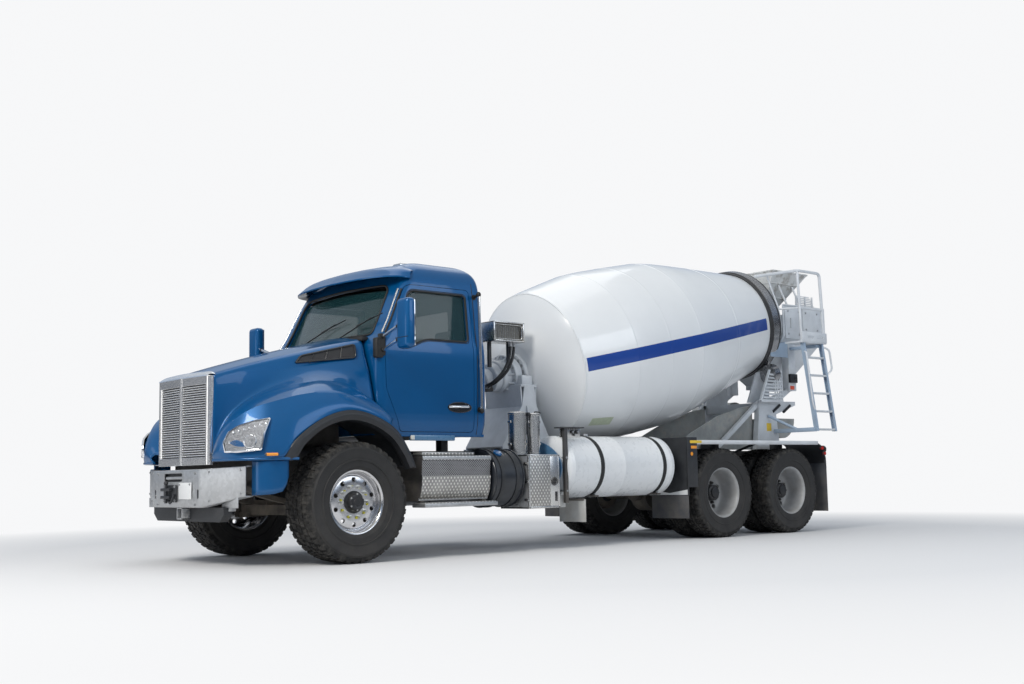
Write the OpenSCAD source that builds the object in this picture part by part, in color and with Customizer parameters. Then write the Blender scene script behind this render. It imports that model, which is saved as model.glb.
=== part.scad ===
// Concrete mixer truck: conventional cab on a three-axle chassis, tilted drum,
// rear pedestal with hoppers and chute. Millimetres, front towards -Y, +X is the driver's side.

/* [Chassis] */
// Front axle to the middle of the tandem
wheelbase = 5850; // [5750:10:5950]
// Between the two drive axles
tandem_spacing = 1320; // [1260:10:1360]
// Front axle to the bumper's face
front_overhang = 1200; // [1190:5:1230]
// Reach of the towing hook in front of the bumper
hook_reach = 60; // [50:5:70]
// Middle of the tandem to the back of the discharge hopper
rear_overhang = 2400; // [2380:5:2440]
// Top of the frame rails above the road
frame_top = 1040; // [1030:1:1045]
// Depth of a frame rail
rail_depth = 270; // [240:5:280]
// Over the outsides of the two rails
frame_width = 864; // [850:2:870]
// Flange width of a rail
rail_flange = 90; // [70:5:100]
// Thickness of a rail's web and flanges
rail_wall = 10; // [8:1:14]

/* [Wheels] */
// Outside radius of a front tyre
front_tyre_r = 556; // [545:1:560]
// Width of a front tyre
front_tyre_w = 420; // [380:5:425]
// Middle of a front tyre from the centre line
front_tyre_x = 1020; // [1010:1:1025]
// Outside radius of a drive tyre
drive_tyre_r = 527; // [515:1:530]
// Width of a drive tyre
drive_tyre_w = 276; // [260:2:280]
// Between the middles of two twin tyres
twin_spacing = 344; // [336:2:350]
// Middle of a twin pair from the centre line
twin_x = 915; // [905:1:920]
// Radius of a rim where the tyre seats
rim_r = 286; // [280:1:290]
// Radius of a wheel spindle
spindle_r = 45; // [40:1:50]
// Running clearance of pins in their bores
running_fit = 0.05; // [0.03:0.01:0.08]
// Gap between the faces of solids that meet
face_gap = 0.3; // [0.2:0.05:0.4]

/* [Cab] */
// Underside of the cab
cab_floor = 1180; // [1170:1:1200]
// Height of the roof's middle
cab_roof = 2965; // [2950:5:3000]
// Half width of the cab at its waist
cab_half = 1030; // [1010:2:1035]
// Front wall of the cab behind the front axle
cab_front = 365; // [360:1:375]
// Rear wall of the cab behind the front axle
cab_rear = 1715; // [1700:5:1730]
// Thickness of cab walls and doors
cab_wall = 55; // [45:1:60]
// Gap round a door
door_gap = 6; // [5:0.5:8]
// Thickness of the window glass
glass_t = 6; // [5:0.5:8]

/* [Hood] */
// Half width of the hood at the grille
nose_half = 505; // [495:1:515]
// Thickness of the hood's panels
hood_wall = 22; // [18:1:26]
// Radius of the wheel arch
arch_r = 700; // [690:1:710]
// Ribs in each grille panel
grille_ribs = 30; // [20:1:34]

/* [Drum] */
// Tilt of the drum
drum_tilt = 11.5; // [10.5:0.1:12]
// Largest radius of the drum
drum_r = 1045; // [1030:1:1050]
// Thickness of the drum's shell
drum_wall = 12; // [10:1:16]
// Radius of the drum's track ring
ring_r = 742; // [736:1:746]
// Radius of a support roller
roller_r = 130; // [120:1:135]

/* [Hidden] */

front_axle_y = -(front_overhang + hook_reach + wheelbase + rear_overhang) / 2 + front_overhang + hook_reach;
tandem_y = front_axle_y + wheelbase;
truck_rear = tandem_y + rear_overhang;
rail_bottom = frame_top - rail_depth;
rail_x = frame_width / 2;
rail_front = Y(-front_overhang + 200);
rail_rear = tandem_y + 1980;
front_axle_z = front_tyre_r;
drive_axle_z = drive_tyre_r;
round_fn = 64;

// A place behind the front axle, as a Y value
function Y(behind) = front_axle_y + behind;
// A value between a and b
function mix(a, b, t) = a + (b - a) * t;
// Points of an arc in the plane
function arc(cx, cy, r, from, to, steps) =
    [for (i = [0:steps]) let (a = mix(from, to, i / steps)) [cx + r * cos(a), cy + r * sin(a)]];

// Closed skin through rings that have the same number of points
module loft(rings, flip = false) {
    n = len(rings[0]);
    last = (len(rings) - 1) * n;
    bottom = [for (i = [0:n - 1]) i];
    top = [for (i = [n - 1:-1:0]) last + i];
    sides = [for (k = [0:len(rings) - 2], i = [0:n - 1])
        let (a = k * n + i, b = k * n + (i + 1) % n, c = a + n, d = b + n)
        each [[a, c, d], [a, d, b]]];
    faces = concat([bottom], [top], sides);
    turned = [for (f = faces) [for (i = [len(f) - 1:-1:0]) f[i]]];
    polyhedron(points = [for (r = rings) each r], faces = flip ? turned : faces, convexity = 6);
}

// A prism of a side view outline, whose points are [y, z], between two x values
module side_prism(outline, x0, x1) {
    translate([x0, 0, 0]) rotate([90, 0, 90]) linear_extrude(x1 - x0) polygon(outline);
}

// A prism of a front view outline, whose points are [x, z], between two y values
module front_prism(outline, y0, y1) {
    translate([0, y1, 0]) rotate([90, 0, 0]) linear_extrude(y1 - y0) polygon(outline);
}

// A box between two corners
module block(low, high) {
    translate(low) cube(high - low);
}

// A bar between two points, round unless told otherwise
module bar(p, q, r, fn = 16) {
    d = q - p;
    len_d = norm(d);
    translate(p) rotate([0, acos(d[2] / len_d), atan2(d[1], d[0])])
        cylinder(h = len_d, r = r, $fn = fn);
}

// A round rail through points, with a ball at each corner
module rail_path(path, r) {
    for (i = [0:len(path) - 2]) bar(path[i], path[i + 1], r, 20);
    for (i = [1:len(path) - 2]) translate(path[i]) sphere(r = r * 1.04, $fn = 24);
}

// What stands on one side, and its mirror image on the other
module both_sides() {
    children();
    mirror([1, 0, 0]) children();
}

// A body of revolution about an axis along X through a point; outline points are [r, x]
module wheel_turn(outline, y, z) {
    translate([0, y, z]) rotate([0, 90, 0]) rotate_extrude($fn = round_fn) polygon(outline);
}

/* Frame */

module rail() {
    difference() {
        block([rail_x - rail_flange, rail_front, rail_bottom], [rail_x, rail_rear, frame_top]);
        block([rail_x - rail_flange - 1, rail_front - 1, rail_bottom + rail_wall],
            [rail_x - rail_wall, rail_rear + 1, frame_top - rail_wall]);
    }
}

cross_members = [-950, 1250, 2300, 3900, wheelbase - tandem_spacing / 2 - 500, wheelbase,
    wheelbase + tandem_spacing / 2 + 500];

module frame_rails() color("#3b3d40") {
    both_sides() rail();
    for (behind = cross_members)
        block([-rail_x + rail_wall, Y(behind) - 40, rail_bottom + 90],
            [rail_x - rail_wall, Y(behind) + 40, frame_top - 20]);
    // Brackets that hold the hood's hinge
    both_sides() difference() {
        block([rail_x, Y(hood_hinge_behind) - 35, hood_hinge_z - 40],
            [rail_x + hinge_plate, Y(hood_hinge_behind) + 180, hood_hinge_z + 40]);
        translate([rail_x - 1, Y(hood_hinge_behind), hood_hinge_z]) rotate([0, 90, 0])
            cylinder(h = hinge_plate + 2, r = hood_pin_r + running_fit, $fn = 32);
    }
    // Mounts under the cab
    both_sides() for (behind = [620, 1560])
        block([rail_x - 90, Y(behind), frame_top], [rail_x, Y(behind) + 90, cab_floor]);
    // Rear cross plate with the towing eye
    difference() {
        block([-rail_x, rail_rear, rail_bottom - 60], [rail_x, rail_rear + 14, frame_top]);
        block([-90, rail_rear - 1, rail_bottom + 130], [90, rail_rear + 15, frame_top - 40]);
    }
    difference() {
        union() {
            translate([0, tow_eye_y, tow_eye_z]) cylinder(h = 40, r = 60, $fn = 32);
            block([-45, rail_rear + 13, tow_eye_z], [45, tow_eye_y - 30, tow_eye_z + 40]);
        }
        translate([0, tow_eye_y, tow_eye_z - 1]) cylinder(h = 42, r = tow_eye_r, $fn = 32);
    }
    // Cross member and bearing that the chute swivels in
    difference() {
        union() {
            block([-rail_x + rail_wall, chute_pivot[1] - 90, frame_top - 80],
                [rail_x - rail_wall, chute_pivot[1] + 90, frame_top]);
            translate([0, chute_pivot[1], frame_top - 1]) cylinder(h = 61, r = 80, $fn = 40);
        }
        translate([0, chute_pivot[1], frame_top - 60]) cylinder(h = 122, r = swivel_pin_r + running_fit, $fn = 40);
    }
}
hinge_plate = 18;
hood_pin_r = 15;
tow_eye_y = rail_rear + 90;
tow_eye_z = rail_bottom + 30;
tow_eye_r = 30;

/* Front bumper */

bumper_front = Y(-front_overhang);
bumper_top = 885;
bumper_bottom = 535;
bumper_plate = 10;
bumper_fold_x = 470;
bumper_end_x = 965;
bumper_end_back = 190;
bumper_end_bottom = 640;

module bumper_wing() {
    outline = [[bumper_fold_x, bumper_front], [bumper_end_x, bumper_front + bumper_end_back],
        [bumper_end_x - 4, bumper_front + bumper_end_back + bumper_plate],
        [bumper_fold_x, bumper_front + bumper_plate]];
    intersection() {
        translate([0, 0, bumper_bottom]) linear_extrude(bumper_top + 15 - bumper_bottom) polygon(outline);
        front_prism([[bumper_fold_x - 1, bumper_bottom], [bumper_end_x + 1, bumper_end_bottom],
            [bumper_end_x + 1, bumper_top + 15], [bumper_fold_x - 1, bumper_top]],
            bumper_front - 1, bumper_front + bumper_end_back + 20);
    }
}

module front_bumper() color("#b9bcbd") {
    difference() {
        block([-bumper_fold_x, bumper_front, bumper_bottom],
            [bumper_fold_x, bumper_front + bumper_plate, bumper_top]);
        block([-250, bumper_front - 1, bumper_top - 110], [160, bumper_front + 20, bumper_top - 25]);
        for (x = [-430, 430], z = [bumper_bottom + 90, bumper_bottom + 250])
            block([x - 15, bumper_front - 1, z], [x + 15, bumper_front + 20, z + 50]);
    }
    both_sides() bumper_wing();
    // Arms to the rails
    both_sides() block([rail_x - rail_flange, bumper_front + bumper_plate, rail_bottom],
        [rail_x - 20, rail_front, rail_bottom + 65]);
    // Lower cross member and its receiver
    difference() {
        union() {
            front_prism([[-520, bumper_bottom - 135], [520, bumper_bottom - 135], [700, bumper_bottom - 60],
                [700, bumper_bottom - 5], [-700, bumper_bottom - 5], [-700, bumper_bottom - 60]],
                bumper_front + 120, bumper_front + 200);
            block([-40, bumper_front + 90, bumper_bottom - 125], [40, bumper_front + 240, bumper_bottom - 15]);
        }
        block([-32, bumper_front + 80, bumper_bottom - 117], [32, bumper_front + 250, bumper_bottom - 23]);
    }
    both_sides() block([rail_x - 60, bumper_front + 130, bumper_bottom - 6],
        [rail_x - 40, bumper_front + 190, rail_bottom + 1]);
    // Towing hook with its pin
    difference() {
        block([-120, bumper_front - hook_reach, bumper_bottom + 40], [20, bumper_front, bumper_bottom + 200]);
        block([-121, bumper_front - hook_reach - 1, bumper_bottom + 75],
            [21, bumper_front - 12, bumper_bottom + 165]);
    }
    translate([-50, bumper_front - 38, bumper_bottom + 30])
        cylinder(h = 180, r = 12, $fn = 24);
}

module bumper_ends() color("#0b3f8a") {
    both_sides() difference() {
        translate([0, 0, bumper_end_bottom]) linear_extrude(300) polygon([[1000, Y(-960)],
            [1060, Y(-950)], [1130, Y(-890)], [1160, Y(-800)], [1165, Y(-690)], [1135, Y(-690)],
            [1128, Y(-795)], [1100, Y(-870)], [1050, Y(-925)], [1000, Y(-935)]]);
        side_prism([[Y(-700), bumper_end_bottom - 1], [Y(-680), bumper_end_bottom - 1],
            [Y(-680), bumper_end_bottom + 60]], 900, 1200);
    }
    // Brackets back to the frame
    both_sides() block([rail_x, Y(-940), rail_bottom + 40], [1005, Y(-925), rail_bottom + 110]);
}

/* Engine, axles */

module engine() color("#4a4f52") {
    block([-320, Y(-700), 720], [320, Y(330), 1100]);
    block([-380, Y(-700), 1099], [380, Y(330), 1560]);
    block([-430, Y(-960), frame_top + 5], [430, Y(-880), 1640]);
    block([-80, Y(-881), 1100], [80, Y(-699), 1200]);
    block([-230, Y(329), 640], [230, Y(1150), 1010]);
    // Feet on the rails
    both_sides() for (behind = [-500, 200])
        block([319, Y(behind), frame_top], [rail_x, Y(behind) + 80, frame_top + 60]);
    both_sides() block([rail_x - 80, Y(-950), frame_top], [rail_x - 20, Y(-890), frame_top + 6]);
}

king_x = 850;
king_r = 25;
beam_half = 100;
spring_r = 1745;
spring_t = 45;
spring_half = 765;
spring_turn = asin(spring_half / spring_r);
spring_low = front_axle_z - 30;
spring_end_z = spring_low + spring_r * (1 - cos(spring_turn));

module front_axle() color("#33363a") {
    difference() {
        union() {
            block([-king_x + 40, Y(-45), front_axle_z - beam_half], [king_x - 40, Y(45), front_axle_z - 30]);
            block([-king_x + 160, Y(-45), front_axle_z - 130], [king_x - 160, Y(45), front_axle_z - beam_half + 1]);
            both_sides() translate([king_x, Y(0), front_axle_z - beam_half])
                cylinder(h = 2 * beam_half, r = 55, $fn = 32);
        }
        both_sides() translate([king_x, Y(0), front_axle_z - beam_half - 1])
            cylinder(h = 2 * beam_half + 2, r = king_r + running_fit, $fn = 32);
    }
    // Leaf springs, each an arched pack hung from the rails
    both_sides() {
        side_prism(concat(arc(Y(0), spring_low + spring_r, spring_r - spring_t, -90 - spring_turn, -90 + spring_turn, 12),
            arc(Y(0), spring_low + spring_r, spring_r, -90 + spring_turn, -90 - spring_turn, 12)),
            rail_x - 90, rail_x - 5);
        for (behind = [5 - spring_half, spring_half - 65])
            block([rail_x - 80, Y(behind), spring_end_z + 4], [rail_x - 15, Y(behind) + 60, rail_bottom]);
        block([rail_x - 100, Y(-60), front_axle_z - 31], [rail_x + 5, Y(60), front_axle_z + 10]);
    }
}

axle_tube_r = 75;
hub_face_x = twin_x - 100;

module drive_axle(y) {
    difference() {
        union() {
            both_sides() bar([0, y, drive_axle_z], [twin_x - 195, y, drive_axle_z], axle_tube_r, 32);
            both_sides() bar([0, y, drive_axle_z], [twin_x + 90, y, drive_axle_z], spindle_r, 48);
            translate([0, y, drive_axle_z]) rotate([0, 90, 0])
                cylinder(h = 260, r = 215, center = true, $fn = 40);
            translate([0, y, drive_axle_z + 20]) rotate([90, 0, 0])
                cylinder(h = 300, r = 110, $fn = 32);
        }
    }
}

module drive_axles() color("#2f3236") {
    for (side = [-1, 1]) drive_axle(tandem_y + side * tandem_spacing / 2);
    // Walking beams and their saddles under the rails
    both_sides() {
        side_prism([[tandem_y - tandem_spacing / 2 - 90, drive_axle_z + 70],
            [tandem_y + tandem_spacing / 2 + 90, drive_axle_z + 70],
            [tandem_y + 130, drive_axle_z + 190], [tandem_y - 130, drive_axle_z + 190]],
            rail_x - 60, rail_x + 40);
        block([rail_x - 60, tandem_y - 120, drive_axle_z + 189], [rail_x, tandem_y + 120, rail_bottom]);
    }
    // Propeller shaft from the gearbox
    bar([0, Y(1150) + 4.5, 800], [0, tandem_y - tandem_spacing / 2 - 279, drive_axle_z + 20], 55, 24);
    bar([0, tandem_y - tandem_spacing / 2 + 200, drive_axle_z + 20],
        [0, tandem_y + tandem_spacing / 2 - 279, drive_axle_z + 20], 50, 24);
}

/* Steering knuckles */

module knuckle() {
    z = front_axle_z;
    translate([king_x, Y(0), z - beam_half - 60]) cylinder(h = 2 * beam_half + 120, r = king_r, $fn = 32);
    for (low = [z - beam_half - 60, z + beam_half + 2])
        hull() {
            translate([king_x, Y(0), low]) cylinder(h = 58, r = 50, $fn = 32);
            translate([king_x + 85, Y(0) - 50, low]) cube([20, 100, 58]);
        }
    block([king_x + 80, Y(0) - 75, z - beam_half - 60], [king_x + 110, Y(0) + 75, z + beam_half + 60]);
    bar([king_x + 109, Y(0), z], [front_tyre_x + 95, Y(0), z], spindle_r, 48);
    // Steering arm
    block([king_x - 50, Y(30), z - beam_half - 55], [king_x - 10, Y(220), z - beam_half - 5]);
}

module knuckle_left() color("#3a3d40") knuckle();
module knuckle_right() color("#3a3d40") mirror([1, 0, 0]) knuckle();

/* Wheels. Outline points are [radius, distance from the wheel's middle towards its outside] */

function tyre_outline(r, w) = let (bead = w * 0.40 - 18)
    [[rim_r + face_gap, -bead], [rim_r + 14, -bead - 6], [rim_r + 40, -w * 0.46], [mix(rim_r, r, 0.5), -w * 0.5],
    [r - 60, -w * 0.47], [r - 12, -w * 0.42], [r, -w * 0.36], [r, w * 0.36], [r - 12, w * 0.42],
    [r - 60, w * 0.47], [mix(rim_r, r, 0.5), w * 0.5], [rim_r + 40, w * 0.46], [rim_r + 14, bead + 6],
    [rim_r + face_gap, bead]];

// Rim barrel with its flanges, disc and hub; disc is where the disc's face lies
function rim_outline(w, disc, hub_out) = let (f = w * 0.40, lip = rim_r + 13, bore = spindle_r + running_fit)
    [[bore, disc - 120], [bore + 60, disc - 120], [bore + 60, disc - 30], [rim_r - 20, disc - 34],
    [rim_r - 22, -f], [lip, -f], [lip, -f + 10], [rim_r, -f + 16], [rim_r, f - 16], [lip, f - 10],
    [lip, f], [rim_r - 22, f], [rim_r - 24, disc + 6], [rim_r - 44, disc - 6], [bore + 58, disc - 4],
    [bore + 55, hub_out - 16], [bore + 45, hub_out], [0.01, hub_out], [0.01, hub_out - 20], [bore, hub_out - 20]];

lug_circle = 143;
lug_count = 10;

// A ring of small holes or lugs through the disc
module disc_ring(r, radius, x, h, fn) {
    for (i = [0:lug_count - 1]) rotate([i * 360 / lug_count, 0, 0]) translate([x, 0, r])
        rotate([0, 90, 0]) cylinder(h = h, r = radius, $fn = fn);
}

module front_rim() {
    translate([front_tyre_x, Y(0), front_axle_z]) {
        difference() {
            rotate([0, 90, 0]) rotate_extrude($fn = round_fn)
                polygon(rim_outline(front_tyre_w, 112, 175));
            disc_ring(205, 27, 40, 120, 24);
        }
        disc_ring(lug_circle, 15, 105, 45, 6);
    }
}

module twin_rims(y) {
    for (side = [-1, 1]) translate([twin_x + side * twin_spacing / 2, y, drive_axle_z])
        scale([side, 1, 1]) difference() {
            rotate([0, 90, 0]) rotate_extrude($fn = round_fn)
                polygon(twin_rim_outline());
            for (i = [0:lug_count / 2 - 1]) rotate([i * 720 / lug_count, 0, 0])
                translate([-twin_spacing, 0, 208]) rotate([0, 90, 0]) cylinder(h = 300, r = 32, $fn = 24);
        }
    translate([twin_x, y, drive_axle_z]) {
        rotate([0, 90, 0]) rotate_extrude($fn = round_fn)
            polygon([[spindle_r + running_fit, -180], [110, -180], [110, 20], [100, 60], [95, 150],
                [80, 165], [0.01, 165], [0.01, 140], [spindle_r + running_fit, 140]]);
        disc_ring(lug_circle, 16, 15, 44, 6);
        // Brake drum behind the inner disc
        rotate([0, 90, 0]) rotate_extrude($fn = round_fn)
            polygon([[109, -180], [200, -180], [200, -20], [109, -20]]);
    }
}

// One twin rim: its disc lies towards the other twin, and meets it between the tyres
function twin_rim_outline() = let (f = drive_tyre_w * 0.40, lip = rim_r + 13, d = -twin_spacing / 2)
    [[109, d], [rim_r - 30, d], [rim_r - 14, d + 30], [rim_r - 14, -f], [lip, -f], [lip, -f + 10],
    [rim_r, -f + 14], [rim_r, f - 14], [lip, f - 10], [lip, f], [rim_r - 16, f],
    [rim_r - 30, d + 44], [rim_r - 44, d + 16], [109, d + 16]];

module front_tyre() {
    translate([front_tyre_x, 0, 0]) wheel_turn(tyre_outline(front_tyre_r, front_tyre_w), Y(0), front_axle_z);
}

module twin_tyres(y) {
    for (side = [-1, 1]) translate([twin_x + side * twin_spacing / 2, 0, 0])
        wheel_turn(tyre_outline(drive_tyre_r, drive_tyre_w), y, drive_axle_z);
}

drive_1_y = tandem_y - tandem_spacing / 2;
drive_2_y = tandem_y + tandem_spacing / 2;

module tyre_front_left() color("#1b1b1c") front_tyre();
module tyre_front_right() color("#1b1b1c") mirror([1, 0, 0]) front_tyre();
module rim_front_left() color("#c9ccce") front_rim();
module rim_front_right() color("#c9ccce") mirror([1, 0, 0]) front_rim();
module tyres_drive_1_left() color("#1b1b1c") twin_tyres(drive_1_y);
module tyres_drive_1_right() color("#1b1b1c") mirror([1, 0, 0]) twin_tyres(drive_1_y);
module tyres_drive_2_left() color("#1b1b1c") twin_tyres(drive_2_y);
module tyres_drive_2_right() color("#1b1b1c") mirror([1, 0, 0]) twin_tyres(drive_2_y);
module rims_drive_1_left() color("#b8bbbd") twin_rims(drive_1_y);
module rims_drive_1_right() color("#b8bbbd") mirror([1, 0, 0]) twin_rims(drive_1_y);
module rims_drive_2_left() color("#b8bbbd") twin_rims(drive_2_y);
module rims_drive_2_right() color("#b8bbbd") mirror([1, 0, 0]) twin_rims(drive_2_y);

/* Cab */

belt_z = 1950;
cowl_z = 2130;
glass_head_z = cab_roof - 295;
roof_edge_z = cab_roof - 175;
roof_lamp_front = cab_front + 640;
cab_bow = 15;

// Columns: height, half width, front at the sides, how far the middle bows forward, rear
cab_levels = [
    [cab_floor, cab_half - 45, cab_front, cab_bow, cab_rear - 20],
    [cab_floor + 120, cab_half - 15, cab_front, cab_bow, cab_rear],
    [belt_z, cab_half, cab_front, cab_bow, cab_rear],
    [cowl_z - 40, cab_half - 15, cab_front, cab_bow, cab_rear],
    [cowl_z, cab_half - 25, cab_front + 70, 60, cab_rear],
    [glass_head_z, cab_half - 80, cab_front + 340, 90, cab_rear - 10],
    [roof_edge_z, cab_half - 110, cab_front + 420, 90, cab_rear - 30],
    [mix(roof_edge_z, cab_roof, 0.5), cab_half - 170, cab_front + 500, 90, cab_rear - 80],
    [mix(roof_edge_z, cab_roof, 0.85), cab_half - 330, cab_front + 640, 80, cab_rear - 190],
    [cab_roof, cab_half - 620, cab_front + 820, 40, cab_rear - 400]];

// A level section of the cab, drawn in by an inset
function cab_ring(level, inset, drop) =
    let (w = level[1] - inset, front = Y(level[2]) + inset, rear = Y(level[4]) - inset, bow = level[3],
        rf = 90, rr = 70,
        half = concat(
            [for (i = [0:4]) let (x = (w - rf) * i / 4) [x, front - bow * (1 - pow(i / 4, 2))]],
            [for (p = arc(w - rf, front + rf, rf, -60, 0, 2)) p],
            arc(w - rr, rear - rr, rr, 0, 90, 3)),
        n = len(half))
    concat([for (p = half) [p[0], p[1], level[0] - drop]],
        [for (i = [n - 1:-1:1]) [-half[i][0], half[i][1], level[0] - drop]]);

module cab_outer(out = 0) {
    loft([for (level = cab_levels) cab_ring(level, -out, 0)]);
}

module cab_inner() {
    last = len(cab_levels) - 1;
    loft([for (i = [0:last]) cab_ring(cab_levels[i], cab_wall, i == 0 ? -cab_wall : i < 2 ? 0 : i < 6 ? 0 : cab_wall)]);
}

// Door and window outlines in the side view, grown by g
door_rear = 1530;
door_top = glass_head_z - 5;
window_top = glass_head_z - 70;
door_low = cab_floor + cab_wall + door_gap + 1;
door_front = 440;
function door_outline(g) = [[Y(door_front + 25 - g), cowl_z], [Y(door_front - g), belt_z],
    [Y(door_front + 15 - g), 1620], [Y(600 - g), 1300], [Y(625 - g), door_low - g],
    [Y(door_rear + g), door_low - g], [Y(door_rear + g), door_top + g], [Y(790 - g), door_top + g],
    [Y(740 - g), door_top - 25 + g]];
function window_outline(g) = [[Y(625 - g), 2040 - g], [Y(720 - g), 2040 - g], [Y(900 - g), 2115 - g],
    [Y(1000 - g), 2130 - g], [Y(1470 + g), 2130 - g], [Y(1470 + g), window_top + g], [Y(800 - g), window_top + g],
    [Y(755 - g), window_top - 30 + g]];

// The windscreen is part of a large cylinder that leans back; its outline runs up that lean
screen_lean = 25.5;
screen_r = 5200;
screen_foot = cab_front + 10;
screen_top = (glass_head_z - cowl_z) / cos(screen_lean) - 23;
screen_half = [[800, 45], [790, screen_top - 95], [765, screen_top - 30], [700, screen_top]];
screen_outline = concat(screen_half, [for (i = [3:-1:0]) [-screen_half[i][0], screen_half[i][1]]]);
module screen_frame() {
    translate([0, Y(screen_foot), cowl_z]) rotate([-screen_lean, 0, 0]) children();
}
module screen_cut() {
    screen_frame() front_prism(screen_outline, -150, 230);
}
module screen_glass() {
    screen_frame() intersection() {
        front_prism(screen_outline, -150, 230);
        translate([0, screen_r + glass_depth, 0]) difference() {
            cylinder(h = 700, r = screen_r, $fn = 400);
            translate([0, 0, -1]) cylinder(h = 702, r = screen_r - glass_t, $fn = 400);
        }
    }
}
module rear_window(y0, y1) {
    top = glass_head_z - 150;
    front_prism([[-420, 2080], [420, 2080], [420, top], [-420, top]], Y(y0), Y(y1));
}

module cab_shell() color("#0b4ea2") {
    difference() {
        cab_outer();
        cab_inner();
        both_sides() side_prism(door_outline(door_gap), 600, cab_half + 50);
        screen_cut();
        rear_window(cab_rear - 150, cab_rear + 30);
    }
    // Lower halves of the door hinges
    both_sides() for (z = door_hinge_zs) difference() {
        union() {
            door_barrel(z, 20, door_barrel_r);
            block([cab_side(z) - 20, Y(door_hinge_behind - 15), z],
                [door_hinge_x, Y(door_hinge_behind), z + 20]);
        }
        door_barrel(z - 1, 22, door_pin_r + running_fit);
    }
}

module cab_glass() color("#9fb7bf", 0.5) {
    difference() {
        screen_glass();
        both_sides() side_prism(door_outline(door_gap), 600, cab_half + 50);
    }
    rear_window(cab_rear - 40, cab_rear - 40 + glass_t);
}

// A slab of glass in the side walls, which lean in from the waist to the roof's edge
glass_depth = 14;
function cab_side(z) = lookup(z, [for (level = cab_levels) [level[0], level[1]]]);
module side_slab() {
    heights = [cowl_z - 100, cowl_z - 40, cowl_z, glass_head_z];
    front_prism(concat([for (z = heights) [cab_side(z) - glass_depth, z]],
        [for (i = [3:-1:0]) [cab_side(heights[i]) - glass_depth - glass_t, heights[i]]]),
        Y(door_front), Y(door_rear));
}

door_hinge_x = cab_half + 10;
door_hinge_behind = 430;
door_hinge_zs = [1620, 1900];
door_barrel_r = 9;
door_pin_r = 4;
module door_barrel(z, h, r) {
    translate([door_hinge_x, Y(door_hinge_behind), z]) cylinder(h = h, r = r, $fn = 24);
}

module door() {
    difference() {
        intersection() {
            difference() {
                cab_outer();
                cab_inner();
            }
            side_prism(door_outline(0), 600, cab_half + 50);
        }
        side_prism(window_outline(0), 600, cab_half + 50);
    }
    // Upper halves of the hinges with their pins
    for (z = door_hinge_zs) {
        door_barrel(z + 20.3, 20, door_barrel_r);
        door_barrel(z + 1, 21, door_pin_r);
        block([cab_side(z) + 2, Y(door_hinge_behind), z + 20.3],
            [door_hinge_x, Y(door_hinge_behind + 50), z + 40.3]);
        block([cab_side(z) - 10, Y(door_hinge_behind + 32), z + 20.3],
            [cab_side(z) + 3, Y(door_hinge_behind + 50), z + 40.3]);
    }
}

module door_glass() intersection() {
    side_slab();
    side_prism(window_outline(0), 600, cab_half + 50);
}

module door_left() color("#0b4ea2") door();
module door_left_glass() color("#9fb7bf", 0.5) door_glass();
module door_right() color("#0b4ea2") mirror([1, 0, 0]) door();
module door_right_glass() color("#9fb7bf", 0.5) mirror([1, 0, 0]) door_glass();

seat_base_z = cab_floor + cab_wall;
module seats() color("#3a3a3c") for (x = [-520, 520]) {
    block([x - 230, Y(1020), seat_base_z], [x + 230, Y(1480), seat_base_z + 320]);
    side_prism([[Y(940), seat_base_z + 320], [Y(1470), seat_base_z + 320], [Y(1600), seat_base_z + 1040],
        [Y(1500), seat_base_z + 1060], [Y(1380), seat_base_z + 470], [Y(960), seat_base_z + 460]],
        x - 250, x + 250);
}

module dashboard() color("#2b2c2e") {
    difference() {
        side_prism([[Y(cab_front + cab_wall), 1700], [Y(640), 1740], [Y(720), 1900], [Y(700), 2060],
            [Y(560), 2110], [Y(cab_front + cab_wall), 2060]], -930, 930);
        // Room for the cab's rounded front corners
        both_sides() block([868, Y(cab_front + cab_wall) - 1, 1690], [931, Y(cab_front + cab_wall) + 30, 2120]);
    }
    block([-220, Y(cab_front + cab_wall), seat_base_z], [220, Y(700), 1720]);
    steering_wheel();
}

module steering_wheel() translate([520, Y(815), 2010]) rotate([-32, 0, 0]) {
    rotate_extrude($fn = 48) translate([215, 0]) circle(r = 15, $fn = 16);
    for (a = [90, 210, 330]) rotate([0, 0, a]) block([40, -18, -8], [205, 18, 6]);
    cylinder(h = 25, r = 60, center = true, $fn = 32);
    translate([0, 0, -280]) cylinder(h = 275, r = 28, $fn = 24);
}

visor_z = cab_roof - 225;
module sun_visor() color("#10131a") difference() {
    translate([0, 0, visor_z]) linear_extrude(30)
        polygon(concat(arc(0, Y(2000), 1610, -126, -54, 18), arc(0, Y(2270), 1700, -56, -124, 18)));
    cab_outer();
}

module roof_lamps() color("#c98b2b") difference() {
    for (x = [-560, -300, 0, 300, 560])
        block([x - 50, Y(roof_lamp_front), cab_roof - 85],
            [x + 50, Y(roof_lamp_front + 100), cab_roof + (x == 0 ? 25 : 15)]);
    cab_outer();
}

mirror_x = 1400;
module mirror_unit() {
    block([mirror_x - 100, Y(360), 1970], [mirror_x + 100, Y(470), 2450]);
    for (z = [2060, 2200])
        bar([cab_half - 60, Y(395), z - 60], [mirror_x - 90, Y(405), z + 40], 16, 16);
}
module mirrors() color("#0b4ea2") both_sides() difference() {
    mirror_unit();
    cab_outer();
}

grab_low = 1430;
grab_high = glass_head_z - 40;
module grab_bars() color("#d5d8da") both_sides() {
    bar([cab_half + 45, Y(1600), grab_low], [cab_half + 10, Y(1600), grab_high], 17, 20);
    for (z = [grab_low + 15, grab_high - 30])
        bar([max(cab_side(z - 14), cab_side(z + 14)) + face_gap, Y(1600), z], [mix(cab_half + 45, cab_half + 10, (z - grab_low) / (grab_high - grab_low)),
            Y(1600), z], 14, 16);
}

/* Hood: loft along the truck. Columns: behind the axle, half width low, half width high, base, side top, crown */

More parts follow.
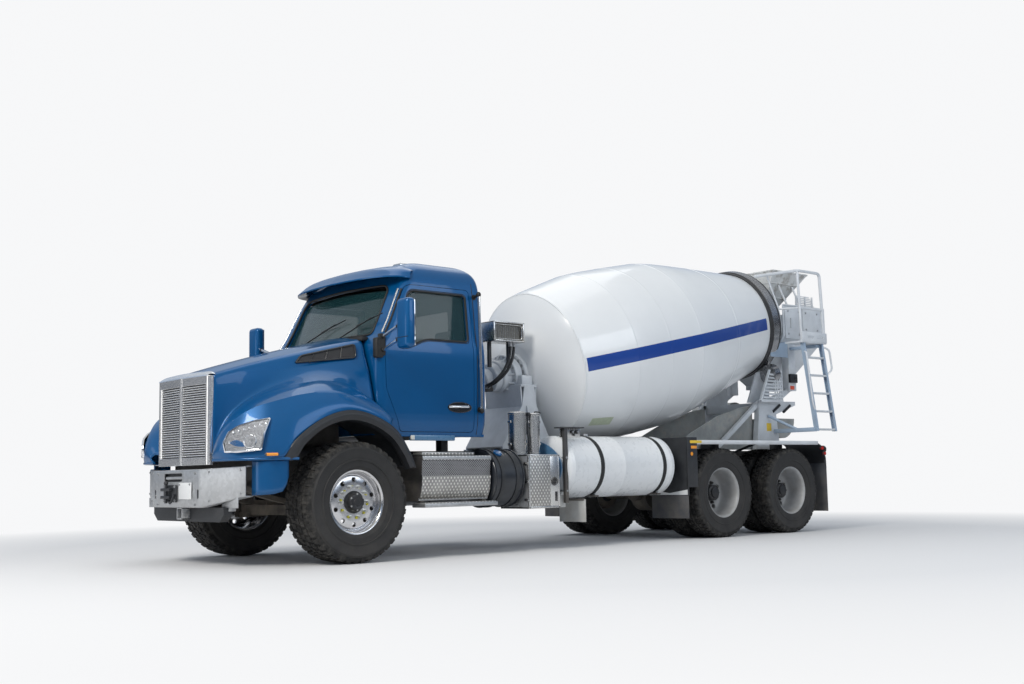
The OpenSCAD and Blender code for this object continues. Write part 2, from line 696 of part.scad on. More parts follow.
hood_rear = cab_front - 25;
hood_front = -1090;
grille_half = nose_half + 12;
grille_z0 = 915;
grille_z1 = 1690;
grille_y = -1170;
hood_stations = [
    [hood_front, nose_half + 15, nose_half, 960, 1735, 1775],
    [-700, nose_half + 90, nose_half + 65, 1180, 1850, 1895],
    [-200, nose_half + 250, nose_half + 160, 1420, 1985, 2035],
    [hood_rear, nose_half + 440, nose_half + 300, 1420, 2100, 2175]];
hood_hinge_behind = -1080;
hood_hinge_z = 980;

function hood_ring(s, inset, ends) =
    let (low = s[1] - inset, high = s[2] - inset, base = s[3] - (inset > 0 ? 85 : 0), top = s[4] - inset,
        crown = s[5] - inset, r = 70, y = Y(s[0]) + ends,
        half = concat([[low, base], [mix(low, high, 0.5) + 12, mix(base, top - r, 0.5)]],
            arc(high - r, top - r, r, 0, 75, 4),
            [[(high - r) * 0.5, mix(top, crown, 0.75)]]),
        n = len(half))
    concat([for (p = half) [p[0], y, p[1]]], [[0, y, crown]],
        [for (i = [n - 1:-1:0]) [-half[i][0], y, half[i][1]]]);

module hood_loft(inset) {
    last = len(hood_stations) - 1;
    loft([for (i = [0:last]) hood_ring(hood_stations[i], inset,
        inset > 0 ? (i == 0 ? -5 : i == last ? 5 : 0) : 0)], flip = true);
}

// Fender: loft outwards. Columns: distance from the centre line, front, crest height, rear
fender_base = 960;
fender_tail = 440;
fender_stations = [[nose_half - 40, -1140, 1640, hood_rear], [760, -1085, 1640, hood_rear],
    [950, -1005, 1620, hood_rear], [cab_half + 15, -960, 1600, hood_rear],
    [cab_half + 50, -940, 1580, fender_tail], [1170, -830, 1490, fender_tail]];
arch_behind = 20;
arch_z = 700;

function fender_ring(s, inset) =
    let (front = s[1] + inset, crest = s[2] - inset, low = 1050 - inset, rear = s[3] - inset,
        base = fender_base - (inset > 0 ? 50 : 0),
        rise = [for (i = [0:7]) let (t = i / 7) [mix(front, -200, t), low + (crest - low) * sin(90 * t)]],
        fall = [for (i = [1:5]) let (t = i / 5) [mix(-200, rear, t),
            1270 - inset + (crest - 1270 + inset) * cos(90 * t)]])
    [for (p = concat([[front, base]], rise, fall, [[rear, base]])) [s[0], Y(p[0]), p[1]]];

module fender_loft(inset) {
    last = len(fender_stations) - 1;
    loft([for (i = [0:last]) let (s = fender_stations[i])
        fender_ring([s[0] - (i == last ? inset : 0) - (i == 0 ? inset * 0.5 : 0), s[1], s[2], s[3]], inset)],
        flip = true);
}

module arch_cut(grow, x0, x1) {
    translate([x0, Y(arch_behind), arch_z]) rotate([0, 90, 0]) cylinder(h = x1 - x0, r = arch_r + grow, $fn = 72);
}

module hood() color("#0b4ea2") {
    difference() {
        union() {
            hood_loft(0);
            both_sides() fender_loft(0);
        }
        hood_loft(hood_wall);
        both_sides() fender_loft(hood_wall);
        both_sides() arch_cut(0, nose_half - 100, 1300);
        both_sides() lamp_prism();
        // Room for the grille between the fenders
        block([-grille_half - face_gap, Y(grille_y) - 10, grille_z0 - 10],
            [grille_half + face_gap, Y(hood_front), grille_z1 + 45]);
    }
}

flare_w = 60;
module hood_flares() color("#17181a") both_sides() {
    side_prism(concat(arc(Y(arch_behind), arch_z, arch_r - 0.3, 14, 160, 30),
        arc(Y(arch_behind), arch_z, arch_r - flare_w, 160, 14, 30)), 1080, 1205);
}

module hinge_round(x0, x1, r) {
    translate([x0, Y(hood_hinge_behind), hood_hinge_z]) rotate([0, 90, 0]) cylinder(h = x1 - x0, r = r, $fn = 32);
}

module grille() color("#d8dadb") {
    bar_w = 45;
    pitch = (grille_z1 - grille_z0 - 70) / grille_ribs;
    difference() {
        union() {
            difference() {
                block([-grille_half, Y(grille_y), grille_z0], [grille_half, Y(hood_front), grille_z1 + 45]);
                block([-grille_half + bar_w, Y(grille_y) - 1, grille_z0 + 60], [-25, Y(grille_y) + 60, grille_z1 - 10]);
                block([25, Y(grille_y) - 1, grille_z0 + 60], [grille_half - bar_w, Y(grille_y) + 60, grille_z1 - 10]);
            }
            for (side = [-1, 1], i = [0:grille_ribs - 1])
                translate([side > 0 ? 24 : -grille_half + bar_w - 1, Y(grille_y) + 8,
                    grille_z0 + 60 + pitch * (i + 0.25)])
                    cube([grille_half - bar_w - 23, 53, pitch * 0.5]);
        }
        both_sides() hinge_round(rail_x - 5, rail_x + hinge_plate + 1.7, 70);
    }
    // Arms and pins that the hood tilts on
    both_sides() {
        block([rail_x + hinge_plate + 1.7, Y(hood_hinge_behind) - 40, hood_hinge_z - 40],
            [rail_x + 2 * hinge_plate, Y(hood_hinge_behind) + 30, hood_hinge_z + 40]);
        hinge_round(rail_x - 4, rail_x + 2 * hinge_plate, hood_pin_r);
    }
}

function lamp_outline() = [[Y(-1150), 1030], [Y(-1150), 1120], [Y(-980), 1245], [Y(-735), 1315],
    [Y(-800), 1220], [Y(-845), 1035]];
module lamp_prism() {
    side_prism(lamp_outline(), nose_half + 130, 1110);
}
module headlamps() color("#e8eef2") both_sides() difference() {
    intersection() {
        fender_loft(0);
        lamp_prism();
    }
    fender_loft(hood_wall + 30);
}

/* Under the cab and along the frame */

step_x0 = rail_x + 20;
module cab_steps() color("#a9adb0") both_sides() {
    block([step_x0, Y(780), 540], [1150, Y(1640), 980]);
    block([step_x0 + 200, Y(740), 480], [1235, Y(1650), 530]);
    block([rail_x, Y(900), 800], [step_x0 + 1, Y(980), 900]);
    block([rail_x, Y(1450), 800], [step_x0 + 1, Y(1530), 900]);
    for (behind = [800, 1560]) block([1000, Y(behind), 529], [1060, Y(behind) + 60, 541]);
}

side_tank_x = 900;
side_tank_r = 300;
side_tank_z = 750;
module side_tanks() color("#1c1e21") {
    translate([side_tank_x, Y(1660), side_tank_z]) rotate([-90, 0, 0])
        cylinder(h = 400, r = side_tank_r, $fn = 56);
    translate([-side_tank_x, Y(1660), side_tank_z]) rotate([-90, 0, 0])
        cylinder(h = 1300, r = side_tank_r + 10, $fn = 56);
    for (p = [[1, 1720], [1, 1950], [-1, 1800], [-1, 2700]])
        block([min(p[0] * rail_x, p[0] * 640), Y(p[1]), side_tank_z - 60],
            [max(p[0] * rail_x, p[0] * 640), Y(p[1]) + 60, side_tank_z + 60]);
}

toolbox_wall = 20;
toolbox_low = [760, Y(2085), 430];
toolbox_high = [1190, Y(2520), 985];
module toolbox() color("#b4b8ba") {
    difference() {
        block(toolbox_low, toolbox_high);
        block(toolbox_low + [toolbox_wall, toolbox_wall, toolbox_wall],
            toolbox_high - [-1, toolbox_wall, toolbox_wall]);
    }
    block([rail_x, Y(2200), 800], [toolbox_low[0] + 1, Y(2400), 880]);
    for (z = toolbox_ear_zs) translate([0, 0, z - toolbox_ear / 2]) difference() {
        union() {
            block([toolbox_high[0] - 40, toolbox_low[1] - 16, 0], [toolbox_high[0], toolbox_low[1] + 1, toolbox_ear]);
            block([toolbox_high[0] - 1, toolbox_low[1] - 16, 0],
                [toolbox_hinge_x, toolbox_hinge_y - 1.5, toolbox_ear]);
            translate([toolbox_hinge_x, toolbox_hinge_y, 0])
                cylinder(h = toolbox_ear, r = toolbox_barrel_r, $fn = 32);
        }
        translate([toolbox_hinge_x, toolbox_hinge_y, -1])
            cylinder(h = toolbox_ear + 2, r = toolbox_pin_r + running_fit, $fn = 24);
    }
}
// The door's hinge line lies at its front outer corner
toolbox_hinge_x = 1214;
toolbox_hinge_y = toolbox_low[1] - 1.5;
toolbox_barrel_r = 8;
toolbox_pin_r = 4;
toolbox_ear = 30;
toolbox_ear_zs = [520, 705, 890];
module toolbox_door() color("#c4c8ca") {
    low = toolbox_low[2] + 2;
    high = toolbox_high[2] - 2;
    difference() {
        union() {
            block([toolbox_high[0] + 0.3, toolbox_hinge_y, low], [toolbox_hinge_x, toolbox_high[1] - 2, high]);
            translate([toolbox_hinge_x, toolbox_hinge_y, low])
                cylinder(h = high - low, r = toolbox_barrel_r, $fn = 32);
        }
        for (z = toolbox_ear_zs) translate([toolbox_hinge_x, toolbox_hinge_y, z - toolbox_ear / 2 - 1])
            cylinder(h = toolbox_ear + 2, r = toolbox_barrel_r + 1.5, $fn = 32);
    }
    translate([toolbox_hinge_x, toolbox_hinge_y, low + 2])
        cylinder(h = high - low - 4, r = toolbox_pin_r, $fn = 24);
}

module canisters() color("#b9bdbf") {
    translate([880, Y(2230), toolbox_high[2]]) cylinder(h = 460, r = 100, $fn = 40);
    translate([900, Y(2440), toolbox_high[2]]) cylinder(h = 450, r = 75, $fn = 40);
}

water_tank_r = 335;
water_tank_x = 870;
water_tank_z = 855;
water_tank_front = 2620;
water_tank_rear = 4420;
module water_tank() color("#dfe4e8") {
    translate([water_tank_x, Y(water_tank_front), water_tank_z]) rotate([-90, 0, 0])
        rotate_extrude($fn = round_fn) polygon(concat([[0, 0]],
            [for (i = [1:8]) [water_tank_r * sin(i * 11.25), 130 * (1 - cos(i * 11.25))]],
            [for (i = [8:-1:1]) [water_tank_r * sin(i * 11.25),
                water_tank_rear - water_tank_front - 130 * (1 - cos(i * 11.25))]],
            [[0, water_tank_rear - water_tank_front]]));
    for (behind = [2900, 4120])
        block([rail_x, Y(behind), water_tank_z - 120], [water_tank_x - water_tank_r + 40, Y(behind) + 90, water_tank_z + 60]);
}

/* Drum drive and front pedestal */

drum_axis_y = Y(3246);
drum_axis_z = 2010;

// Into the drum's own frame: +Z runs up along its axis, from the seam of the head
module drum_frame() {
    translate([0, drum_axis_y, drum_axis_z]) rotate([-(90 - drum_tilt), 0, 0]) children();
}

head_r = 877;
head_depth = 270;
hub_r = 360;
belly_start = 745;
belly_end = 1870;
ring_start = 3670;
ring_end = 3910;
mouth_end = 4120;
neck_r = 715;
mouth_r = 540;

function drum_outline() = [[0, -head_depth], [hub_r, -head_depth + 10], [hub_r + 250, -120],
    [head_r - 40, -14], [head_r, 0], [drum_r - 20, belly_start], [drum_r, mix(belly_start, belly_end, 0.5)],
    [drum_r, belly_end], [neck_r, ring_start], [neck_r, ring_end], [mouth_r, mouth_end]];

module drum() color("#e9edf0") drum_frame() {
    translate([0, 0, -head_depth - shaft_len]) cylinder(h = shaft_len + 5, r = shaft_r, $fn = 48);
    rotate_extrude($fn = 96) polygon(concat(drum_outline(), [[mouth_r - drum_wall, mouth_end],
        [neck_r - drum_wall, ring_end - 4], [neck_r - drum_wall, ring_start - 4],
        [drum_r - drum_wall, belly_end - 2], [drum_r - drum_wall, mix(belly_start, belly_end, 0.5)],
        [drum_r - 20 - drum_wall, belly_start], [head_r - drum_wall, 2], [head_r - 50, drum_wall - 12],
        [hub_r + 240, -120 + drum_wall + 6], [hub_r, -head_depth + 30], [0, -head_depth + 20]]));
}
shaft_r = 60;
shaft_len = 150;

// Helical blades: two flights that stand on the drum's inside and leave its core open
flight_turns = 2.6;
flight_steps = 62;
flight_t = 8;
flight_start = 30;
flight_end = 3860;
function drum_inside(s) = lookup(s, [[0, head_r - drum_wall - 2], [belly_start, drum_r - 20 - drum_wall],
    [mix(belly_start, belly_end, 0.5), drum_r - drum_wall], [belly_end - 2, drum_r - drum_wall],
    [ring_start - 4, neck_r - drum_wall], [ring_end, neck_r - drum_wall]]) - 0.3;
function flight_height(s) = lookup(s, [[0, 260], [belly_start, 330], [belly_end, 330], [ring_start, 160],
    [ring_end, 150]]);
function flight_ring(t, start) = let (s = mix(flight_start, flight_end, t), a = start + 360 * flight_turns * t,
    r = drum_inside(s) - face_gap, low = r - flight_height(s))
    [for (p = [[r, -0.5], [r, 0.5], [low, 0.5], [low, -0.5]])
        [p[0] * cos(a), p[0] * sin(a), s + p[1] * flight_t]];
module drum_blades() color("#9a9d9e") drum_frame() for (start = [0, 180])
    loft([for (i = [0:flight_steps]) flight_ring(i / flight_steps, start)], flip = true);

module drum_ring() color("#3a3a3b") drum_frame() rotate_extrude($fn = 96)
    polygon([[neck_r, ring_start], [ring_r - 12, ring_start], [ring_r - 12, ring_start + 70],
        [ring_r, ring_start + 75], [ring_r, ring_end - 75], [ring_r - 12, ring_end - 70],
        [ring_r - 12, ring_end], [neck_r, ring_end]]);

gear_len = 520;
// What the gearbox's neighbours leave free for it
module gearbox_room() drum_frame() {
    translate([0, 0, -1400]) cylinder(h = 1400, r = 190 + face_gap, $fn = 48);
    translate([0, 0, -head_depth - gear_gap - 358 - face_gap])
        cylinder(h = 40 + 2 * face_gap, r = 215 + face_gap, $fn = 48);
}

gear_gap = 3;
module drum_gearbox() color("#aeb8c2") drum_frame() {
    translate([0, 0, -head_depth - gear_gap]) mirror([0, 0, 1]) {
        difference() {
            union() {
                cylinder(h = 60, r = hub_r - 60, $fn = 48);
                translate([0, 0, 59]) cylinder(h = 260, r = 190, $fn = 48);
            }
            translate([0, 0, -1]) cylinder(h = shaft_len + 1, r = shaft_r + running_fit, $fn = 48);
        }
        translate([0, 0, 318]) cylinder(h = 40, r = 215, $fn = 48);
        translate([0, 0, 357]) cylinder(h = gear_len - 357, r = 175, $fn = 48);
    }
}

ped_y0 = Y(2560);
ped_y1 = Y(2960);
module front_pedestal() color("#b6c0ca") {
    difference() {
        both_sides() side_prism([[ped_y0 - 120, frame_top], [ped_y1 + 330, frame_top], [ped_y1 + 60, 1480],
            [ped_y1 - 60, 1760], [ped_y0 + 110, 1760], [ped_y0 + 20, 1480]], 250, 440);
        drum_frame() translate([0, 0, -1000]) cylinder(h = 2000, r = hub_r + 3, $fn = 48);
    }
    difference() {
        block([-300, ped_y0 + 140, 1500], [300, ped_y0 + 310, 1800]);
        gearbox_room();
        drum_frame() translate([0, 0, -head_depth - 63]) cylinder(h = 400, r = hub_r + 10, $fn = 48);
    }
}

module oil_cooler() color("#8d8f8c") {
    block([120, Y(2340), 2270], [400, Y(2800), 2480]);
    difference() {
        for (behind = [2560, 2700]) block([125, Y(behind), 1960], [165, Y(behind) + 40, 2271]);
        gearbox_room();
    }
}

/* Rear pedestal, rollers and hoppers */

roller_angle = 35;
ring_mid = (ring_start + ring_end) / 2;
roller_gap = 0.3;
roller_pin_r = 25;
roller_pin_len = 170;
roller_len = 110;
// Into a roller's own frame, its middle at the origin and its axis along +Z
module roller_frame() {
    drum_frame() rotate([0, 0, 90 - roller_angle]) translate([ring_r + roller_r + roller_gap, 0, ring_mid])
        children();
}
module roller() color("#55585a") roller_frame() {
    cylinder(h = roller_len, r = roller_r, center = true, $fn = 48);
    cylinder(h = roller_pin_len, r = roller_pin_r - running_fit, center = true, $fn = 40);
}
module roller_left() roller();
module roller_right() mirror([1, 0, 0]) roller();

ped_x = 500;
rear_leg_y = 6985;
module rear_pedestal() color("#dfe3e6") {
    both_sides() {
        side_prism([[Y(rear_leg_y - 255), frame_top - 200], [Y(rear_leg_y + 255), frame_top - 200],
            [Y(rear_leg_y + 255), frame_top], [Y(rear_leg_y + 165), 1680], [Y(rear_leg_y - 165), 1680],
            [Y(rear_leg_y - 255), frame_top]], rail_x, ped_x + 20);
        side_prism([[Y(5880), frame_top - 150], [Y(5980), frame_top - 150], [Y(5980), frame_top],
            [Y(6870), 1640], [Y(6870), 1720], [Y(5880), frame_top]], rail_x, ped_x - 10);
        side_prism([[Y(rear_leg_y + 120), 1600], [Y(7560), 1860], [Y(7640), 1930], [Y(rear_leg_y - 100), 1690],
            [Y(rear_leg_y - 100), 1600]], ped_x - 30, ped_x + 10);
        difference() {
            block([ped_x - 60, Y(7440), 1845], [ped_x + 60, Y(7600), 2500]);
            discharge_form(0);
        }
        // Roller brackets
        difference() {
            side_prism([[Y(6760), 1675], [Y(7240), 1675], [Y(7260), 2000], [Y(7180), 2150], [Y(6960), 2100]],
                ped_x - 160, ped_x + 110);
            roller_frame() cylinder(h = roller_len + 12, r = roller_r + 8, center = true, $fn = 48);
            roller_frame() cylinder(h = roller_pin_len + 8, r = roller_pin_r, center = true, $fn = 40);
            drum_frame() cylinder(h = mouth_end + 300, r = ring_r + 12, $fn = 64);
            drum_frame() translate([0, 0, 2500]) cylinder(h = ring_start - 2500, r1 = ring_r + 260, r2 = ring_r + 25, $fn = 64);
        }
    }
    block([-ped_x + 59, Y(rear_leg_y - 120), 1560], [ped_x - 59, Y(rear_leg_y + 120), 1680]);
}

hopper_top = 3480;
hopper_low = 2960;
hopper_half = 560;
hopper_throat = 260;
hopper_wall = 12;
strut_share = 0.65;
strut_top = [mix(hopper_throat, hopper_half, strut_share) + 15, mix(hopper_low, hopper_top, strut_share)];
module charge_hopper() color("#cfd2d0") {
    difference() {
        hull() {
            block([-hopper_half, Y(7180), hopper_top - 20], [hopper_half, Y(7960), hopper_top]);
            block([-hopper_throat, Y(7330), hopper_low], [hopper_throat, Y(7560), hopper_low + 20]);
        }
        hull() {
            block([-hopper_half + hopper_wall, Y(7192), hopper_top], [hopper_half - hopper_wall, Y(7948), hopper_top + 1]);
            block([-hopper_throat + hopper_wall, Y(7342), hopper_low - 20],
                [hopper_throat - hopper_wall, Y(7548), hopper_low - 1]);
        }
    }
    // Struts down to the rim of the discharge hopper
    both_sides() for (behind = [7400, 7700]) {
        block([570, Y(behind), 3020], [600, Y(behind) + 40, 3045]);
        bar([585, Y(behind) + 20, 3035], [strut_top[0], Y(behind) + 20, strut_top[1]], 14, 16);
    }
}

outlet_low = 1900;
// Side and front outlines of the discharge hopper, drawn in by a wall
function discharge_side(w) = [[Y(7300) - w * 3, 3020 + w], [truck_rear - w, 3020 + w], [truck_rear - w, 2600],
    [Y(7860) - w, 1960], [Y(7860) - w, outlet_low - w], [Y(7460) + w, outlet_low - w], [Y(7460) + w, 1960],
    [Y(7300) + w, 2140], [Y(7300) + w, 2300 - w], [Y(7300) - w * 3, 2300 - w]];
function discharge_front(w) = let (half = [[200 - w, outlet_low - w], [200 - w, 1960], [600 - w, 2600],
    [600 - w, 3020 + w]]) concat(half, [for (i = [3:-1:0]) [-half[i][0], half[i][1]]]);
module discharge_form(w) intersection() {
    side_prism(discharge_side(w), -700, 700);
    front_prism(discharge_front(w), Y(7200), truck_rear + 100);
}
module discharge_hopper() color("#d9dcda") difference() {
    discharge_form(0);
    discharge_form(12);
    drum_frame() cylinder(h = mouth_end + 30, r = neck_r + 20, $fn = 64);
}

ladder_x_low = 1180;
ladder_x_high = 1020;
ladder_y0 = 7120;
ladder_y1 = 7550;
module ladder() color("#c3ccd6") {
    for (behind = [ladder_y0, ladder_y1])
        bar([ladder_x_low, Y(behind), 1270], [ladder_x_high, Y(behind), 2460], 25, 20);
    for (i = [0:4]) let (t = 0.02 + i * 0.2, x = mix(ladder_x_low, ladder_x_high, t))
        bar([x, Y(ladder_y0), 1270 + 1190 * t], [x, Y(ladder_y1), 1270 + 1190 * t], 18, 16);
    block([800, Y(7050), 2440], [1080, Y(7600), 2465]);
    block([ped_x + 60, Y(7460), 2400], [1000, Y(7580), 2441]);
    block([ped_x + 20, Y(7100), 1270], [ladder_x_low, Y(7170), 1330]);
    rail_path([[1050, Y(7570), 2460], [1020, Y(7570), 3400], [1020, Y(7080), 3400], [760, Y(6500), 3300]], 20);
    bar([1050, Y(7080), 2460], [1021, Y(7080), 3385], 18, 16);
    bar([1036, Y(7080), 2900], [1036, Y(7570), 2900], 14, 16);
    // Toe board
    block([1068, Y(7050), 2464], [1080, Y(7600), 2590]);
}

/* Rear fenders */

fender_x0 = 610;
fender_x1 = 1235;
fender_top = 1150;
module rear_fenders() color("#1d2024") both_sides() {
    // Lamps behind the rear flap
    block([fender_x1 - 120, Y(7252), 1000], [fender_x1 - 20, Y(7290), 1080]);
    block([fender_x0, Y(4620), fender_top - 20], [fender_x1, Y(7080), fender_top]);
    block([fender_x0, Y(4520), 500], [fender_x1, Y(4545), fender_top + 30]);
    block([fender_x0 + 40, Y(4525), 240], [fender_x1 - 10, Y(4537), 520]);
    block([fender_x0 + 40, Y(7240), 240], [fender_x1 - 10, Y(7252), 1100]);
    block([rail_x, Y(5700), 960], [fender_x0 + 60, Y(5780), fender_top - 19]);
    block([ped_x + 20, Y(7000), 960], [fender_x0 + 60, Y(7080), fender_top - 19]);
    block([rail_x, Y(4545), 960], [fender_x0 + 60, Y(4621), fender_top]);
    block([ped_x + 20, Y(7079), 960], [fender_x0 + 60, Y(7240), 1000]);
}

/* Chute: stowed across the truck, pointing to its right side, with its extension folded on top */

chute_pivot = [0, Y(7660), 1240];
swivel_pin_r = 35;
lift_pin_r = 16;
lift_rise = 125;
lift_z = frame_top + lift_rise;
trough_r = 270;
trough_clear = 55;
trough_rim = lift_z + trough_clear + trough_r;
trough_wall = 8;
fold_x = -1200;
fold_len = 640;

module chute_swivel() color("#c9cfd6") {
    translate([0, chute_pivot[1], frame_top - 55]) cylinder(h = 120, r = swivel_pin_r, $fn = 40);
    translate([0, chute_pivot[1], frame_top + 60.3]) cylinder(h = 24, r = 95, $fn = 40);
    difference() {
        for (side = [-1, 1]) block([-60, chute_pivot[1] + side * 65 - 12, frame_top + 80],
            [60, chute_pivot[1] + side * 65 + 12, lift_z + 30]);
        translate([0, chute_pivot[1] + 100, lift_z]) rotate([90, 0, 0])
            cylinder(h = 200, r = lift_pin_r + running_fit, $fn = 32);
    }
}

// A trough along X whose rim lies at a height
module trough(x0, x1, rim_z, r, up = false) {
    translate([x0, chute_pivot[1], rim_z]) rotate([90, 0, 90]) linear_extrude(x1 - x0) difference() {
        circle(r = r, $fn = 64);
        circle(r = r - trough_wall, $fn = 64);
        translate([-r - 1, up ? -r - 1 : 0]) square([2 * r + 2, r + 1]);
    }
}

module main_chute() color("#8a8d88") {
    trough(fold_x, 250, trough_rim, trough_r);
    translate([250 - trough_wall, chute_pivot[1], trough_rim]) rotate([90, 0, 90]) linear_extrude(trough_wall)
        difference() {
            circle(r = trough_r, $fn = 64);
            translate([-trough_r - 1, 0]) square([2 * trough_r + 2, trough_r + 1]);
        }
    // Lug and pin that the chute tips on
    block([-35, chute_pivot[1] - 50, lift_z - 22], [35, chute_pivot[1] + 50, trough_rim - trough_r + 6]);
    translate([0, chute_pivot[1] + 85, lift_z]) rotate([90, 0, 0]) cylinder(h = 170, r = lift_pin_r, $fn = 32);
    // Ears and pins for the extension
    for (side = [-1, 1]) translate([fold_x, chute_pivot[1], trough_rim + fold_gap / 2]) scale([1, side, 1]) {
        block([-14, trough_r + face_gap, -40], [40, trough_r + 6, 14]);
        block([0, trough_r - 4, -40], [40, trough_r + 1, -face_gap]);
        translate([0, trough_r + 14, 0]) rotate([90, 0, 0]) cylinder(h = 10, r = fold_pin_r, $fn = 24);
    }
}
fold_gap = 0.3;
fold_pin_r = 8;

module fold_chute() color("#8a8d88") {
    trough(fold_x + fold_gap / 2, fold_x + fold_len, trough_rim + fold_gap, trough_r, true);
    for (side = [-1, 1]) translate([fold_x, chute_pivot[1], trough_rim + fold_gap / 2]) scale([1, side, 1])
        difference() {
            union() {
                block([-14, trough_r + 6.3, -14], [44, trough_r + 14, 44]);
                block([24, trough_r - 6, 24], [44, trough_r + 7, 44]);
            }
            translate([0, trough_r + 20, 0]) rotate([90, 0, 0])
                cylinder(h = 20, r = fold_pin_r + running_fit, $fn = 24);
        }
}

frame_rails();
front_bumper();
bumper_ends();
engine();
front_axle();
drive_axles();
cab_shell();
cab_glass();
seats();
dashboard();
sun_visor();
roof_lamps();
door_left();
door_left_glass();
door_right();
door_right_glass();
mirrors();
grab_bars();
hood();
hood_flares();
grille();
headlamps();
knuckle_left();
knuckle_right();
tyre_front_left();
tyre_front_right();
rim_front_left();
rim_front_right();
tyres_drive_1_left();
tyres_drive_1_right();
tyres_drive_2_left();
tyres_drive_2_right();
rims_drive_1_left();
rims_drive_1_right();
rims_drive_2_left();
rims_drive_2_right();
cab_steps();
side_tanks();
toolbox();
toolbox_door();
canisters();
water_tank();
front_pedestal();
drum_gearbox();
oil_cooler();
rear_pedestal();
drum();
drum_blades();
drum_ring();
roller_left();
roller_right();
charge_hopper();
discharge_hopper();
ladder();
rear_fenders();
chute_swivel();
main_chute();
fold_chute();
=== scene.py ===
"""Concrete mixer truck: the detailed pieces, finishes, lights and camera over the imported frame."""

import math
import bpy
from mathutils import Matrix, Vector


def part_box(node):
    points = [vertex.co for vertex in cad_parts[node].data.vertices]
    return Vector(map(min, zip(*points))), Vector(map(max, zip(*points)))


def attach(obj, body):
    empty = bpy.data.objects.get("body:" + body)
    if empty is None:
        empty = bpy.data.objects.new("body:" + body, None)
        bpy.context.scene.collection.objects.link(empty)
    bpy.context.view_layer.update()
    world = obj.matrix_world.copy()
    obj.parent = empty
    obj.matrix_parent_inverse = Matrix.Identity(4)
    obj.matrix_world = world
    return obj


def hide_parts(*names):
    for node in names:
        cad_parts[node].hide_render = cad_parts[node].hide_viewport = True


bl_info = {
    "name": "Concrete Mixer Truck",
    "version": (1, 0, 0),
    "blender": (4, 5, 0),
    "location": "View3D > Sidebar > Mixer Truck",
    "description": "Dresses the concrete mixer truck's solids with detailed pieces and finishes",
    "category": "Object",
}

import bmesh
import bpy
from mathutils import Matrix, Vector

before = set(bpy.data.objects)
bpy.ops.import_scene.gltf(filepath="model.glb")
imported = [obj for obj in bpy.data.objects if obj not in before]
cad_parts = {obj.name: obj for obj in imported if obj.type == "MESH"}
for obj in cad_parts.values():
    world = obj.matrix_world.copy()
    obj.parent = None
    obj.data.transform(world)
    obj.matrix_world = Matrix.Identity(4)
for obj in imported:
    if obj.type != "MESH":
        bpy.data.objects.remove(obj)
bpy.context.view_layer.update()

# Places are told in metres from the middle of the front axle, and moved into the frame by this
TYRE_LOW, TYRE_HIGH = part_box("tyre_front_left")
AXLE_Y = (TYRE_LOW[1] + TYRE_HIGH[1]) / 2
RIM_R = 0.286
DRIVE_WIDTH = 0.276
BACKDROP = (0.93, 0.935, 0.945, 1)
# Points nearer than this are one
WELD = 0.0006
SIDES = ((1, "left"), (-1, "right"))
DRUM_TILT = math.radians(11.5)
DRUM_FOOT = Vector((0, AXLE_Y + 3.246, 2.01))

FINISHES = {}


def at(x, behind, z):
    """A point whose second value is the distance behind the front axle."""
    return Vector((x, AXLE_Y + behind, z))


def side_view(points):
    """A side outline whose first values are distances behind the front axle, in the frame's place."""
    return [(AXLE_Y + p[0], p[1]) for p in points]


def mix(a, b, t):
    """A value or vector between a and b."""
    return a + (b - a) * t


def clamp(value, low, high):
    return max(low, min(high, value))


def weights(s):
    """How much a smooth curve's start, leaving slope, end and arriving slope count at s."""
    return 2 * s ** 3 - 3 * s ** 2 + 1, s ** 3 - 2 * s ** 2 + s, -2 * s ** 3 + 3 * s ** 2, s ** 3 - s ** 2


def curve_point(points, t):
    """A point at t, from 0 to 1, on a smooth curve through points, by its length."""
    lengths = [0.0]
    for a, b in zip(points, points[1:]):
        lengths.append(lengths[-1] + (b - a).length)
    want = clamp(t, 0, 1) * lengths[-1]
    i = 0
    while i < len(points) - 2 and lengths[i + 1] < want:
        i += 1
    span = lengths[i + 1] - lengths[i]
    s = (want - lengths[i]) / span if span else 0
    p1, p2 = points[i], points[i + 1]
    p0 = points[i - 1] if i else p1 * 2 - p2
    p3 = points[i + 2] if i + 2 < len(points) else p2 * 2 - p1
    m1 = (p2 - p0) * (span / max((p2 - p1).length + (p1 - p0).length, 1e-6))
    m2 = (p3 - p1) * (span / max((p3 - p2).length + (p2 - p1).length, 1e-6))
    h00, h10, h01, h11 = weights(s)
    return p1 * h00 + m1 * h10 + p2 * h01 + m2 * h11


def column(table, key, index):
    """A smooth value out of a table whose rows are sorted by their first value."""
    rows = [Vector((row[0], row[index], 0)) for row in table]
    key = clamp(key, rows[0].x, rows[-1].x)
    i = 0
    while i < len(rows) - 2 and rows[i + 1].x < key:
        i += 1
    a, b = rows[i], rows[i + 1]
    s = (key - a.x) / (b.x - a.x)
    slope = (b.y - a.y) / (b.x - a.x)
    before = (a.y - rows[i - 1].y) / (a.x - rows[i - 1].x) if i else slope
    after = (rows[i + 2].y - b.y) / (rows[i + 2].x - b.x) if i + 2 < len(rows) else slope
    m1 = 0 if before * slope <= 0 else 2 * before * slope / (before + slope)
    m2 = 0 if after * slope <= 0 else 2 * after * slope / (after + slope)
    span = b.x - a.x
    h00, h10, h01, h11 = weights(s)
    return a.y * h00 + m1 * span * h10 + b.y * h01 + m2 * span * h11


# Mesh helpers

def once(items):
    """Each item one time, in the order in which they first come."""
    return list(dict.fromkeys(items))


def faces_at(verts):
    """The faces that touch any of some points."""
    return once(face for vert in verts for face in vert.link_faces)


def edges_at(verts):
    """The edges that touch any of some points."""
    return once(edge for vert in verts for edge in vert.link_edges)


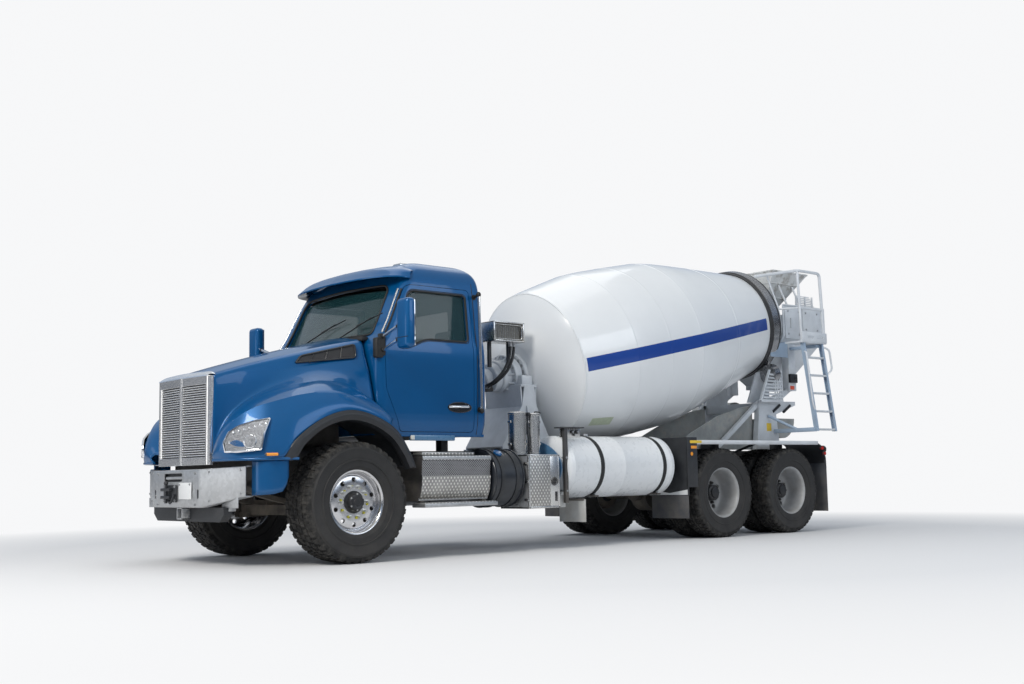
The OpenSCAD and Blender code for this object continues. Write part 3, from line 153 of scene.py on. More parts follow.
def drawn_out(bm, corners, move, mat):
    """A solid made by drawing a flat face out along a vector."""
    face = bm.faces.new([bm.verts.new(p) for p in corners])
    made = bmesh.ops.extrude_face_region(bm, geom=[face])["geom"]
    moved = [item for item in made if isinstance(item, bmesh.types.BMVert)]
    bmesh.ops.translate(bm, verts=moved, vec=move)
    faces = faces_at(moved + list(face.verts))
    bmesh.ops.recalc_face_normals(bm, faces=faces)
    for f in faces:
        f.material_index = mat
    return faces


def sheet(bm, across, along, place, out=None, mat=0):
    """A grid of faces whose points lie where place(u, v) says, facing the way out points."""
    made = bmesh.ops.create_grid(bm, x_segments=across, y_segments=along, size=0.5)
    for vert in made["verts"]:
        vert.co = Vector(place(clamp(vert.co.x + 0.5, 0, 1), clamp(vert.co.y + 0.5, 0, 1)))
    faces = faces_at(made["verts"])
    for face in faces:
        face.normal_update()
        face.material_index = mat
    if out is not None and sum(face.normal.dot(Vector(out)) for face in faces) < 0:
        bmesh.ops.reverse_faces(bm, faces=faces)
    return faces


def prism(bm, outline, axis, low, high, mat=0):
    """A flat outline drawn out along an axis; its points hold the other two values in order."""
    spots = {"x": lambda p: (low, p[0], p[1]), "y": lambda p: (p[0], low, p[1]),
        "z": lambda p: (p[0], p[1], low)}
    way = {"x": Vector((1, 0, 0)), "y": Vector((0, 1, 0)), "z": Vector((0, 0, 1))}[axis]
    return drawn_out(bm, [spots[axis](p) for p in outline], way * (high - low), mat)


def block(bm, low, high, mat=0, round_by=0.0, steps=2):
    """A box between two corners, its edges rounded where asked."""
    low, high = Vector(low), Vector(high)
    size = high - low
    matrix = Matrix.Translation((low + high) / 2) @ Matrix.Diagonal((size.x, size.y, size.z, 1))
    made = bmesh.ops.create_cube(bm, size=1, matrix=matrix)
    faces = faces_at(made["verts"])
    for f in faces:
        f.material_index = mat
    if round_by:
        bmesh.ops.bevel(bm, geom=edges_at(made["verts"]), offset=round_by, segments=steps, profile=0.5,
            affect="EDGES", material=-1, clamp_overlap=True)
    return faces


def aim(direction):
    """A turn that takes +Z into a direction."""
    return Vector(direction).to_track_quat("Z", "Y").to_matrix().to_4x4()


def rod(bm, p, q, r, mat=0, sides=16, r_end=None):
    """A round bar from p to q."""
    p, q = Vector(p), Vector(q)
    matrix = Matrix.Translation((p + q) / 2) @ aim(q - p)
    made = bmesh.ops.create_cone(bm, cap_ends=True, segments=sides, radius1=r,
        radius2=r if r_end is None else r_end, depth=(q - p).length, matrix=matrix)
    for face in faces_at(made["verts"]):
        face.material_index = mat


def rounded(path, radius, steps=5):
    """A path with its corners turned into arcs."""
    path = [Vector(p) for p in path]
    out = [path[0]]
    for before, corner, after in zip(path, path[1:], path[2:]):
        back, on = before - corner, after - corner
        cut = min(radius, back.length / 2.1, on.length / 2.1)
        a, b = corner + back.normalized() * cut, corner + on.normalized() * cut
        for i in range(steps + 1):
            t = i / steps
            out.append(a * (1 - t) ** 2 + corner * 2 * t * (1 - t) + b * t ** 2)
    return out + [path[-1]]


def pipe(bm, path, r, mat=0, sides=12):
    """A round pipe along a path."""
    path = [Vector(p) for p in path]
    rings = []
    turn = None
    for i, point in enumerate(path):
        way = (path[min(i + 1, len(path) - 1)] - path[max(i - 1, 0)]).normalized()
        if turn is None:
            turn = aim(way)
        else:
            old = turn.to_3x3() @ Vector((0, 0, 1))
            turn = old.rotation_difference(way).to_matrix().to_4x4() @ turn
        made = bmesh.ops.create_circle(bm, cap_ends=i in (0, len(path) - 1), segments=sides, radius=r,
            matrix=Matrix.Translation(point) @ turn)
        rings.append(edges_at(made["verts"]))
    faces = []
    for a, b in zip(rings, rings[1:]):
        faces += bmesh.ops.bridge_loops(bm, edges=a + b)["faces"]
    caps = [f for edge in rings[0] + rings[-1] for f in edge.link_faces]
    faces = once(faces + caps)
    bmesh.ops.recalc_face_normals(bm, faces=faces)
    for face in faces:
        face.material_index = mat


def turned(bm, outline, centre, axis, steps=64, mat=0, closed=True):
    """A body of revolution; outline points are (radius, distance along the axis)."""
    matrix = Matrix.Translation(Vector(centre)) @ aim(axis)
    verts = [bm.verts.new(matrix @ Vector((max(r, 0), 0, along))) for r, along in outline]
    pairs = list(zip(verts, verts[1:] + verts[:1] if closed else verts[1:]))
    edges = [bm.edges.new(pair) for pair in pairs if pair[0] is not pair[1]]
    way = matrix.to_3x3() @ Vector((0, 0, 1))
    before = set(bm.faces)
    bmesh.ops.spin(bm, geom=verts + edges, cent=Vector(centre), axis=way, angle=2 * math.pi, steps=steps,
        use_merge=True)
    faces = [f for f in bm.faces if f not in before]
    near = once(v for f in faces for v in f.verts)
    bmesh.ops.remove_doubles(bm, verts=near, dist=1e-5)
    faces = [f for f in bm.faces if f not in before]
    bmesh.ops.recalc_face_normals(bm, faces=faces)
    for face in faces:
        face.material_index = mat
    return faces


def ball(bm, centre, r, mat=0, squash=(1, 1, 1)):
    """A ball, flattened where asked."""
    matrix = Matrix.Translation(Vector(centre)) @ Matrix.Diagonal((*squash, 1))
    made = bmesh.ops.create_uvsphere(bm, u_segments=20, v_segments=12, radius=r, matrix=matrix)
    for face in faces_at(made["verts"]):
        face.material_index = mat


def mirrored(bm):
    """Adds the mirror image of all that is in a mesh."""
    copy = bmesh.ops.duplicate(bm, geom=list(bm.verts) + list(bm.edges) + list(bm.faces))["geom"]
    verts = [item for item in copy if isinstance(item, bmesh.types.BMVert)]
    faces = [item for item in copy if isinstance(item, bmesh.types.BMFace)]
    bmesh.ops.scale(bm, vec=(-1, 1, 1), verts=verts)
    bmesh.ops.reverse_faces(bm, faces=faces)


def weld(bm):
    """Joins the points of a mesh that meet."""
    bmesh.ops.remove_doubles(bm, verts=bm.verts, dist=WELD)


def weld_middle(bm):
    """Joins the two halves of a mirrored mesh along the truck's middle plane."""
    bmesh.ops.remove_doubles(bm, verts=[v for v in bm.verts if abs(v.co.x) < 0.0005], dist=WELD)


def hopper_wall(bm, middle, thick):
    """Joins plates into one open box about a middle, faces them outward and gives them thickness."""
    weld(bm)
    bmesh.ops.recalc_face_normals(bm, faces=bm.faces)
    if sum(f.normal.dot(f.calc_center_median() - middle) for f in bm.faces) < 0:
        bmesh.ops.reverse_faces(bm, faces=bm.faces)
    bmesh.ops.solidify(bm, geom=bm.faces[:], thickness=thick)


def piece(name, bm, body, finishes, stands_for=(), smooth=35, wall=0.0, soften=0.0, side=1):
    """Turns a mesh in the making into a finished piece that rides on a body."""
    if side < 0:
        bmesh.ops.scale(bm, vec=(-1, 1, 1), verts=bm.verts)
        bmesh.ops.reverse_faces(bm, faces=bm.faces)
    mesh = bpy.data.meshes.new(name)
    bm.to_mesh(mesh)
    bm.free()
    for finish_name in finishes:
        mesh.materials.append(FINISHES[finish_name])
    mesh.shade_smooth()
    mesh.set_sharp_from_angle(angle=math.radians(smooth))
    made = bpy.data.objects.new(name, mesh)
    bpy.context.scene.collection.objects.link(made)
    if wall:
        shell = made.modifiers.new("wall", "SOLIDIFY")
        shell.thickness = wall
        shell.offset = -1
        shell.use_even_offset = True
    if soften:
        edge = made.modifiers.new("edge", "BEVEL")
        edge.width = soften
        edge.segments = 2
        edge.limit_method = "ANGLE"
        edge.angle_limit = math.radians(40)
        edge.harden_normals = True
    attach(made, body)
    if stands_for:
        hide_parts(*stands_for)
    return made


def carve(made, cutter, operation="DIFFERENCE"):
    """Cuts a piece by another mesh, and keeps the result as its mesh."""
    mesh = bpy.data.meshes.new("cutter")
    cutter.to_mesh(mesh)
    cutter.free()
    tool = bpy.data.objects.new("cutter", mesh)
    bpy.context.scene.collection.objects.link(tool)
    cut = made.modifiers.new("cut", "BOOLEAN")
    cut.operation = operation
    cut.solver = "EXACT"
    cut.object = tool
    seen = made.evaluated_get(bpy.context.evaluated_depsgraph_get())
    result = bpy.data.meshes.new_from_object(seen)
    made.modifiers.clear()
    old = made.data
    made.data = result
    name = old.name
    bpy.data.meshes.remove(old)
    result.name = name
    bpy.data.objects.remove(tool)
    bpy.data.meshes.remove(mesh)
    result.shade_smooth()
    result.set_sharp_from_angle(angle=math.radians(35))
    return made


# Finishes

class Nodes:
    """A material's node tree in the making."""

    def __init__(self, name):
        self.mat = bpy.data.materials.new(name)
        self.mat.use_nodes = True
        self.tree = self.mat.node_tree
        self.shader = self.tree.nodes["Principled BSDF"]
        self.place = self.add("ShaderNodeTexCoord").outputs["Object"]

    def add(self, kind, **values):
        node = self.tree.nodes.new(kind)
        for key, value in values.items():
            setattr(node, key, value)
        return node

    def link(self, a, b):
        self.tree.links.new(a, b)

    def moved(self, scale=(1, 1, 1), turn=(0, 0, 0), shift=(0, 0, 0), kind="POINT"):
        node = self.add("ShaderNodeMapping", vector_type=kind)
        node.inputs["Scale"].default_value = scale
        node.inputs["Rotation"].default_value = turn
        node.inputs["Location"].default_value = shift
        self.link(self.place, node.inputs["Vector"])
        return node.outputs["Vector"]

    def noise(self, scale, detail=4.0, place=None, rough=0.55):
        node = self.add("ShaderNodeTexNoise")
        node.inputs["Scale"].default_value = scale
        node.inputs["Detail"].default_value = detail
        node.inputs["Roughness"].default_value = rough
        self.link(place or self.place, node.inputs["Vector"])
        return node.outputs["Fac"]

    def span(self, value, low, high, to_low=0.0, to_high=1.0):
        node = self.add("ShaderNodeMapRange", clamp=True)
        self.link(value, node.inputs["Value"])
        for key, number in (("From Min", low), ("From Max", high), ("To Min", to_low), ("To Max", to_high)):
            node.inputs[key].default_value = number
        return node.outputs["Result"]

    def maths(self, kind, a, b=None):
        node = self.add("ShaderNodeMath", operation=kind)
        for socket, value in zip(node.inputs, (a, b)):
            if isinstance(value, (int, float)):
                socket.default_value = value
            elif value is not None:
                self.link(value, socket)
        return node.outputs[0]

    def height(self, value, strength, distance):
        node = self.add("ShaderNodeBump")
        node.inputs["Strength"].default_value = strength
        node.inputs["Distance"].default_value = distance
        self.link(value, node.inputs["Height"])
        if self.shader.inputs["Normal"].is_linked:
            self.link(self.shader.inputs["Normal"].links[0].from_socket, node.inputs["Normal"])
        self.link(node.outputs["Normal"], self.shader.inputs["Normal"])


def blend_colour(nodes, factor, a, b):
    """A mix of two colours or colour outputs."""
    node = nodes.add("ShaderNodeMix", data_type="RGBA")
    nodes.link(factor, node.inputs[0])
    for socket, value in ((node.inputs[6], a), (node.inputs[7], b)):
        if isinstance(value, (tuple, list)):
            socket.default_value = (*value, 1)
        else:
            nodes.link(value, socket)
    return node.outputs[2]


def finish(name, colour, rough, metal=0.0, coat=0.0, vary=0.12, grain=9.0, bump=0.0, bump_grain=300.0,
        dust=0.0, dust_top=1.3, dust_colour=(0.3, 0.26, 0.21), streak=(1, 1, 1), extra=None, uneven=0.06):
    """A finish with uneven colour and gloss, and road dust that thins out with height."""
    nodes = Nodes(name)
    shader = nodes.shader
    shader.inputs["Metallic"].default_value = metal
    shader.inputs["Coat Weight"].default_value = coat
    shader.inputs["Coat Roughness"].default_value = 0.04
    stretched = nodes.moved(scale=streak)
    clouds = nodes.noise(grain, 5, stretched)
    fine = nodes.noise(grain * 9, 3, stretched)
    dark = tuple(c * (1 - vary) for c in colour)
    light = tuple(min(c * (1 + vary), 1) for c in colour)
    tone = blend_colour(nodes, nodes.span(clouds, 0.3, 0.7), dark, light)
    gloss = nodes.span(fine, 0.25, 0.75, max(rough - uneven, 0.02), min(rough + uneven, 1))
    if extra:
        tone = extra(nodes, tone)
    if dust:
        split = nodes.add("ShaderNodeSeparateXYZ")
        nodes.link(nodes.place, split.inputs[0])
        low = nodes.span(split.outputs[2], 0.15, dust_top, 1, 0)
        patch = nodes.span(nodes.noise(5, 8), 0.35, 0.7)
        thick = nodes.maths("MULTIPLY", low, nodes.maths("ADD", patch, 0.35))
        amount = nodes.maths("MULTIPLY", thick, dust)
        tone = blend_colour(nodes, amount, tone, dust_colour)
        gloss = nodes.maths("ADD", gloss, nodes.maths("MULTIPLY", amount, 0.45))
    nodes.link(tone, shader.inputs["Base Color"])
    nodes.link(gloss, shader.inputs["Roughness"])
    if bump:
        nodes.height(nodes.noise(bump_grain, 3, stretched), bump, 0.002)
    FINISHES[name] = nodes.mat
    return nodes


def lattice(nodes, size, turn=0.6, plane="x"):
    """Two crossed waves, high on small diamonds; size is the pitch between them in metres."""
    tilt = {"x": lambda a: (a, 0, 0), "y": lambda a: (0, a, 0), "z": lambda a: (0, 0, a)}[plane]
    way = {"x": "Y", "y": "X", "z": "X"}[plane]
    waves = []
    for a in (turn, -turn):
        wave = nodes.add("ShaderNodeTexWave", wave_type="BANDS", bands_direction=way)
        wave.inputs["Scale"].default_value = 0.314 / size
        nodes.link(nodes.moved(turn=tilt(a)), wave.inputs["Vector"])
        waves.append(wave.outputs["Fac"])
    return nodes.maths("MULTIPLY", waves[0], waves[1])


def stripe_colour(nodes, tone):
    """The drum's stripe, a band at one height in the drum's own frame, broken by the seam's rim."""
    turn = nodes.add("ShaderNodeMapping", vector_type="POINT")
    moved = nodes.add("ShaderNodeVectorMath", operation="SUBTRACT")
    nodes.link(nodes.place, moved.inputs[0])
    moved.inputs[1].default_value = DRUM_FOOT
    turn.inputs["Rotation"].default_value = (-DRUM_TILT, 0, 0)
    nodes.link(moved.outputs[0], turn.inputs["Vector"])
    split = nodes.add("ShaderNodeSeparateXYZ")
    nodes.link(turn.outputs["Vector"], split.inputs[0])
    # The band lies higher up on the far side, so it runs in line with the near one through the drum
    near = nodes.maths("GREATER_THAN", split.outputs[0], 0)
    up = nodes.maths("MULTIPLY", split.outputs[2], nodes.span(near, 0, 1, -1, 1))
    middle = nodes.maths("ABSOLUTE", nodes.maths("ADD", up, 0.031))
    band = nodes.maths("LESS_THAN", middle, 0.077)
    after_head = nodes.maths("GREATER_THAN", split.outputs[1], 0.035)
    before_ring = nodes.maths("LESS_THAN", split.outputs[1], 3.6)
    band = nodes.maths("MULTIPLY", nodes.maths("MULTIPLY", band, after_head), before_ring)
    return blend_colour(nodes, band, tone, (0.008, 0.055, 0.3))


def make_finishes(colours):
    """Every finish on the truck."""
    blue = tuple(colours.cab)
    white = tuple(colours.drum)
    pale = tuple(colours.structure)

    def flake(nodes, tone):
        spots = nodes.noise(900, 1)
        return blend_colour(nodes, nodes.span(spots, 0.45, 0.75, 0, 0.25), tone,
            tuple(min(c * 1.8, 1) for c in blue))

    paint = finish("cab_blue", blue, 0.3, metal=0.25, coat=0.75, vary=0.06, grain=1.5, uneven=0.02,
        dust=0.22, dust_top=1.2, dust_colour=(0.1, 0.15, 0.21), extra=flake)
    paint.shader.inputs["Coat Roughness"].default_value = 0.03
    paint.shader.inputs["Coat IOR"].default_value = 1.36
    paint.shader.inputs["Specular IOR Level"].default_value = 0.25
    finish("drum_white", white, 0.24, coat=0.5, vary=0.03, grain=1.2, uneven=0.02, extra=stripe_colour)
    finish("tank_white", tuple(c * 0.97 for c in white), 0.28, coat=0.4, vary=0.03, grain=1.5, uneven=0.02)
    finish("structure_white", pale, 0.38, coat=0.15, vary=0.1, grain=6, bump=0.05, bump_grain=90, dust=0.35,
        dust_top=1.9, dust_colour=(0.36, 0.33, 0.29))
    finish("structure_blue_grey", (0.36, 0.46, 0.58), 0.4, vary=0.08, grain=7, dust=0.25, dust_top=1.8)

    def concrete(nodes, tone):
        splash = nodes.span(nodes.noise(7, 9, rough=0.7), 0.5, 0.62)
        return blend_colour(nodes, splash, tone, (0.4, 0.38, 0.35))

    finish("hopper_stained", (0.66, 0.67, 0.66), 0.55, grain=8, bump=0.35, bump_grain=60, extra=concrete)
    finish("chute_steel", (0.34, 0.35, 0.34), 0.6, metal=0.2, vary=0.2, grain=6, bump=0.4, bump_grain=50,
        extra=concrete)
    finish("frame_black", (0.035, 0.036, 0.04), 0.5, vary=0.2, grain=8, bump=0.08, bump_grain=120, dust=0.5)
    finish("axle_cast", (0.055, 0.052, 0.05), 0.68, vary=0.25, grain=10, bump=0.3, bump_grain=80, dust=0.7)
    finish("black_plastic", (0.014, 0.016, 0.02), 0.42, vary=0.15, grain=10, bump=0.12, bump_grain=500,
        dust=0.25, dust_top=1.5, dust_colour=(0.1, 0.1, 0.1))
    finish("black_gloss", (0.012, 0.013, 0.016), 0.2, coat=0.6, vary=0.2, dust=0.25)
    finish("tank_black", (0.01, 0.013, 0.019), 0.34, coat=0.3, vary=0.15, grain=5, dust=0.18, dust_top=1.1,
        dust_colour=(0.08, 0.09, 0.1))
    finish("chrome", (0.86, 0.87, 0.89), 0.07, metal=1.0, vary=0.03, grain=4, uneven=0.02)
    finish("grille_bright", (0.92, 0.92, 0.92), 0.22, metal=0.9, vary=0.03, grain=4, uneven=0.03)
    finish("polished", (0.68, 0.68, 0.69), 0.18, metal=1.0, vary=0.04, grain=12, uneven=0.03, dust=0.12)
    finish("stainless", (0.66, 0.655, 0.64), 0.26, metal=1.0, vary=0.04, grain=3, streak=(1, 1, 0.2),
        uneven=0.03)
    finish("hub_black", (0.018, 0.018, 0.02), 0.4, vary=0.2, grain=20, bump=0.15)

    def spangle(nodes, tone):
        cells = nodes.add("ShaderNodeTexVoronoi")
        cells.inputs["Scale"].default_value = 38
        nodes.link(nodes.place, cells.inputs["Vector"])
        split = nodes.add("ShaderNodeSeparateColor")
        nodes.link(cells.outputs["Color"], split.inputs[0])
        return blend_colour(nodes, nodes.span(split.outputs[0], 0, 1, 0, 0.28), tone, (0.27, 0.28, 0.29))

    finish("galvanised", (0.52, 0.535, 0.55), 0.42, metal=0.8, vary=0.08, grain=5, bump=0.1, bump_grain=40,
        dust=0.25, dust_top=1.0, streak=(1, 1, 0.25), extra=spangle)

    def treads(nodes, tone):
        return blend_colour(nodes, nodes.span(lattice(nodes, 0.034, 0.62), 0.38, 0.62), tone,
            (0.92, 0.91, 0.88))

    plate = finish("tread_plate", (0.4, 0.395, 0.385), 0.36, metal=0.9, grain=7, dust=0.3, dust_top=1.1,
        extra=treads)
    plate.height(plate.span(lattice(plate, 0.034, 0.62), 0.38, 0.62), 0.9, 0.004)

    def pierced(size, low, high, dark):
        """Holes between the diamonds of a lattice, painted dark as the shade seen through them."""
        def tint(nodes, tone):
            holes = nodes.span(lattice(nodes, size, 0.8), low, high)
            return blend_colour(nodes, holes, tone, dark)

        return tint

    # The holes of the perforated sheet and of the vent mesh are painted shade
    mesh = finish("perforated", (0.34, 0.34, 0.35), 0.38, metal=0.9, vary=0.1, grain=9, dust=0.2,
        dust_top=1.1, extra=pierced(0.018, 0.35, 0.45, (0.015, 0.015, 0.016)))
    mesh.height(mesh.span(lattice(mesh, 0.018, 0.8), 0.35, 0.45), -0.7, 0.003)
    finish("vent_mesh", (0.03, 0.03, 0.032), 0.45, vary=0.2,
        extra=pierced(0.014, 0.3, 0.42, (0.002, 0.002, 0.002)))

    def road_worn(nodes, tone):
        split = nodes.add("ShaderNodeSeparateXYZ")
        nodes.link(nodes.place, split.inputs[0])
        worn = nodes.span(nodes.noise(14, 8), 0.42, 0.72, 0, 0.55)
        return blend_colour(nodes, worn, tone, (0.105, 0.097, 0.086))

    finish("tyre_tread", (0.014, 0.0138, 0.0135), 0.86, vary=0.25, grain=16, bump=0.5, bump_grain=160,
        extra=road_worn)
    finish("tyre_wall", (0.014, 0.014, 0.0145), 0.66, vary=0.2, grain=12, bump=0.15, bump_grain=240,
        dust=0.2, dust_colour=(0.12, 0.11, 0.1))
    finish("rim_grey", (0.42, 0.43, 0.44), 0.44, metal=0.25, grain=12, dust=0.35, dust_top=1.2)
    finish("rubber", (0.012, 0.012, 0.012), 0.55, vary=0.2, grain=20)
    finish("hose", (0.014, 0.014, 0.015), 0.45, vary=0.2, grain=30, bump=0.2, bump_grain=400)
    finish("seat_cloth", (0.035, 0.036, 0.04), 0.9, vary=0.2, grain=40, bump=0.5, bump_grain=700)
    finish("dash_plastic", (0.04, 0.04, 0.043), 0.6, vary=0.15, grain=20, bump=0.3, bump_grain=600)
    finish("ring_steel", (0.34, 0.34, 0.35), 0.26, metal=1.0, vary=0.15, grain=10, streak=(1, 1, 1))
    finish("ring_dark", (0.045, 0.045, 0.047), 0.42, metal=0.3, vary=0.2, grain=8)
    finish("amber", (0.9, 0.33, 0.03), 0.16, coat=0.7, vary=0.05, grain=30)
    finish("red_lens", (0.5, 0.02, 0.015), 0.14, coat=0.7, vary=0.05, grain=30)
    finish("plate_white", (0.72, 0.73, 0.73), 0.35, vary=0.03, grain=6)
    finish("label_pale", (0.66, 0.66, 0.62), 0.45, vary=0.04, grain=20)
    finish("label_green", (0.5, 0.56, 0.42), 0.5, vary=0.08, grain=20)
    finish("label_yellow", (0.8, 0.55, 0.05), 0.4, vary=0.05, grain=20)
    finish("sky_blue", (0.075, 0.19, 0.34), 0.3, coat=0.4, vary=0.06, grain=4, dust=0.3, dust_top=1.1)
    finish("lug_dark", (0.1, 0.098, 0.095), 0.45, metal=0.7, vary=0.3, grain=40)
    finish("lug_yellow", (0.62, 0.58, 0.04), 0.5, vary=0.2, grain=40)
    finish("lug_steel", (0.62, 0.62, 0.6), 0.28, metal=1.0, vary=0.2, grain=60)
    finish("flap_pale", (0.56, 0.57, 0.56), 0.6, vary=0.1, grain=9, dust=0.5, dust_top=0.9)
    finish("mudflap", (0.04, 0.048, 0.062), 0.55, vary=0.15, grain=7, bump=0.15, bump_grain=200, dust=0.4,
        dust_top=1.0)
    finish("cooler_core", (0.16, 0.155, 0.14), 0.5, metal=0.6, vary=0.15, grain=12, bump=0.6,
        bump_grain=260, streak=(1, 1, 0.2))

    def clear(name, colour, rough, through, alpha):
        nodes = finish(name, colour, rough, vary=0.03, grain=3, uneven=0.004)
        nodes.shader.inputs["Transmission Weight"].default_value = through
        nodes.shader.inputs["IOR"].default_value = 1.45
        nodes.shader.inputs["Alpha"].default_value = alpha
        return nodes

    finish("lamp_bowl", (0.12, 0.125, 0.135), 0.28, metal=0.9, vary=0.2, grain=30)
    finish("label_red", (0.75, 0.1, 0.05), 0.5, vary=0.1, grain=8)
    clear("window_glass", (0.015, 0.06, 0.068), 0.02, 0.25, 0.52)
    clear("lamp_glass", (0.92, 0.95, 0.97), 0.03, 0.85, 0.22)


class MixerColours(bpy.types.PropertyGroup):
    """Colours a user would change."""

    cab: bpy.props.FloatVectorProperty(name="Cab", description="Paint of the cab and hood", subtype="COLOR",
        size=3, min=0, max=1, default=(0.0, 0.08, 0.235))
    drum: bpy.props.FloatVectorProperty(name="Drum", description="Paint of the drum and tank",
        subtype="COLOR", size=3, min=0, max=1, default=(0.8, 0.82, 0.83))
    structure: bpy.props.FloatVectorProperty(name="Structure", description="Paint of pedestals and hoppers",
        subtype="COLOR", size=3, min=0, max=1, default=(0.66, 0.69, 0.72))


class MixerSizes(bpy.types.PropertyGroup):
    """Sizes a user would change."""

    tread: bpy.props.FloatProperty(name="Tread depth", description="Depth of the tyres' grooves",
        default=0.014, min=0.004, max=0.02, unit="LENGTH")
    slats: bpy.props.IntProperty(name="Grille slats", description="Slats in each half of the grille",
        default=30, min=12, max=36)


class MixerOperator:
    """What all of this file's operators share."""

    bl_options = {"REGISTER", "UNDO"}

    def execute(self, context):
        self.build(context)
        return {"FINISHED"}


class MIXER_OT_finishes(MixerOperator, bpy.types.Operator):
    """Make every finish, and put one on each solid that stays"""

    bl_idname = "mixer.finishes"
    bl_label = "Finishes"

    # What each solid wears until a piece stands for it
    STAYING = {"frame_black": ["frame_rails", "chute_swivel"],
        "galvanised": ["front_bumper"],
        "cab_blue": ["bumper_ends", "cab_shell", "sun_visor", "door_left", "door_right", "mirrors",
            "hood"],
        "axle_cast": ["engine", "front_axle", "drive_axles", "knuckle_left", "knuckle_right"],
        "window_glass": ["cab_glass", "door_left_glass", "door_right_glass"],
        "seat_cloth": ["seats"],
        "dash_plastic": ["dashboard"],
        "amber": ["roof_lamps"],
        "chrome": ["grab_bars", "grille"],
        "black_plastic": ["hood_flares", "rear_fenders"],
        "lamp_glass": ["headlamps"],
        "tyre_wall": ["tyre_front_left", "tyre_front_right", "tyres_drive_1_left", "tyres_drive_1_right",
            "tyres_drive_2_left", "tyres_drive_2_right"],
        "polished": ["rim_front_left", "rim_front_right"],
        "rim_grey": ["rims_drive_1_left", "rims_drive_1_right", "rims_drive_2_left",
            "rims_drive_2_right"],
        "tread_plate": ["cab_steps", "toolbox", "toolbox_door"],
        "tank_black": ["side_tanks"],
        "stainless": ["canisters"],
        "tank_white": ["water_tank"],
        "structure_white": ["front_pedestal", "drum_gearbox", "rear_pedestal", "discharge_hopper"],
        "cooler_core": ["oil_cooler"],
        "drum_white": ["drum"],
        "chute_steel": ["drum_blades", "main_chute", "fold_chute"],
        "ring_steel": ["drum_ring", "roller_left", "roller_right"],
        "hopper_stained": ["charge_hopper"],
        "structure_blue_grey": ["ladder"]}

    def build(self, context):
        make_finishes(context.scene.mixer_colours)
        looks = {node: look for look, nodes in self.STAYING.items() for node in nodes}
        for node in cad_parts:
            solid = bpy.data.objects[node]
            solid.data.materials.clear()
            solid.data.materials.append(FINISHES[looks[node]])


class MIXER_OT_tyres(MixerOperator, bpy.types.Operator):
    """Front tyres with a blocky mixed tread, and twin drive tyres with lugs"""

    bl_idname = "mixer.tyres"
    bl_label = "Tyres"

    def tyre(self, bm, x, y, r, width, pitches, front):
        """One tyre: its wall outline turned about the axle, with the tread's blocks raised from it."""
        tread = bpy.context.scene.mixer_sizes.tread
        base = r - tread
        half = width / 2
        outline = [(RIM_R + 0.002, -half * 0.72), (RIM_R + 0.012, -half * 0.84),
            (RIM_R + 0.04, -half * 0.93), (RIM_R + 0.055, -half * 0.93),
            (mix(RIM_R, r, 0.33), -half * 0.95), (mix(RIM_R, r, 0.345), -half * 0.99),
            (mix(RIM_R, r, 0.385), -half * 0.99), (mix(RIM_R, r, 0.4), -half * 0.965),
            (mix(RIM_R, r, 0.52), -half * 0.985), (mix(RIM_R, r, 0.66), -half * 0.985),
            (mix(RIM_R, r, 0.7), -half), (mix(RIM_R, r, 0.74), -half), (mix(RIM_R, r, 0.76), -half * 0.965),
            (base - 0.04, -half * 0.94), (base - 0.018, -half * 0.9)]
        lanes = [-0.86, -0.58, -0.5, -0.2, -0.12, 0.12, 0.2, 0.5, 0.58, 0.86]
        crown = [(base - 0.01 * abs(lane) ** 3, half * lane) for lane in lanes]
        outline = outline + crown + [(p, -q) for p, q in reversed(outline)]
        steps = pitches * 3
        faces = turned(bm, outline, (x, y, r), (1, 0, 0), steps=steps, closed=False, mat=1)
        raised = []
        for face in faces:
            middle = face.calc_center_median()
            lane = (middle.x - x) / half
            away = math.hypot(middle.y - y, middle.z - r)
            if away < base - 0.03:
                continue
            face.material_index = 0
            angle = math.atan2(middle.z - r, middle.y - y) / (2 * math.pi) * steps
            k = int(round(angle - 0.5))
            shoulder = abs(lane) > 0.58
            centre = abs(lane) < 0.12
            between = 0.2 < abs(lane) < 0.5
            if shoulder and (k % 3) != (0 if lane > 0 else 1):
                raised.append(face)
            elif between and (k + (1 if lane > 0 else 0)) % 3 != 0:
                raised.append(face)
            elif centre and (k % 3 != 1 or not front):
                raised.append(face)
        blocks = bmesh.ops.extrude_discrete_faces(bm, faces=raised)["faces"]
        for face in blocks:
            middle = face.calc_center_median()
            out = Vector((0, middle.y - y, middle.z - r)).normalized()
            for vert in face.verts:
                vert.co = vert.co + out * (tread * (1 if abs(middle.x - x) < half * 0.87 else 0.55))
                vert.co = vert.co + (middle + out * tread - vert.co) * 0.1

    def build(self, context):
        for side, word in SIDES:
            low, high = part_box("tyre_front_" + word)
            bm = bmesh.new()
            self.tyre(bm, abs(low[0] + high[0]) / 2, (low[1] + high[1]) / 2, (high[2] - low[2]) / 2,
                high[0] - low[0], 44, True)
            piece("front_tread_" + word, bm, "front_%s_wheel" % word, ["tyre_tread", "tyre_wall"],
                ["tyre_front_" + word], smooth=28, side=side)
            for axle in ("1", "2"):
                low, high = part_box("tyres_drive_%s_%s" % (axle, word))
                inner, outer = min(abs(low[0]), abs(high[0])), max(abs(low[0]), abs(high[0]))
                bm = bmesh.new()
                for middle in (inner + DRIVE_WIDTH / 2, outer - DRIVE_WIDTH / 2):
                    self.tyre(bm, middle, (low[1] + high[1]) / 2, (high[2] - low[2]) / 2, DRIVE_WIDTH, 50,
                        False)
                piece("drive_%s_tread_%s" % (axle, word), bm, "drive_%s_%s_wheels" % (axle, word),
                    ["tyre_tread", "tyre_wall"], ["tyres_drive_%s_%s" % (axle, word)], smooth=28, side=side)


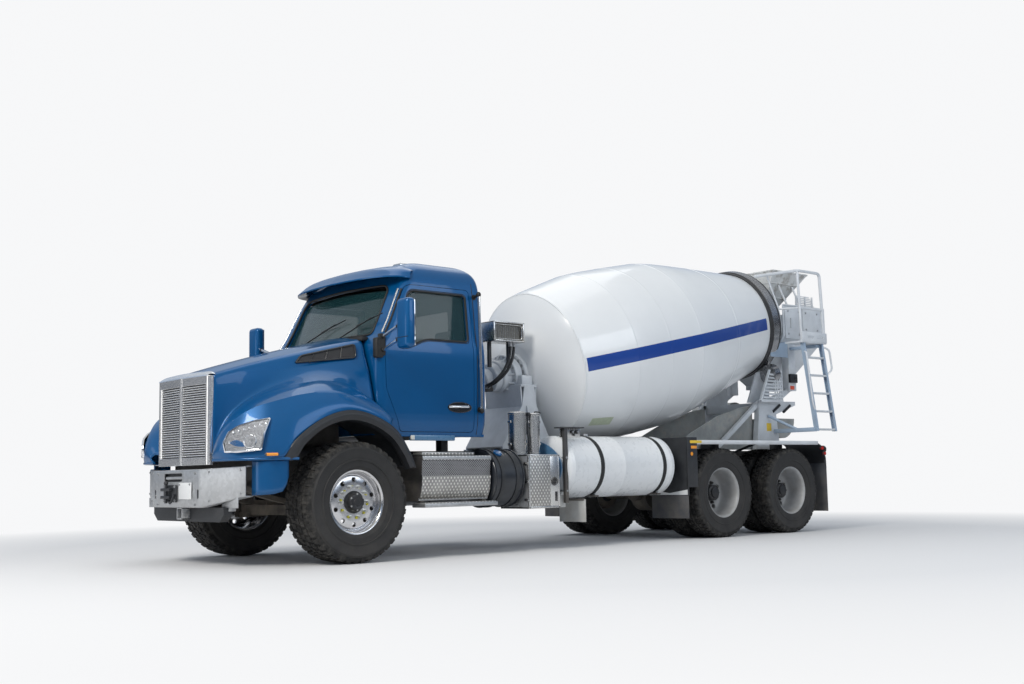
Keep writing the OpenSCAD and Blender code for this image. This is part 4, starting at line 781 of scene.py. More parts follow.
class MIXER_OT_wheels(MixerOperator, bpy.types.Operator):
    """Polished front rims, steel twin rims, hubs, lug nuts and brake drums"""

    bl_idname = "mixer.wheels"
    bl_label = "Rims and hubs"

    LUGS = 10
    LUG_CIRCLE = 0.143

    def ring(self, bm, centre, radius, along, count, make, start=0.0):
        """Calls make at each place of a ring round the axle."""
        for i in range(count):
            a = start + 2 * math.pi * i / count
            make(bm, centre + Vector((along, radius * math.sin(a), radius * math.cos(a))), a)

    def lug(self, bm, place, a, marked=True):
        rod(bm, place, place + Vector((0.006, 0, 0)), 0.0215, 2, 20)
        rod(bm, place + Vector((0.006, 0, 0)), place + Vector((0.03, 0, 0)), 0.0165, 2, 6)
        rod(bm, place + Vector((0.03, 0, 0)), place + Vector((0.04, 0, 0)), 0.0105, 2, 12)
        if marked:
            out = Vector((0, math.sin(a), math.cos(a)))
            over = Vector((0, math.cos(a), -math.sin(a)))
            tip = place + Vector((0.008, 0, 0)) + out * 0.002 + over * 0.034
            foot = place + Vector((0.008, 0, 0)) + over * 0.014
            plate(bm, [foot + out * 0.016, tip, foot - out * 0.016], 0.006, 3)

    def drilled(self, made, side, centre, radius, along, count, size):
        """Cuts the hand holes through a rim; side is 1 for the truck's left."""
        centre = Vector((centre.x * side, centre.y, centre.z))
        along *= side
        holes = bmesh.new()
        reach = Vector((0.06, 0, 0))
        self.ring(holes, centre, radius, along, count,
            lambda bm, place, a: rod(bm, place - reach, place + reach, size, 0, 24))
        bmesh.ops.recalc_face_normals(holes, faces=holes.faces)
        return carve(made, holes)

    def front(self, word, side):
        low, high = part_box("tyre_front_" + word)
        centre = Vector((abs(low[0] + high[0]) / 2, (low[1] + high[1]) / 2, (low[2] + high[2]) / 2))
        f = (high[0] - low[0]) * 0.4
        rim = [(0.096, 0.112), (0.17, 0.1135), (0.23, 0.111), (0.24, 0.106), (0.246, 0.094), (0.251, 0.087),
            (0.256, 0.088), (0.261, 0.098), (0.266, 0.12), (0.272, f - 0.02), (0.279, f - 0.006),
            (0.288, f - 0.001), (0.296, f - 0.001), (0.2985, f - 0.005), (0.2985, f - 0.012),
            (0.29, f - 0.017), (0.2865, f - 0.03), (0.2865, 0.03 - f), (0.298, 0.012 - f),
            (0.2985, 0.005 - f), (0.294, 0.001 - f), (0.28, 0.004 - f), (0.268, 0.03 - f), (0.264, 0.04),
            (0.256, 0.062), (0.244, 0.078), (0.232, 0.087), (0.17, 0.09), (0.096, 0.09)]
        bm = bmesh.new()
        turned(bm, rim, centre, (1, 0, 0), 120)
        made = piece("front_rim_" + word, bm, "front_%s_wheel" % word, ["polished"], ["rim_front_" + word],
            side=side)
        self.drilled(made, side, centre, 0.205, 0.1, self.LUGS, 0.0215)
        bm = bmesh.new()
        turned(bm, [(0.0, 0.174), (0.03, 0.174), (0.034, 0.17), (0.056, 0.17), (0.06, 0.173),
            (0.07, 0.1715), (0.079, 0.164), (0.083, 0.15), (0.087, 0.13), (0.096, 0.122), (0.103, 0.1185),
            (0.104, 0.113), (0.0955, 0.112), (0.0955, 0.06), (0.125, 0.05), (0.125, -0.0075),
            (0.047, -0.0075)], centre, (1, 0, 0), 72, 0, False)
        self.ring(bm, centre, 0.071, 0.168, 6, lambda b, place, a: bolt(b, place, (1, 0, 0), 0.006, 2))
        self.ring(bm, centre, self.LUG_CIRCLE, 0.1125, self.LUGS, self.lug, math.pi / 10)
        piece("front_hub_" + word, bm, "front_%s_wheel" % word,
            ["hub_black", "axle_cast", "lug_steel", "lug_yellow"], smooth=40, side=side)

    def twin(self, axle, word, side):
        low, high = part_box("tyres_drive_%s_%s" % (axle, word))
        inner, outer = min(abs(low[0]), abs(high[0])), max(abs(low[0]), abs(high[0]))
        centre = Vector(((inner + outer) / 2, (low[1] + high[1]) / 2, (low[2] + high[2]) / 2))
        d, f = -(outer - inner - DRIVE_WIDTH) / 2, DRIVE_WIDTH * 0.4
        rim = [(0.109, d + 0.015), (0.19, d + 0.016), (0.226, d + 0.021), (0.244, d + 0.034),
            (0.255, d + 0.058), (0.261, d + 0.1), (0.265, 0.0), (0.268, f - 0.034), (0.277, f - 0.012),
            (0.289, f - 0.001), (0.296, f - 0.001), (0.2985, f - 0.005), (0.2985, f - 0.011),
            (0.29, f - 0.016), (0.2865, f - 0.03), (0.2865, 0.03 - f), (0.298, 0.01 - f),
            (0.2985, 0.005 - f), (0.295, 0.001 - f), (0.284, 0.002 - f), (0.274, -0.006 - f),
            (0.268, d + 0.04), (0.258, d + 0.016), (0.24, d + 0.004), (0.109, d + 0.002)]
        body = "drive_%s_%s_wheels" % (axle, word)
        bm = bmesh.new()
        for way in (1, -1):
            turned(bm, rim, centre + Vector((-way * d, 0, 0)), (way, 0, 0), 96)
        made = piece("twin_rims_%s_%s" % (axle, word), bm, body, ["rim_grey"],
            ["rims_drive_%s_%s" % (axle, word)], side=side)
        self.drilled(made, side, centre, 0.205, 0.0, self.LUGS // 2, 0.03)
        bm = bmesh.new()
        turned(bm, [(0.0, 0.164), (0.058, 0.164), (0.064, 0.16), (0.066, 0.146), (0.088, 0.142),
            (0.094, 0.136), (0.096, 0.11), (0.099, 0.06), (0.108, 0.03), (0.1085, -0.1795),
            (0.047, -0.1795)], centre, (1, 0, 0), 64, 0, False)
        turned(bm, [(0.1095, -0.1795), (0.185, -0.1795), (0.1995, -0.165), (0.1995, -0.03), (0.19, -0.0205),
            (0.1095, -0.0205)], centre, (1, 0, 0), 64, 1)
        self.ring(bm, centre, 0.078, 0.142, 8, lambda b, place, a: bolt(b, place, (1, 0, 0), 0.008, 2))
        self.ring(bm, centre, self.LUG_CIRCLE, 0.0165, self.LUGS,
            lambda b, place, a: self.lug(b, place, a, False))
        piece("twin_hubs_%s_%s" % (axle, word), bm, body, ["hub_black", "axle_cast", "lug_dark"], smooth=40,
            side=side)

    def build(self, context):
        for side, word in SIDES:
            self.front(word, side)
            for axle in ("1", "2"):
                self.twin(axle, word, side)


def rail(*points):
    """Points told as (x, behind the front axle, z), in the frame's own place."""
    return [at(*p) for p in points]


def web(bm, rails, across, along, out, mat=0, bulge=(0, 0, 0)):
    """A smooth skin over several long lines, bulging between the first and the last."""
    rings = {}

    def place(u, v):
        key = round(v * along)
        if key not in rings:
            rings[key] = [curve_point(line, key / along) for line in rails]
        spot = curve_point(rings[key], u)
        return spot + Vector(bulge) * math.sin(math.pi * u)

    return sheet(bm, across, along, place, out, mat)


HOOD_CREASE = rail((0.53, -1.106, 1.014), (0.55, -1.066, 1.166), (0.572, -1.01, 1.297),
    (0.61, -0.92, 1.409), (0.66, -0.816, 1.494), (0.74, -0.615, 1.583), (0.84, -0.39, 1.648),
    (0.9, -0.2, 1.68), (0.955, 0.08, 1.64), (0.98, 0.335, 1.5))
FENDER_CREST = rail((0.6, -1.14, 1.03), (0.69, -1.138, 1.14), (0.78, -1.1, 1.25), (0.86, -1.016, 1.345),
    (0.93, -0.906, 1.418), (1.0, -0.775, 1.464), (1.06, -0.524, 1.532), (1.1, -0.253, 1.566),
    (1.12, -0.038, 1.544), (1.14, 0.324, 1.407), (1.145, 0.44, 1.32))
ARCH_LIP = rail((0.6, -1.145, 0.958), (0.8, -1.135, 0.958), (0.95, -1.075, 0.958), (1.08, -0.945, 0.958),
    (1.155, -0.83, 0.958), (1.18, -0.765, 0.965), (1.185, -0.634, 1.127), (1.185, -0.36, 1.3),
    (1.185, -0.077, 1.378), (1.185, 0.182, 1.338), (1.18, 0.4, 1.235))
LIP_OUTER = rail((1.165, -0.775, 0.945), (1.19, -0.634, 1.135), (1.19, -0.36, 1.318), (1.19, -0.077, 1.396),
    (1.19, 0.182, 1.356), (1.19, 0.448, 1.222), (1.19, 0.6, 1.02), (1.19, 0.675, 0.865))
LIP_INNER = rail((1.19, -0.64, 0.945), (1.195, -0.545, 1.085), (1.195, -0.33, 1.238),
    (1.195, -0.077, 1.305), (1.195, 0.165, 1.268), (1.195, 0.39, 1.15), (1.195, 0.53, 0.985),
    (1.195, 0.6, 0.855))


class MIXER_OT_hood(MixerOperator, bpy.types.Operator):
    """Sloped hood with its creases, fenders, arch flares, side vents and markers"""

    bl_idname = "mixer.hood"
    bl_label = "Hood"

    def skin(self):
        crown = rail((0, -1.09, 1.768), (0, -0.7, 1.889), (0, -0.2, 2.03), (0, 0.335, 2.17))
        inner = rail((0.25, -1.09, 1.764), (0.27, -0.7, 1.884), (0.33, -0.2, 2.022), (0.42, 0.335, 2.158))
        shoulder = rail((0.455, -1.09, 1.747), (0.5, -0.7, 1.862), (0.6, -0.2, 1.988), (0.73, 0.335, 2.118))
        edge = rail((0.495, -1.09, 1.722), (0.545, -0.7, 1.832), (0.65, -0.2, 1.952), (0.785, 0.335, 2.08))
        cheek = rail((0.508, -1.09, 1.64), (0.565, -0.7, 1.74), (0.68, -0.2, 1.85), (0.825, 0.335, 1.97))
        flank = rail((0.52, -1.1, 1.33), (0.585, -0.75, 1.55), (0.755, -0.24, 1.755), (0.9, 0.335, 1.78))
        bm = bmesh.new()
        web(bm, [crown, inner, shoulder], 14, 60, (0, -0.2, 1))
        web(bm, [shoulder, edge, cheek], 8, 60, (1, -0.2, 0.6))
        web(bm, [cheek, flank, HOOD_CREASE], 16, 60, (1, -0.3, 0.2))
        web(bm, [HOOD_CREASE, FENDER_CREST], 8, 60, (0.3, -0.4, 1), bulge=(0, -0.004, 0.014))
        web(bm, [FENDER_CREST, ARCH_LIP], 14, 60, (1, -0.6, 0), bulge=(0.022, -0.02, 0.004))
        weld(bm)
        return bm

    def build(self, context):
        bm = self.skin()
        mirrored(bm)
        weld_middle(bm)
        piece("hood_panels", bm, "hood_body", ["cab_blue"], ["hood"], smooth=24, wall=0.012)

        # Ledge under the lamps
        bm = bmesh.new()
        for side in (1, -1):
            line = [curve_point(ARCH_LIP, t * 0.047) for t in range(11)]
            pipe(bm, [Vector((side * p.x, p.y + 0.006, 0.956)) for p in line], 0.014)
        piece("hood_ledges", bm, "hood_body", ["cab_blue"], smooth=50)

        # Flares round the wheel arches: a rounded band with a rolled inner edge
        bm = bmesh.new()
        back = [p + Vector((-0.1, 0, -0.01)) for p in LIP_INNER]
        rim = [mix(a, b, 0.5) + Vector((0.02, 0, 0.004)) for a, b in zip(LIP_OUTER, LIP_INNER)]
        web(bm, [LIP_OUTER, rim, LIP_INNER], 8, 64, (1, 0, 0.2))
        web(bm, [LIP_INNER, back], 3, 64, (-0.2, 0, -1))
        weld(bm)
        mirrored(bm)
        piece("arch_flares", bm, "hood_body", ["black_plastic"], ["hood_flares"], smooth=50, wall=0.01)

        # Liner inside the arch
        bm = bmesh.new()
        outer = [p + Vector((-0.06, 0, 0.02)) for p in LIP_INNER]
        inward = [Vector((0.56, p.y, p.z + 0.03)) for p in LIP_INNER]
        web(bm, [outer, inward], 6, 40, (0, 0, -1))
        mirrored(bm)
        piece("arch_liners", bm, "hood_body", ["black_plastic"], smooth=50, wall=0.006)

        # Side vents: a dark mesh in a raised frame, on the hood's flank
        bm = bmesh.new()
        corners = rail((0.64, -0.335, 1.838), (0.634, -0.262, 1.928), (0.79, 0.245, 2.052),
            (0.818, 0.24, 1.925))
        out = (corners[2] - corners[0]).cross(corners[1] - corners[0]).normalized()
        out = out if out.x > 0 else -out
        loop = rounded([corners[3]] + corners + [corners[0]], 0.03)[6:-1]
        lifted = [p + out * 0.01 for p in loop]
        pipe(bm, lifted + [lifted[0]], 0.009, sides=10)
        face = bm.faces.new([bm.verts.new(p + out * 0.006) for p in loop])
        face.normal_update()
        if face.normal.dot(out) < 0:
            face.normal_flip()
        face.material_index = 1
        for i in range(1, 4):
            t = i / 4
            rod(bm, mix(corners[0], corners[3], t) + out * 0.01,
                mix(corners[1], corners[2], t) + out * 0.01, 0.004, sides=8)
        mirrored(bm)
        piece("hood_vents", bm, "hood_body", ["black_gloss", "vent_mesh"], smooth=50)

        # Amber side markers in chrome bezels
        bm = bmesh.new()
        for side in (1, -1):
            a, b = at(side * 1.163, -0.925, 0.993), at(side * 1.188, -0.825, 0.993)
            rod(bm, a, b, 0.014)
            ball(bm, a, 0.014, mat=1)
            ball(bm, b, 0.014, mat=1)
        piece("side_markers", bm, "hood_body", ["amber", "black_gloss"], smooth=50)


class MIXER_OT_lamps(MixerOperator, bpy.types.Operator):
    """Headlamps: dark bowl, chrome reflectors and a clear lens"""

    bl_idname = "mixer.lamps"
    bl_label = "Headlamps"

    OUTLINE = [(0.8, -1.145, 1.016), (0.812, -1.15, 1.11), (0.85, -1.122, 1.195), (0.9, -1.052, 1.252),
        (0.98, -0.945, 1.294), (1.065, -0.815, 1.318), (1.108, -0.9, 1.18), (1.11, -0.93, 1.028),
        (0.96, -1.085, 1.01)]

    def build(self, context):
        outline = rail(*self.OUTLINE)
        middle = sum(outline, Vector()) / len(outline)
        out = Vector((0.62, -0.76, 0.18)).normalized()
        loop = rounded(outline + outline[:2], 0.02, 3)[1:-4]
        for side, word in SIDES:
            bm = bmesh.new()
            rings = []
            for inset, lift in ((0.0, 0.004), (0.0, 0.016), (0.05, 0.024)):
                rings.append([p + (middle - p) * inset + out * lift for p in loop])
            rings.append([p + (middle - p) * 0.09 + out * 0.012 for p in loop])
            verts = [[bm.verts.new(p) for p in ring] for ring in rings]
            edges = [[bm.edges.new((a, b)) for a, b in zip(row, row[1:] + row[:1])] for row in verts]
            for a, b in zip(edges, edges[1:]):
                bmesh.ops.bridge_loops(bm, edges=a + b)
            bmesh.ops.recalc_face_normals(bm, faces=bm.faces)
            # Bowl behind the lens
            bowl = bmesh.ops.contextual_create(bm, geom=edges[-1])["faces"]
            for face in bowl:
                face.material_index = 1
            # Two reflectors and a strip of small cells along the top
            for spot, r in (((0.885, -1.075, 1.095), 0.044), ((1.005, -0.985, 1.105), 0.054)):
                centre = at(*spot) + out * 0.012
                turned(bm, [(r, 0.016), (r + 0.006, 0.014), (r + 0.006, 0.0), (0.001, -0.004), (0.001, 0.0),
                    (r * 0.6, 0.002), (r * 0.92, 0.01)], centre, out, steps=32)
                ball(bm, centre + out * 0.006, r * 0.55, mat=2)
            for i in range(7):
                t = i / 6
                a = mix(at(0.885, -1.085, 1.188), at(1.055, -0.862, 1.262), t) + out * 0.018
                ball(bm, a, 0.013)
            pipe(bm, [at(0.835, -1.128, 1.02) + out * 0.02, at(0.965, -1.072, 1.022) + out * 0.02,
                at(1.085, -0.945, 1.036) + out * 0.02], 0.01)
            piece("headlamp_%s" % word, bm, "hood_body", ["chrome", "lamp_bowl", "lamp_glass"],
                ["headlamps"] if side > 0 else [], smooth=40, side=side)
            # Clear cover
            bm = bmesh.new()
            cover = [p + (middle - p) * 0.02 + out * 0.024 for p in loop]
            face = bm.faces.new([bm.verts.new(p) for p in cover])
            bmesh.ops.inset_region(bm, faces=[face], thickness=0.03, depth=0.012)
            bm.normal_update()
            if sum(f.normal.dot(out) for f in bm.faces) < 0:
                bmesh.ops.reverse_faces(bm, faces=bm.faces)
            piece("headlamp_cover_%s" % word, bm, "hood_body", ["lamp_glass"], smooth=60, side=side)


class MIXER_OT_grille(MixerOperator, bpy.types.Operator):
    """Polished grille surround with its divider, crown, and fine slats"""

    bl_idname = "mixer.grille"
    bl_label = "Grille"

    def build(self, context):
        slats = context.scene.mixer_sizes.slats
        bm = bmesh.new()
        half, edge = 0.503, 0.062
        front, back = -1.158, -1.092
        low, high = 0.918, 1.725

        def face_at(x):
            # The two halves fold back a little from the divider
            return front + 0.018 * abs(x) / half

        # Side posts, rounded at the front
        for side in (1, -1):
            outline = [(side * (half + 0.008), AXLE_Y + back)]
            for i in range(9):
                a = math.pi / 2 * i / 8
                outline.append((side * (half + 0.008 - 0.034 * (1 - math.cos(a))),
                    AXLE_Y + face_at(half) + 0.034 * (1 - math.sin(a)) - 0.006))
            outline += [(side * (half - edge), AXLE_Y + face_at(half) + 0.004),
                (side * (half - edge), AXLE_Y + back)]
            outline = outline if side > 0 else outline[::-1]
            prism(bm, outline, "z", low, high)
        # Bottom rail and the crown, whose top sweeps back into the hood
        for side in (1, -1):
            for z0, z1 in ((low, low + 0.07), (high - 0.075, high)):
                outline = [(0, AXLE_Y + front - 0.004), (side * (half - 0.03),
                    AXLE_Y + face_at(half) - 0.004), (side * (half - 0.03), AXLE_Y + back),
                    (0, AXLE_Y + back)]
                prism(bm, outline if side > 0 else outline[::-1], "z", z0, z1)
        sheet(bm, 30, 10, lambda u, v: self.crown(mix(-half, half, u), v, half, face_at), (0, -0.5, 1))
        # Divider
        prism(bm, [(-0.026, AXLE_Y + front), (-0.016, AXLE_Y + front - 0.01),
            (0.016, AXLE_Y + front - 0.01), (0.026, AXLE_Y + front), (0.026, AXLE_Y + back),
            (-0.026, AXLE_Y + back)], "z", low, high + 0.004)
        # Slats
        top, bottom = high - 0.08, low + 0.076
        pitch = (top - bottom) / slats
        for side in (1, -1):
            x0, x1 = side * 0.03, side * (half - edge - 0.002)
            for i in range(slats):
                z = bottom + pitch * (i + 0.5)
                a, b = at(x0, face_at(x0) + 0.016, z), at(x1, face_at(x1) + 0.016, z)
                made = bmesh.ops.create_cone(bm, cap_ends=True, segments=6, radius1=0.0072, radius2=0.0072,
                    depth=(b - a).length, matrix=Matrix.Translation((a + b) / 2) @ aim(b - a))
                bmesh.ops.scale(bm, vec=(1, 1.6, 1), verts=made["verts"],
                    space=Matrix.Translation(-(a + b) / 2))
                for face in faces_at(made["verts"]):
                    face.material_index = 2
        # Dark core behind the slats
        block(bm, at(-half + edge, back - 0.012, bottom - 0.01),
            at(half - edge, back - 0.002, top + 0.01), 1)
        piece("grille_frame", bm, "hood_body", ["grille_bright", "vent_mesh", "grille_bright"], ["grille"],
            smooth=30, soften=0.0025)

    def crown(self, x, v, half, face_at):
        """The crown's surface: up from the face and back over the hood's front edge."""
        k = abs(x) / half
        z0, y0 = 1.722, face_at(x) - 0.004
        drop = 0.03 * max(0, (k - 0.8) / 0.2) ** 2
        rise = 0.058 - 0.012 * k * k
        a = math.pi / 2 * v
        return at(x, y0 + 0.075 * (1 - math.cos(a)), z0 + rise * math.sin(a) - drop * v)


# The cab's skin at its heights: z, half width, front at the sides, bow of the front, rear
CAB_LEVELS = [(1.18, 0.985, 0.365, 0.015, 1.7), (1.3, 1.014, 0.365, 0.015, 1.712),
    (1.6, 1.024, 0.365, 0.015, 1.715), (1.95, 1.029, 0.366, 0.015, 1.715),
    (2.06, 1.022, 0.368, 0.015, 1.715), (2.12, 1.01, 0.405, 0.04, 1.715),
    (2.18, 1.001, 0.455, 0.065, 1.714), (2.66, 0.95, 0.7, 0.09, 1.706), (2.78, 0.925, 0.775, 0.095, 1.69),
    (2.85, 0.885, 0.83, 0.095, 1.655), (2.91, 0.8, 0.905, 0.09, 1.59), (2.945, 0.66, 1.02, 0.08, 1.5),
    (2.962, 0.4, 1.18, 0.05, 1.36), (2.965, 0.03, 1.27, 0.004, 1.285)]
CORNER_FRONT = 0.1
CORNER_REAR = 0.075
DOOR_OUTLINE = [(0.462, 2.13), (0.442, 1.95), (0.455, 1.62), (0.6, 1.3), (0.625, 1.215), (1.53, 1.215),
    (1.53, 2.665), (0.79, 2.665), (0.735, 2.64)]
WINDOW_OUTLINE = [(0.64, 2.035), (0.73, 2.045), (0.87, 2.105), (0.96, 2.13), (1.47, 2.13), (1.47, 2.6),
    (0.81, 2.6), (0.765, 2.565)]


def cab_side(z):
    return column(CAB_LEVELS, z, 1)


def cab_front(x, z):
    """How far behind the axle the cab's front lies."""
    half = cab_side(z) - CORNER_FRONT
    return column(CAB_LEVELS, z, 2) - column(CAB_LEVELS, z, 3) * (1 - clamp(abs(x) / half, 0, 1) ** 2)


def cab_ring_point(level, v):
    """A point of half a level section, from the middle of the front round to the middle of the rear."""
    z, half, front, bow, rear = level
    cf = min(CORNER_FRONT, half * 0.5)
    cr = min(CORNER_REAR, half * 0.5)
    if v < 0.3:
        x = (half - cf) * v / 0.3
        return at(x, front - bow * (1 - (x / (half - cf)) ** 2), z)
    if v < 0.42:
        a = math.radians(-90 + 90 * (v - 0.3) / 0.12)
        return at(half - cf + cf * math.cos(a), front + cf + cf * math.sin(a), z)
    if v < 0.72:
        return at(half, mix(front + cf, rear - cr, (v - 0.42) / 0.3), z)
    if v < 0.82:
        a = math.radians(90 * (v - 0.72) / 0.1)
        return at(half - cr + cr * math.cos(a), rear - cr + cr * math.sin(a), z)
    return at((half - cr) * (1 - (v - 0.82) / 0.18), rear, z)


def cab_skin(bm, inset, outward):
    """Half of the cab's skin, set in by a wall's thickness."""
    levels = []
    for z, half, front, bow, rear in CAB_LEVELS:
        drop = inset * clamp((z - 2.66) / 0.25, 0, 1)
        middle = (front + rear) / 2
        levels.append((z - drop, max(half - inset, half * 0.6), min(front + inset, middle - 0.006),
            bow * 0.9, max(rear - inset, middle + 0.006)))
    side = sheet(bm, 66, 100, lambda u, v: curve_point([cab_ring_point(level, v) for level in levels], u))
    facing = sum(face.normal.x * face.calc_area() for face in side)
    if (facing > 0) != outward:
        bmesh.ops.reverse_faces(bm, faces=side)
    for face in side:
        face.material_index = 0 if outward else 1


def cab_shell():
    """The whole cab's skin and its inner lining, closed into one solid wall."""
    bm = bmesh.new()
    cab_skin(bm, 0.0, True)
    cab_skin(bm, 0.032, False)
    mirrored(bm)
    bmesh.ops.remove_doubles(bm, verts=[p for p in bm.verts if abs(p.co.x) < 0.0008], dist=0.0012)

    def lowest(edge):
        return min(v.co.z for v in edge.verts)

    for outside in (True, False):
        top = [e for e in bm.edges if e.is_boundary and lowest(e) > 2.8 and (lowest(e) > 2.95) == outside]
        for face in bmesh.ops.contextual_create(bm, geom=top)["faces"]:
            face.material_index = 0 if outside else 1
    bmesh.ops.bridge_loops(bm, edges=[e for e in bm.edges if e.is_boundary])
    bmesh.ops.recalc_face_normals(bm, faces=bm.faces)
    return bm


def grown(outline, by):
    """A flat outline moved outwards by a distance."""
    out = []
    count = len(outline)
    area = sum(a[0] * b[1] - b[0] * a[1] for a, b in zip(outline, outline[1:] + outline[:1]))
    for i, point in enumerate(outline):
        before, after = Vector(outline[i - 1]), Vector(outline[(i + 1) % count])
        here = Vector(point)
        a, b = (here - before).normalized(), (after - here).normalized()
        normal = Vector((a.y + b.y, -a.x - b.x)).normalized()
        normal = normal if area > 0 else -normal
        fold = max(normal.dot(Vector((a.y, -a.x)) if area > 0 else Vector((-a.y, a.x))), 0.4)
        out.append(tuple(here + normal * (by / fold)))
    return out


def smooth_loop(outline, radius=0.04, steps=4):
    """A flat closed outline with rounded corners."""
    path = [Vector((p[0], p[1], 0)) for p in outline]
    loop = rounded([path[-1]] + path + [path[0]], radius, steps)[1:-1]
    return [(p.x, p.y) for p in loop]


def side_cutter(bm, outline, x0, x1):
    """A prism of a side outline on each side of the cab."""
    spots = side_view(outline)
    prism(bm, spots, "x", x0, x1)
    prism(bm, spots, "x", -x1, -x0)


SCREEN_OUTLINE = [(-0.805, 2.165), (0.805, 2.165), (0.795, 2.3), (0.765, 2.62), (0.7, 2.672), (0, 2.685),
    (-0.7, 2.672), (-0.765, 2.62), (-0.795, 2.3)]


class MIXER_OT_cab(MixerOperator, bpy.types.Operator):
    """Cab panels, doors with their windows and seals, windscreen, floor and trim"""

    bl_idname = "mixer.cab"
    bl_label = "Cab"

    def build(self, context):
        cab = piece("cab_panels", cab_shell(), "chassis", ["cab_blue", "dash_plastic"], ["cab_shell"],
            smooth=30)
        cutter = bmesh.new()
        side_cutter(cutter, smooth_loop(grown(DOOR_OUTLINE, 0.005), 0.05), 0.6, 1.3)
        prism(cutter, smooth_loop(SCREEN_OUTLINE, 0.05), "y", AXLE_Y + 0.2, AXLE_Y + 1.0)
        prism(cutter, smooth_loop([(-0.42, 2.08), (0.42, 2.08), (0.42, 2.52), (-0.42, 2.52)], 0.05), "y",
            AXLE_Y + 1.5, AXLE_Y + 1.9)
        carve(cab, cutter)

        for side, word in SIDES:
            door = piece("door_panel_" + word, cab_shell(), word + "_door", ["cab_blue", "dash_plastic"],
                ["door_" + word], smooth=30)
            keep = bmesh.new()
            spots = side_view(smooth_loop(DOOR_OUTLINE, 0.045))
            prism(keep, spots, "x", *((0.6, 1.3) if side > 0 else (-1.3, -0.6)))
            carve(door, keep, "INTERSECT")
            cutter = bmesh.new()
            side_cutter(cutter, smooth_loop(WINDOW_OUTLINE), 0.6, 1.3)
            carve(door, cutter)

            # Rubber seals round the window
            bm = bmesh.new()
            for by, r, drop in ((0.006, 0.01, 0.0), (0.022, 0.004, 0.002)):
                loop = smooth_loop(grown(WINDOW_OUTLINE, by), 0.045, 5)
                path = [at(cab_side(p[1]) - drop, p[0], p[1]) for p in loop]
                pipe(bm, path + [path[0]], r, sides=10)
            piece("window_seal_" + word, bm, word + "_door", ["rubber"], smooth=60, side=side)

            self.handle(side, word)

        # Windscreen seal
        bm = bmesh.new()
        loop = smooth_loop(grown(SCREEN_OUTLINE, 0.006), 0.055, 5)
        path = []
        for a, b in zip(loop, loop[1:] + loop[:1]):
            count = max(1, int((Vector(b) - Vector(a)).length / 0.12))
            for i in range(count):
                x, z = mix(a[0], b[0], i / count), mix(a[1], b[1], i / count)
                path.append(at(x, cab_front(x, z) - 0.002, z))
        pipe(bm, path + [path[0]], 0.012, sides=10)
        piece("screen_seal", bm, "chassis", ["rubber"], smooth=60)

        # Seams: rear corner seam and the step panel under the door
        bm = bmesh.new()
        for side in (1, -1):
            path = [at(side * (cab_side(z) + 0.0005), 1.58, z)
                for z in (1.19, 1.3, 1.6, 1.95, 2.12, 2.3, 2.5, 2.66, 2.74)]
            pipe(bm, path, 0.0035, sides=8)
        piece("corner_seams", bm, "chassis", ["rubber"], smooth=60)

        bm = bmesh.new()
        for side in (1, -1):
            block(bm, at(side * 0.955, 0.76, 1.128), at(side * 1.0, 1.3, 1.183), round_by=0.008)
            block(bm, at(side * 0.985, 0.755, 1.135), at(side * 1.004, 0.8, 1.178), 1, round_by=0.006)
            block(bm, at(side * 0.93, 0.64, 1.165), at(side * 0.985, 1.69, 1.195), 2, round_by=0.01)
        piece("sill_panels", bm, "chassis", ["sky_blue", "label_pale", "cab_blue"])

        # Floor
        bm = bmesh.new()
        prism(bm, [(-0.95, AXLE_Y + 0.4), (0.95, AXLE_Y + 0.4), (0.95, AXLE_Y + 1.68),
            (-0.95, AXLE_Y + 1.68)], "z", 1.185, 1.235)
        piece("cab_floor_pan", bm, "chassis", ["frame_black"], smooth=30)

    def handle(self, side, word):
        """Oval black cup with a chrome pull."""
        bm = bmesh.new()
        x = cab_side(1.456) + 0.001
        cup = []
        for i in range(32):
            a = 2 * math.pi * i / 32
            squash = 1 if math.sin(a) > 0 else 0.95
            cup.append((1.345 + 0.148 * math.cos(a), 1.458 + 0.052 * math.sin(a) * squash))
        prism(bm, side_view(cup), "x", x - 0.012, x + 0.004)
        rim = [at(x + 0.004, p[0], p[1]) for p in cup]
        pipe(bm, rim + [rim[0]], 0.004, sides=8)
        path = rounded([at(x + 0.002, 1.215, 1.462), at(x + 0.02, 1.235, 1.464), at(x + 0.022, 1.44, 1.466),
            at(x + 0.002, 1.462, 1.466)], 0.02, 4)
        pipe(bm, path, 0.013, mat=1)
        piece("door_handle_" + word, bm, word + "_door", ["black_gloss", "chrome"], smooth=50, side=side)


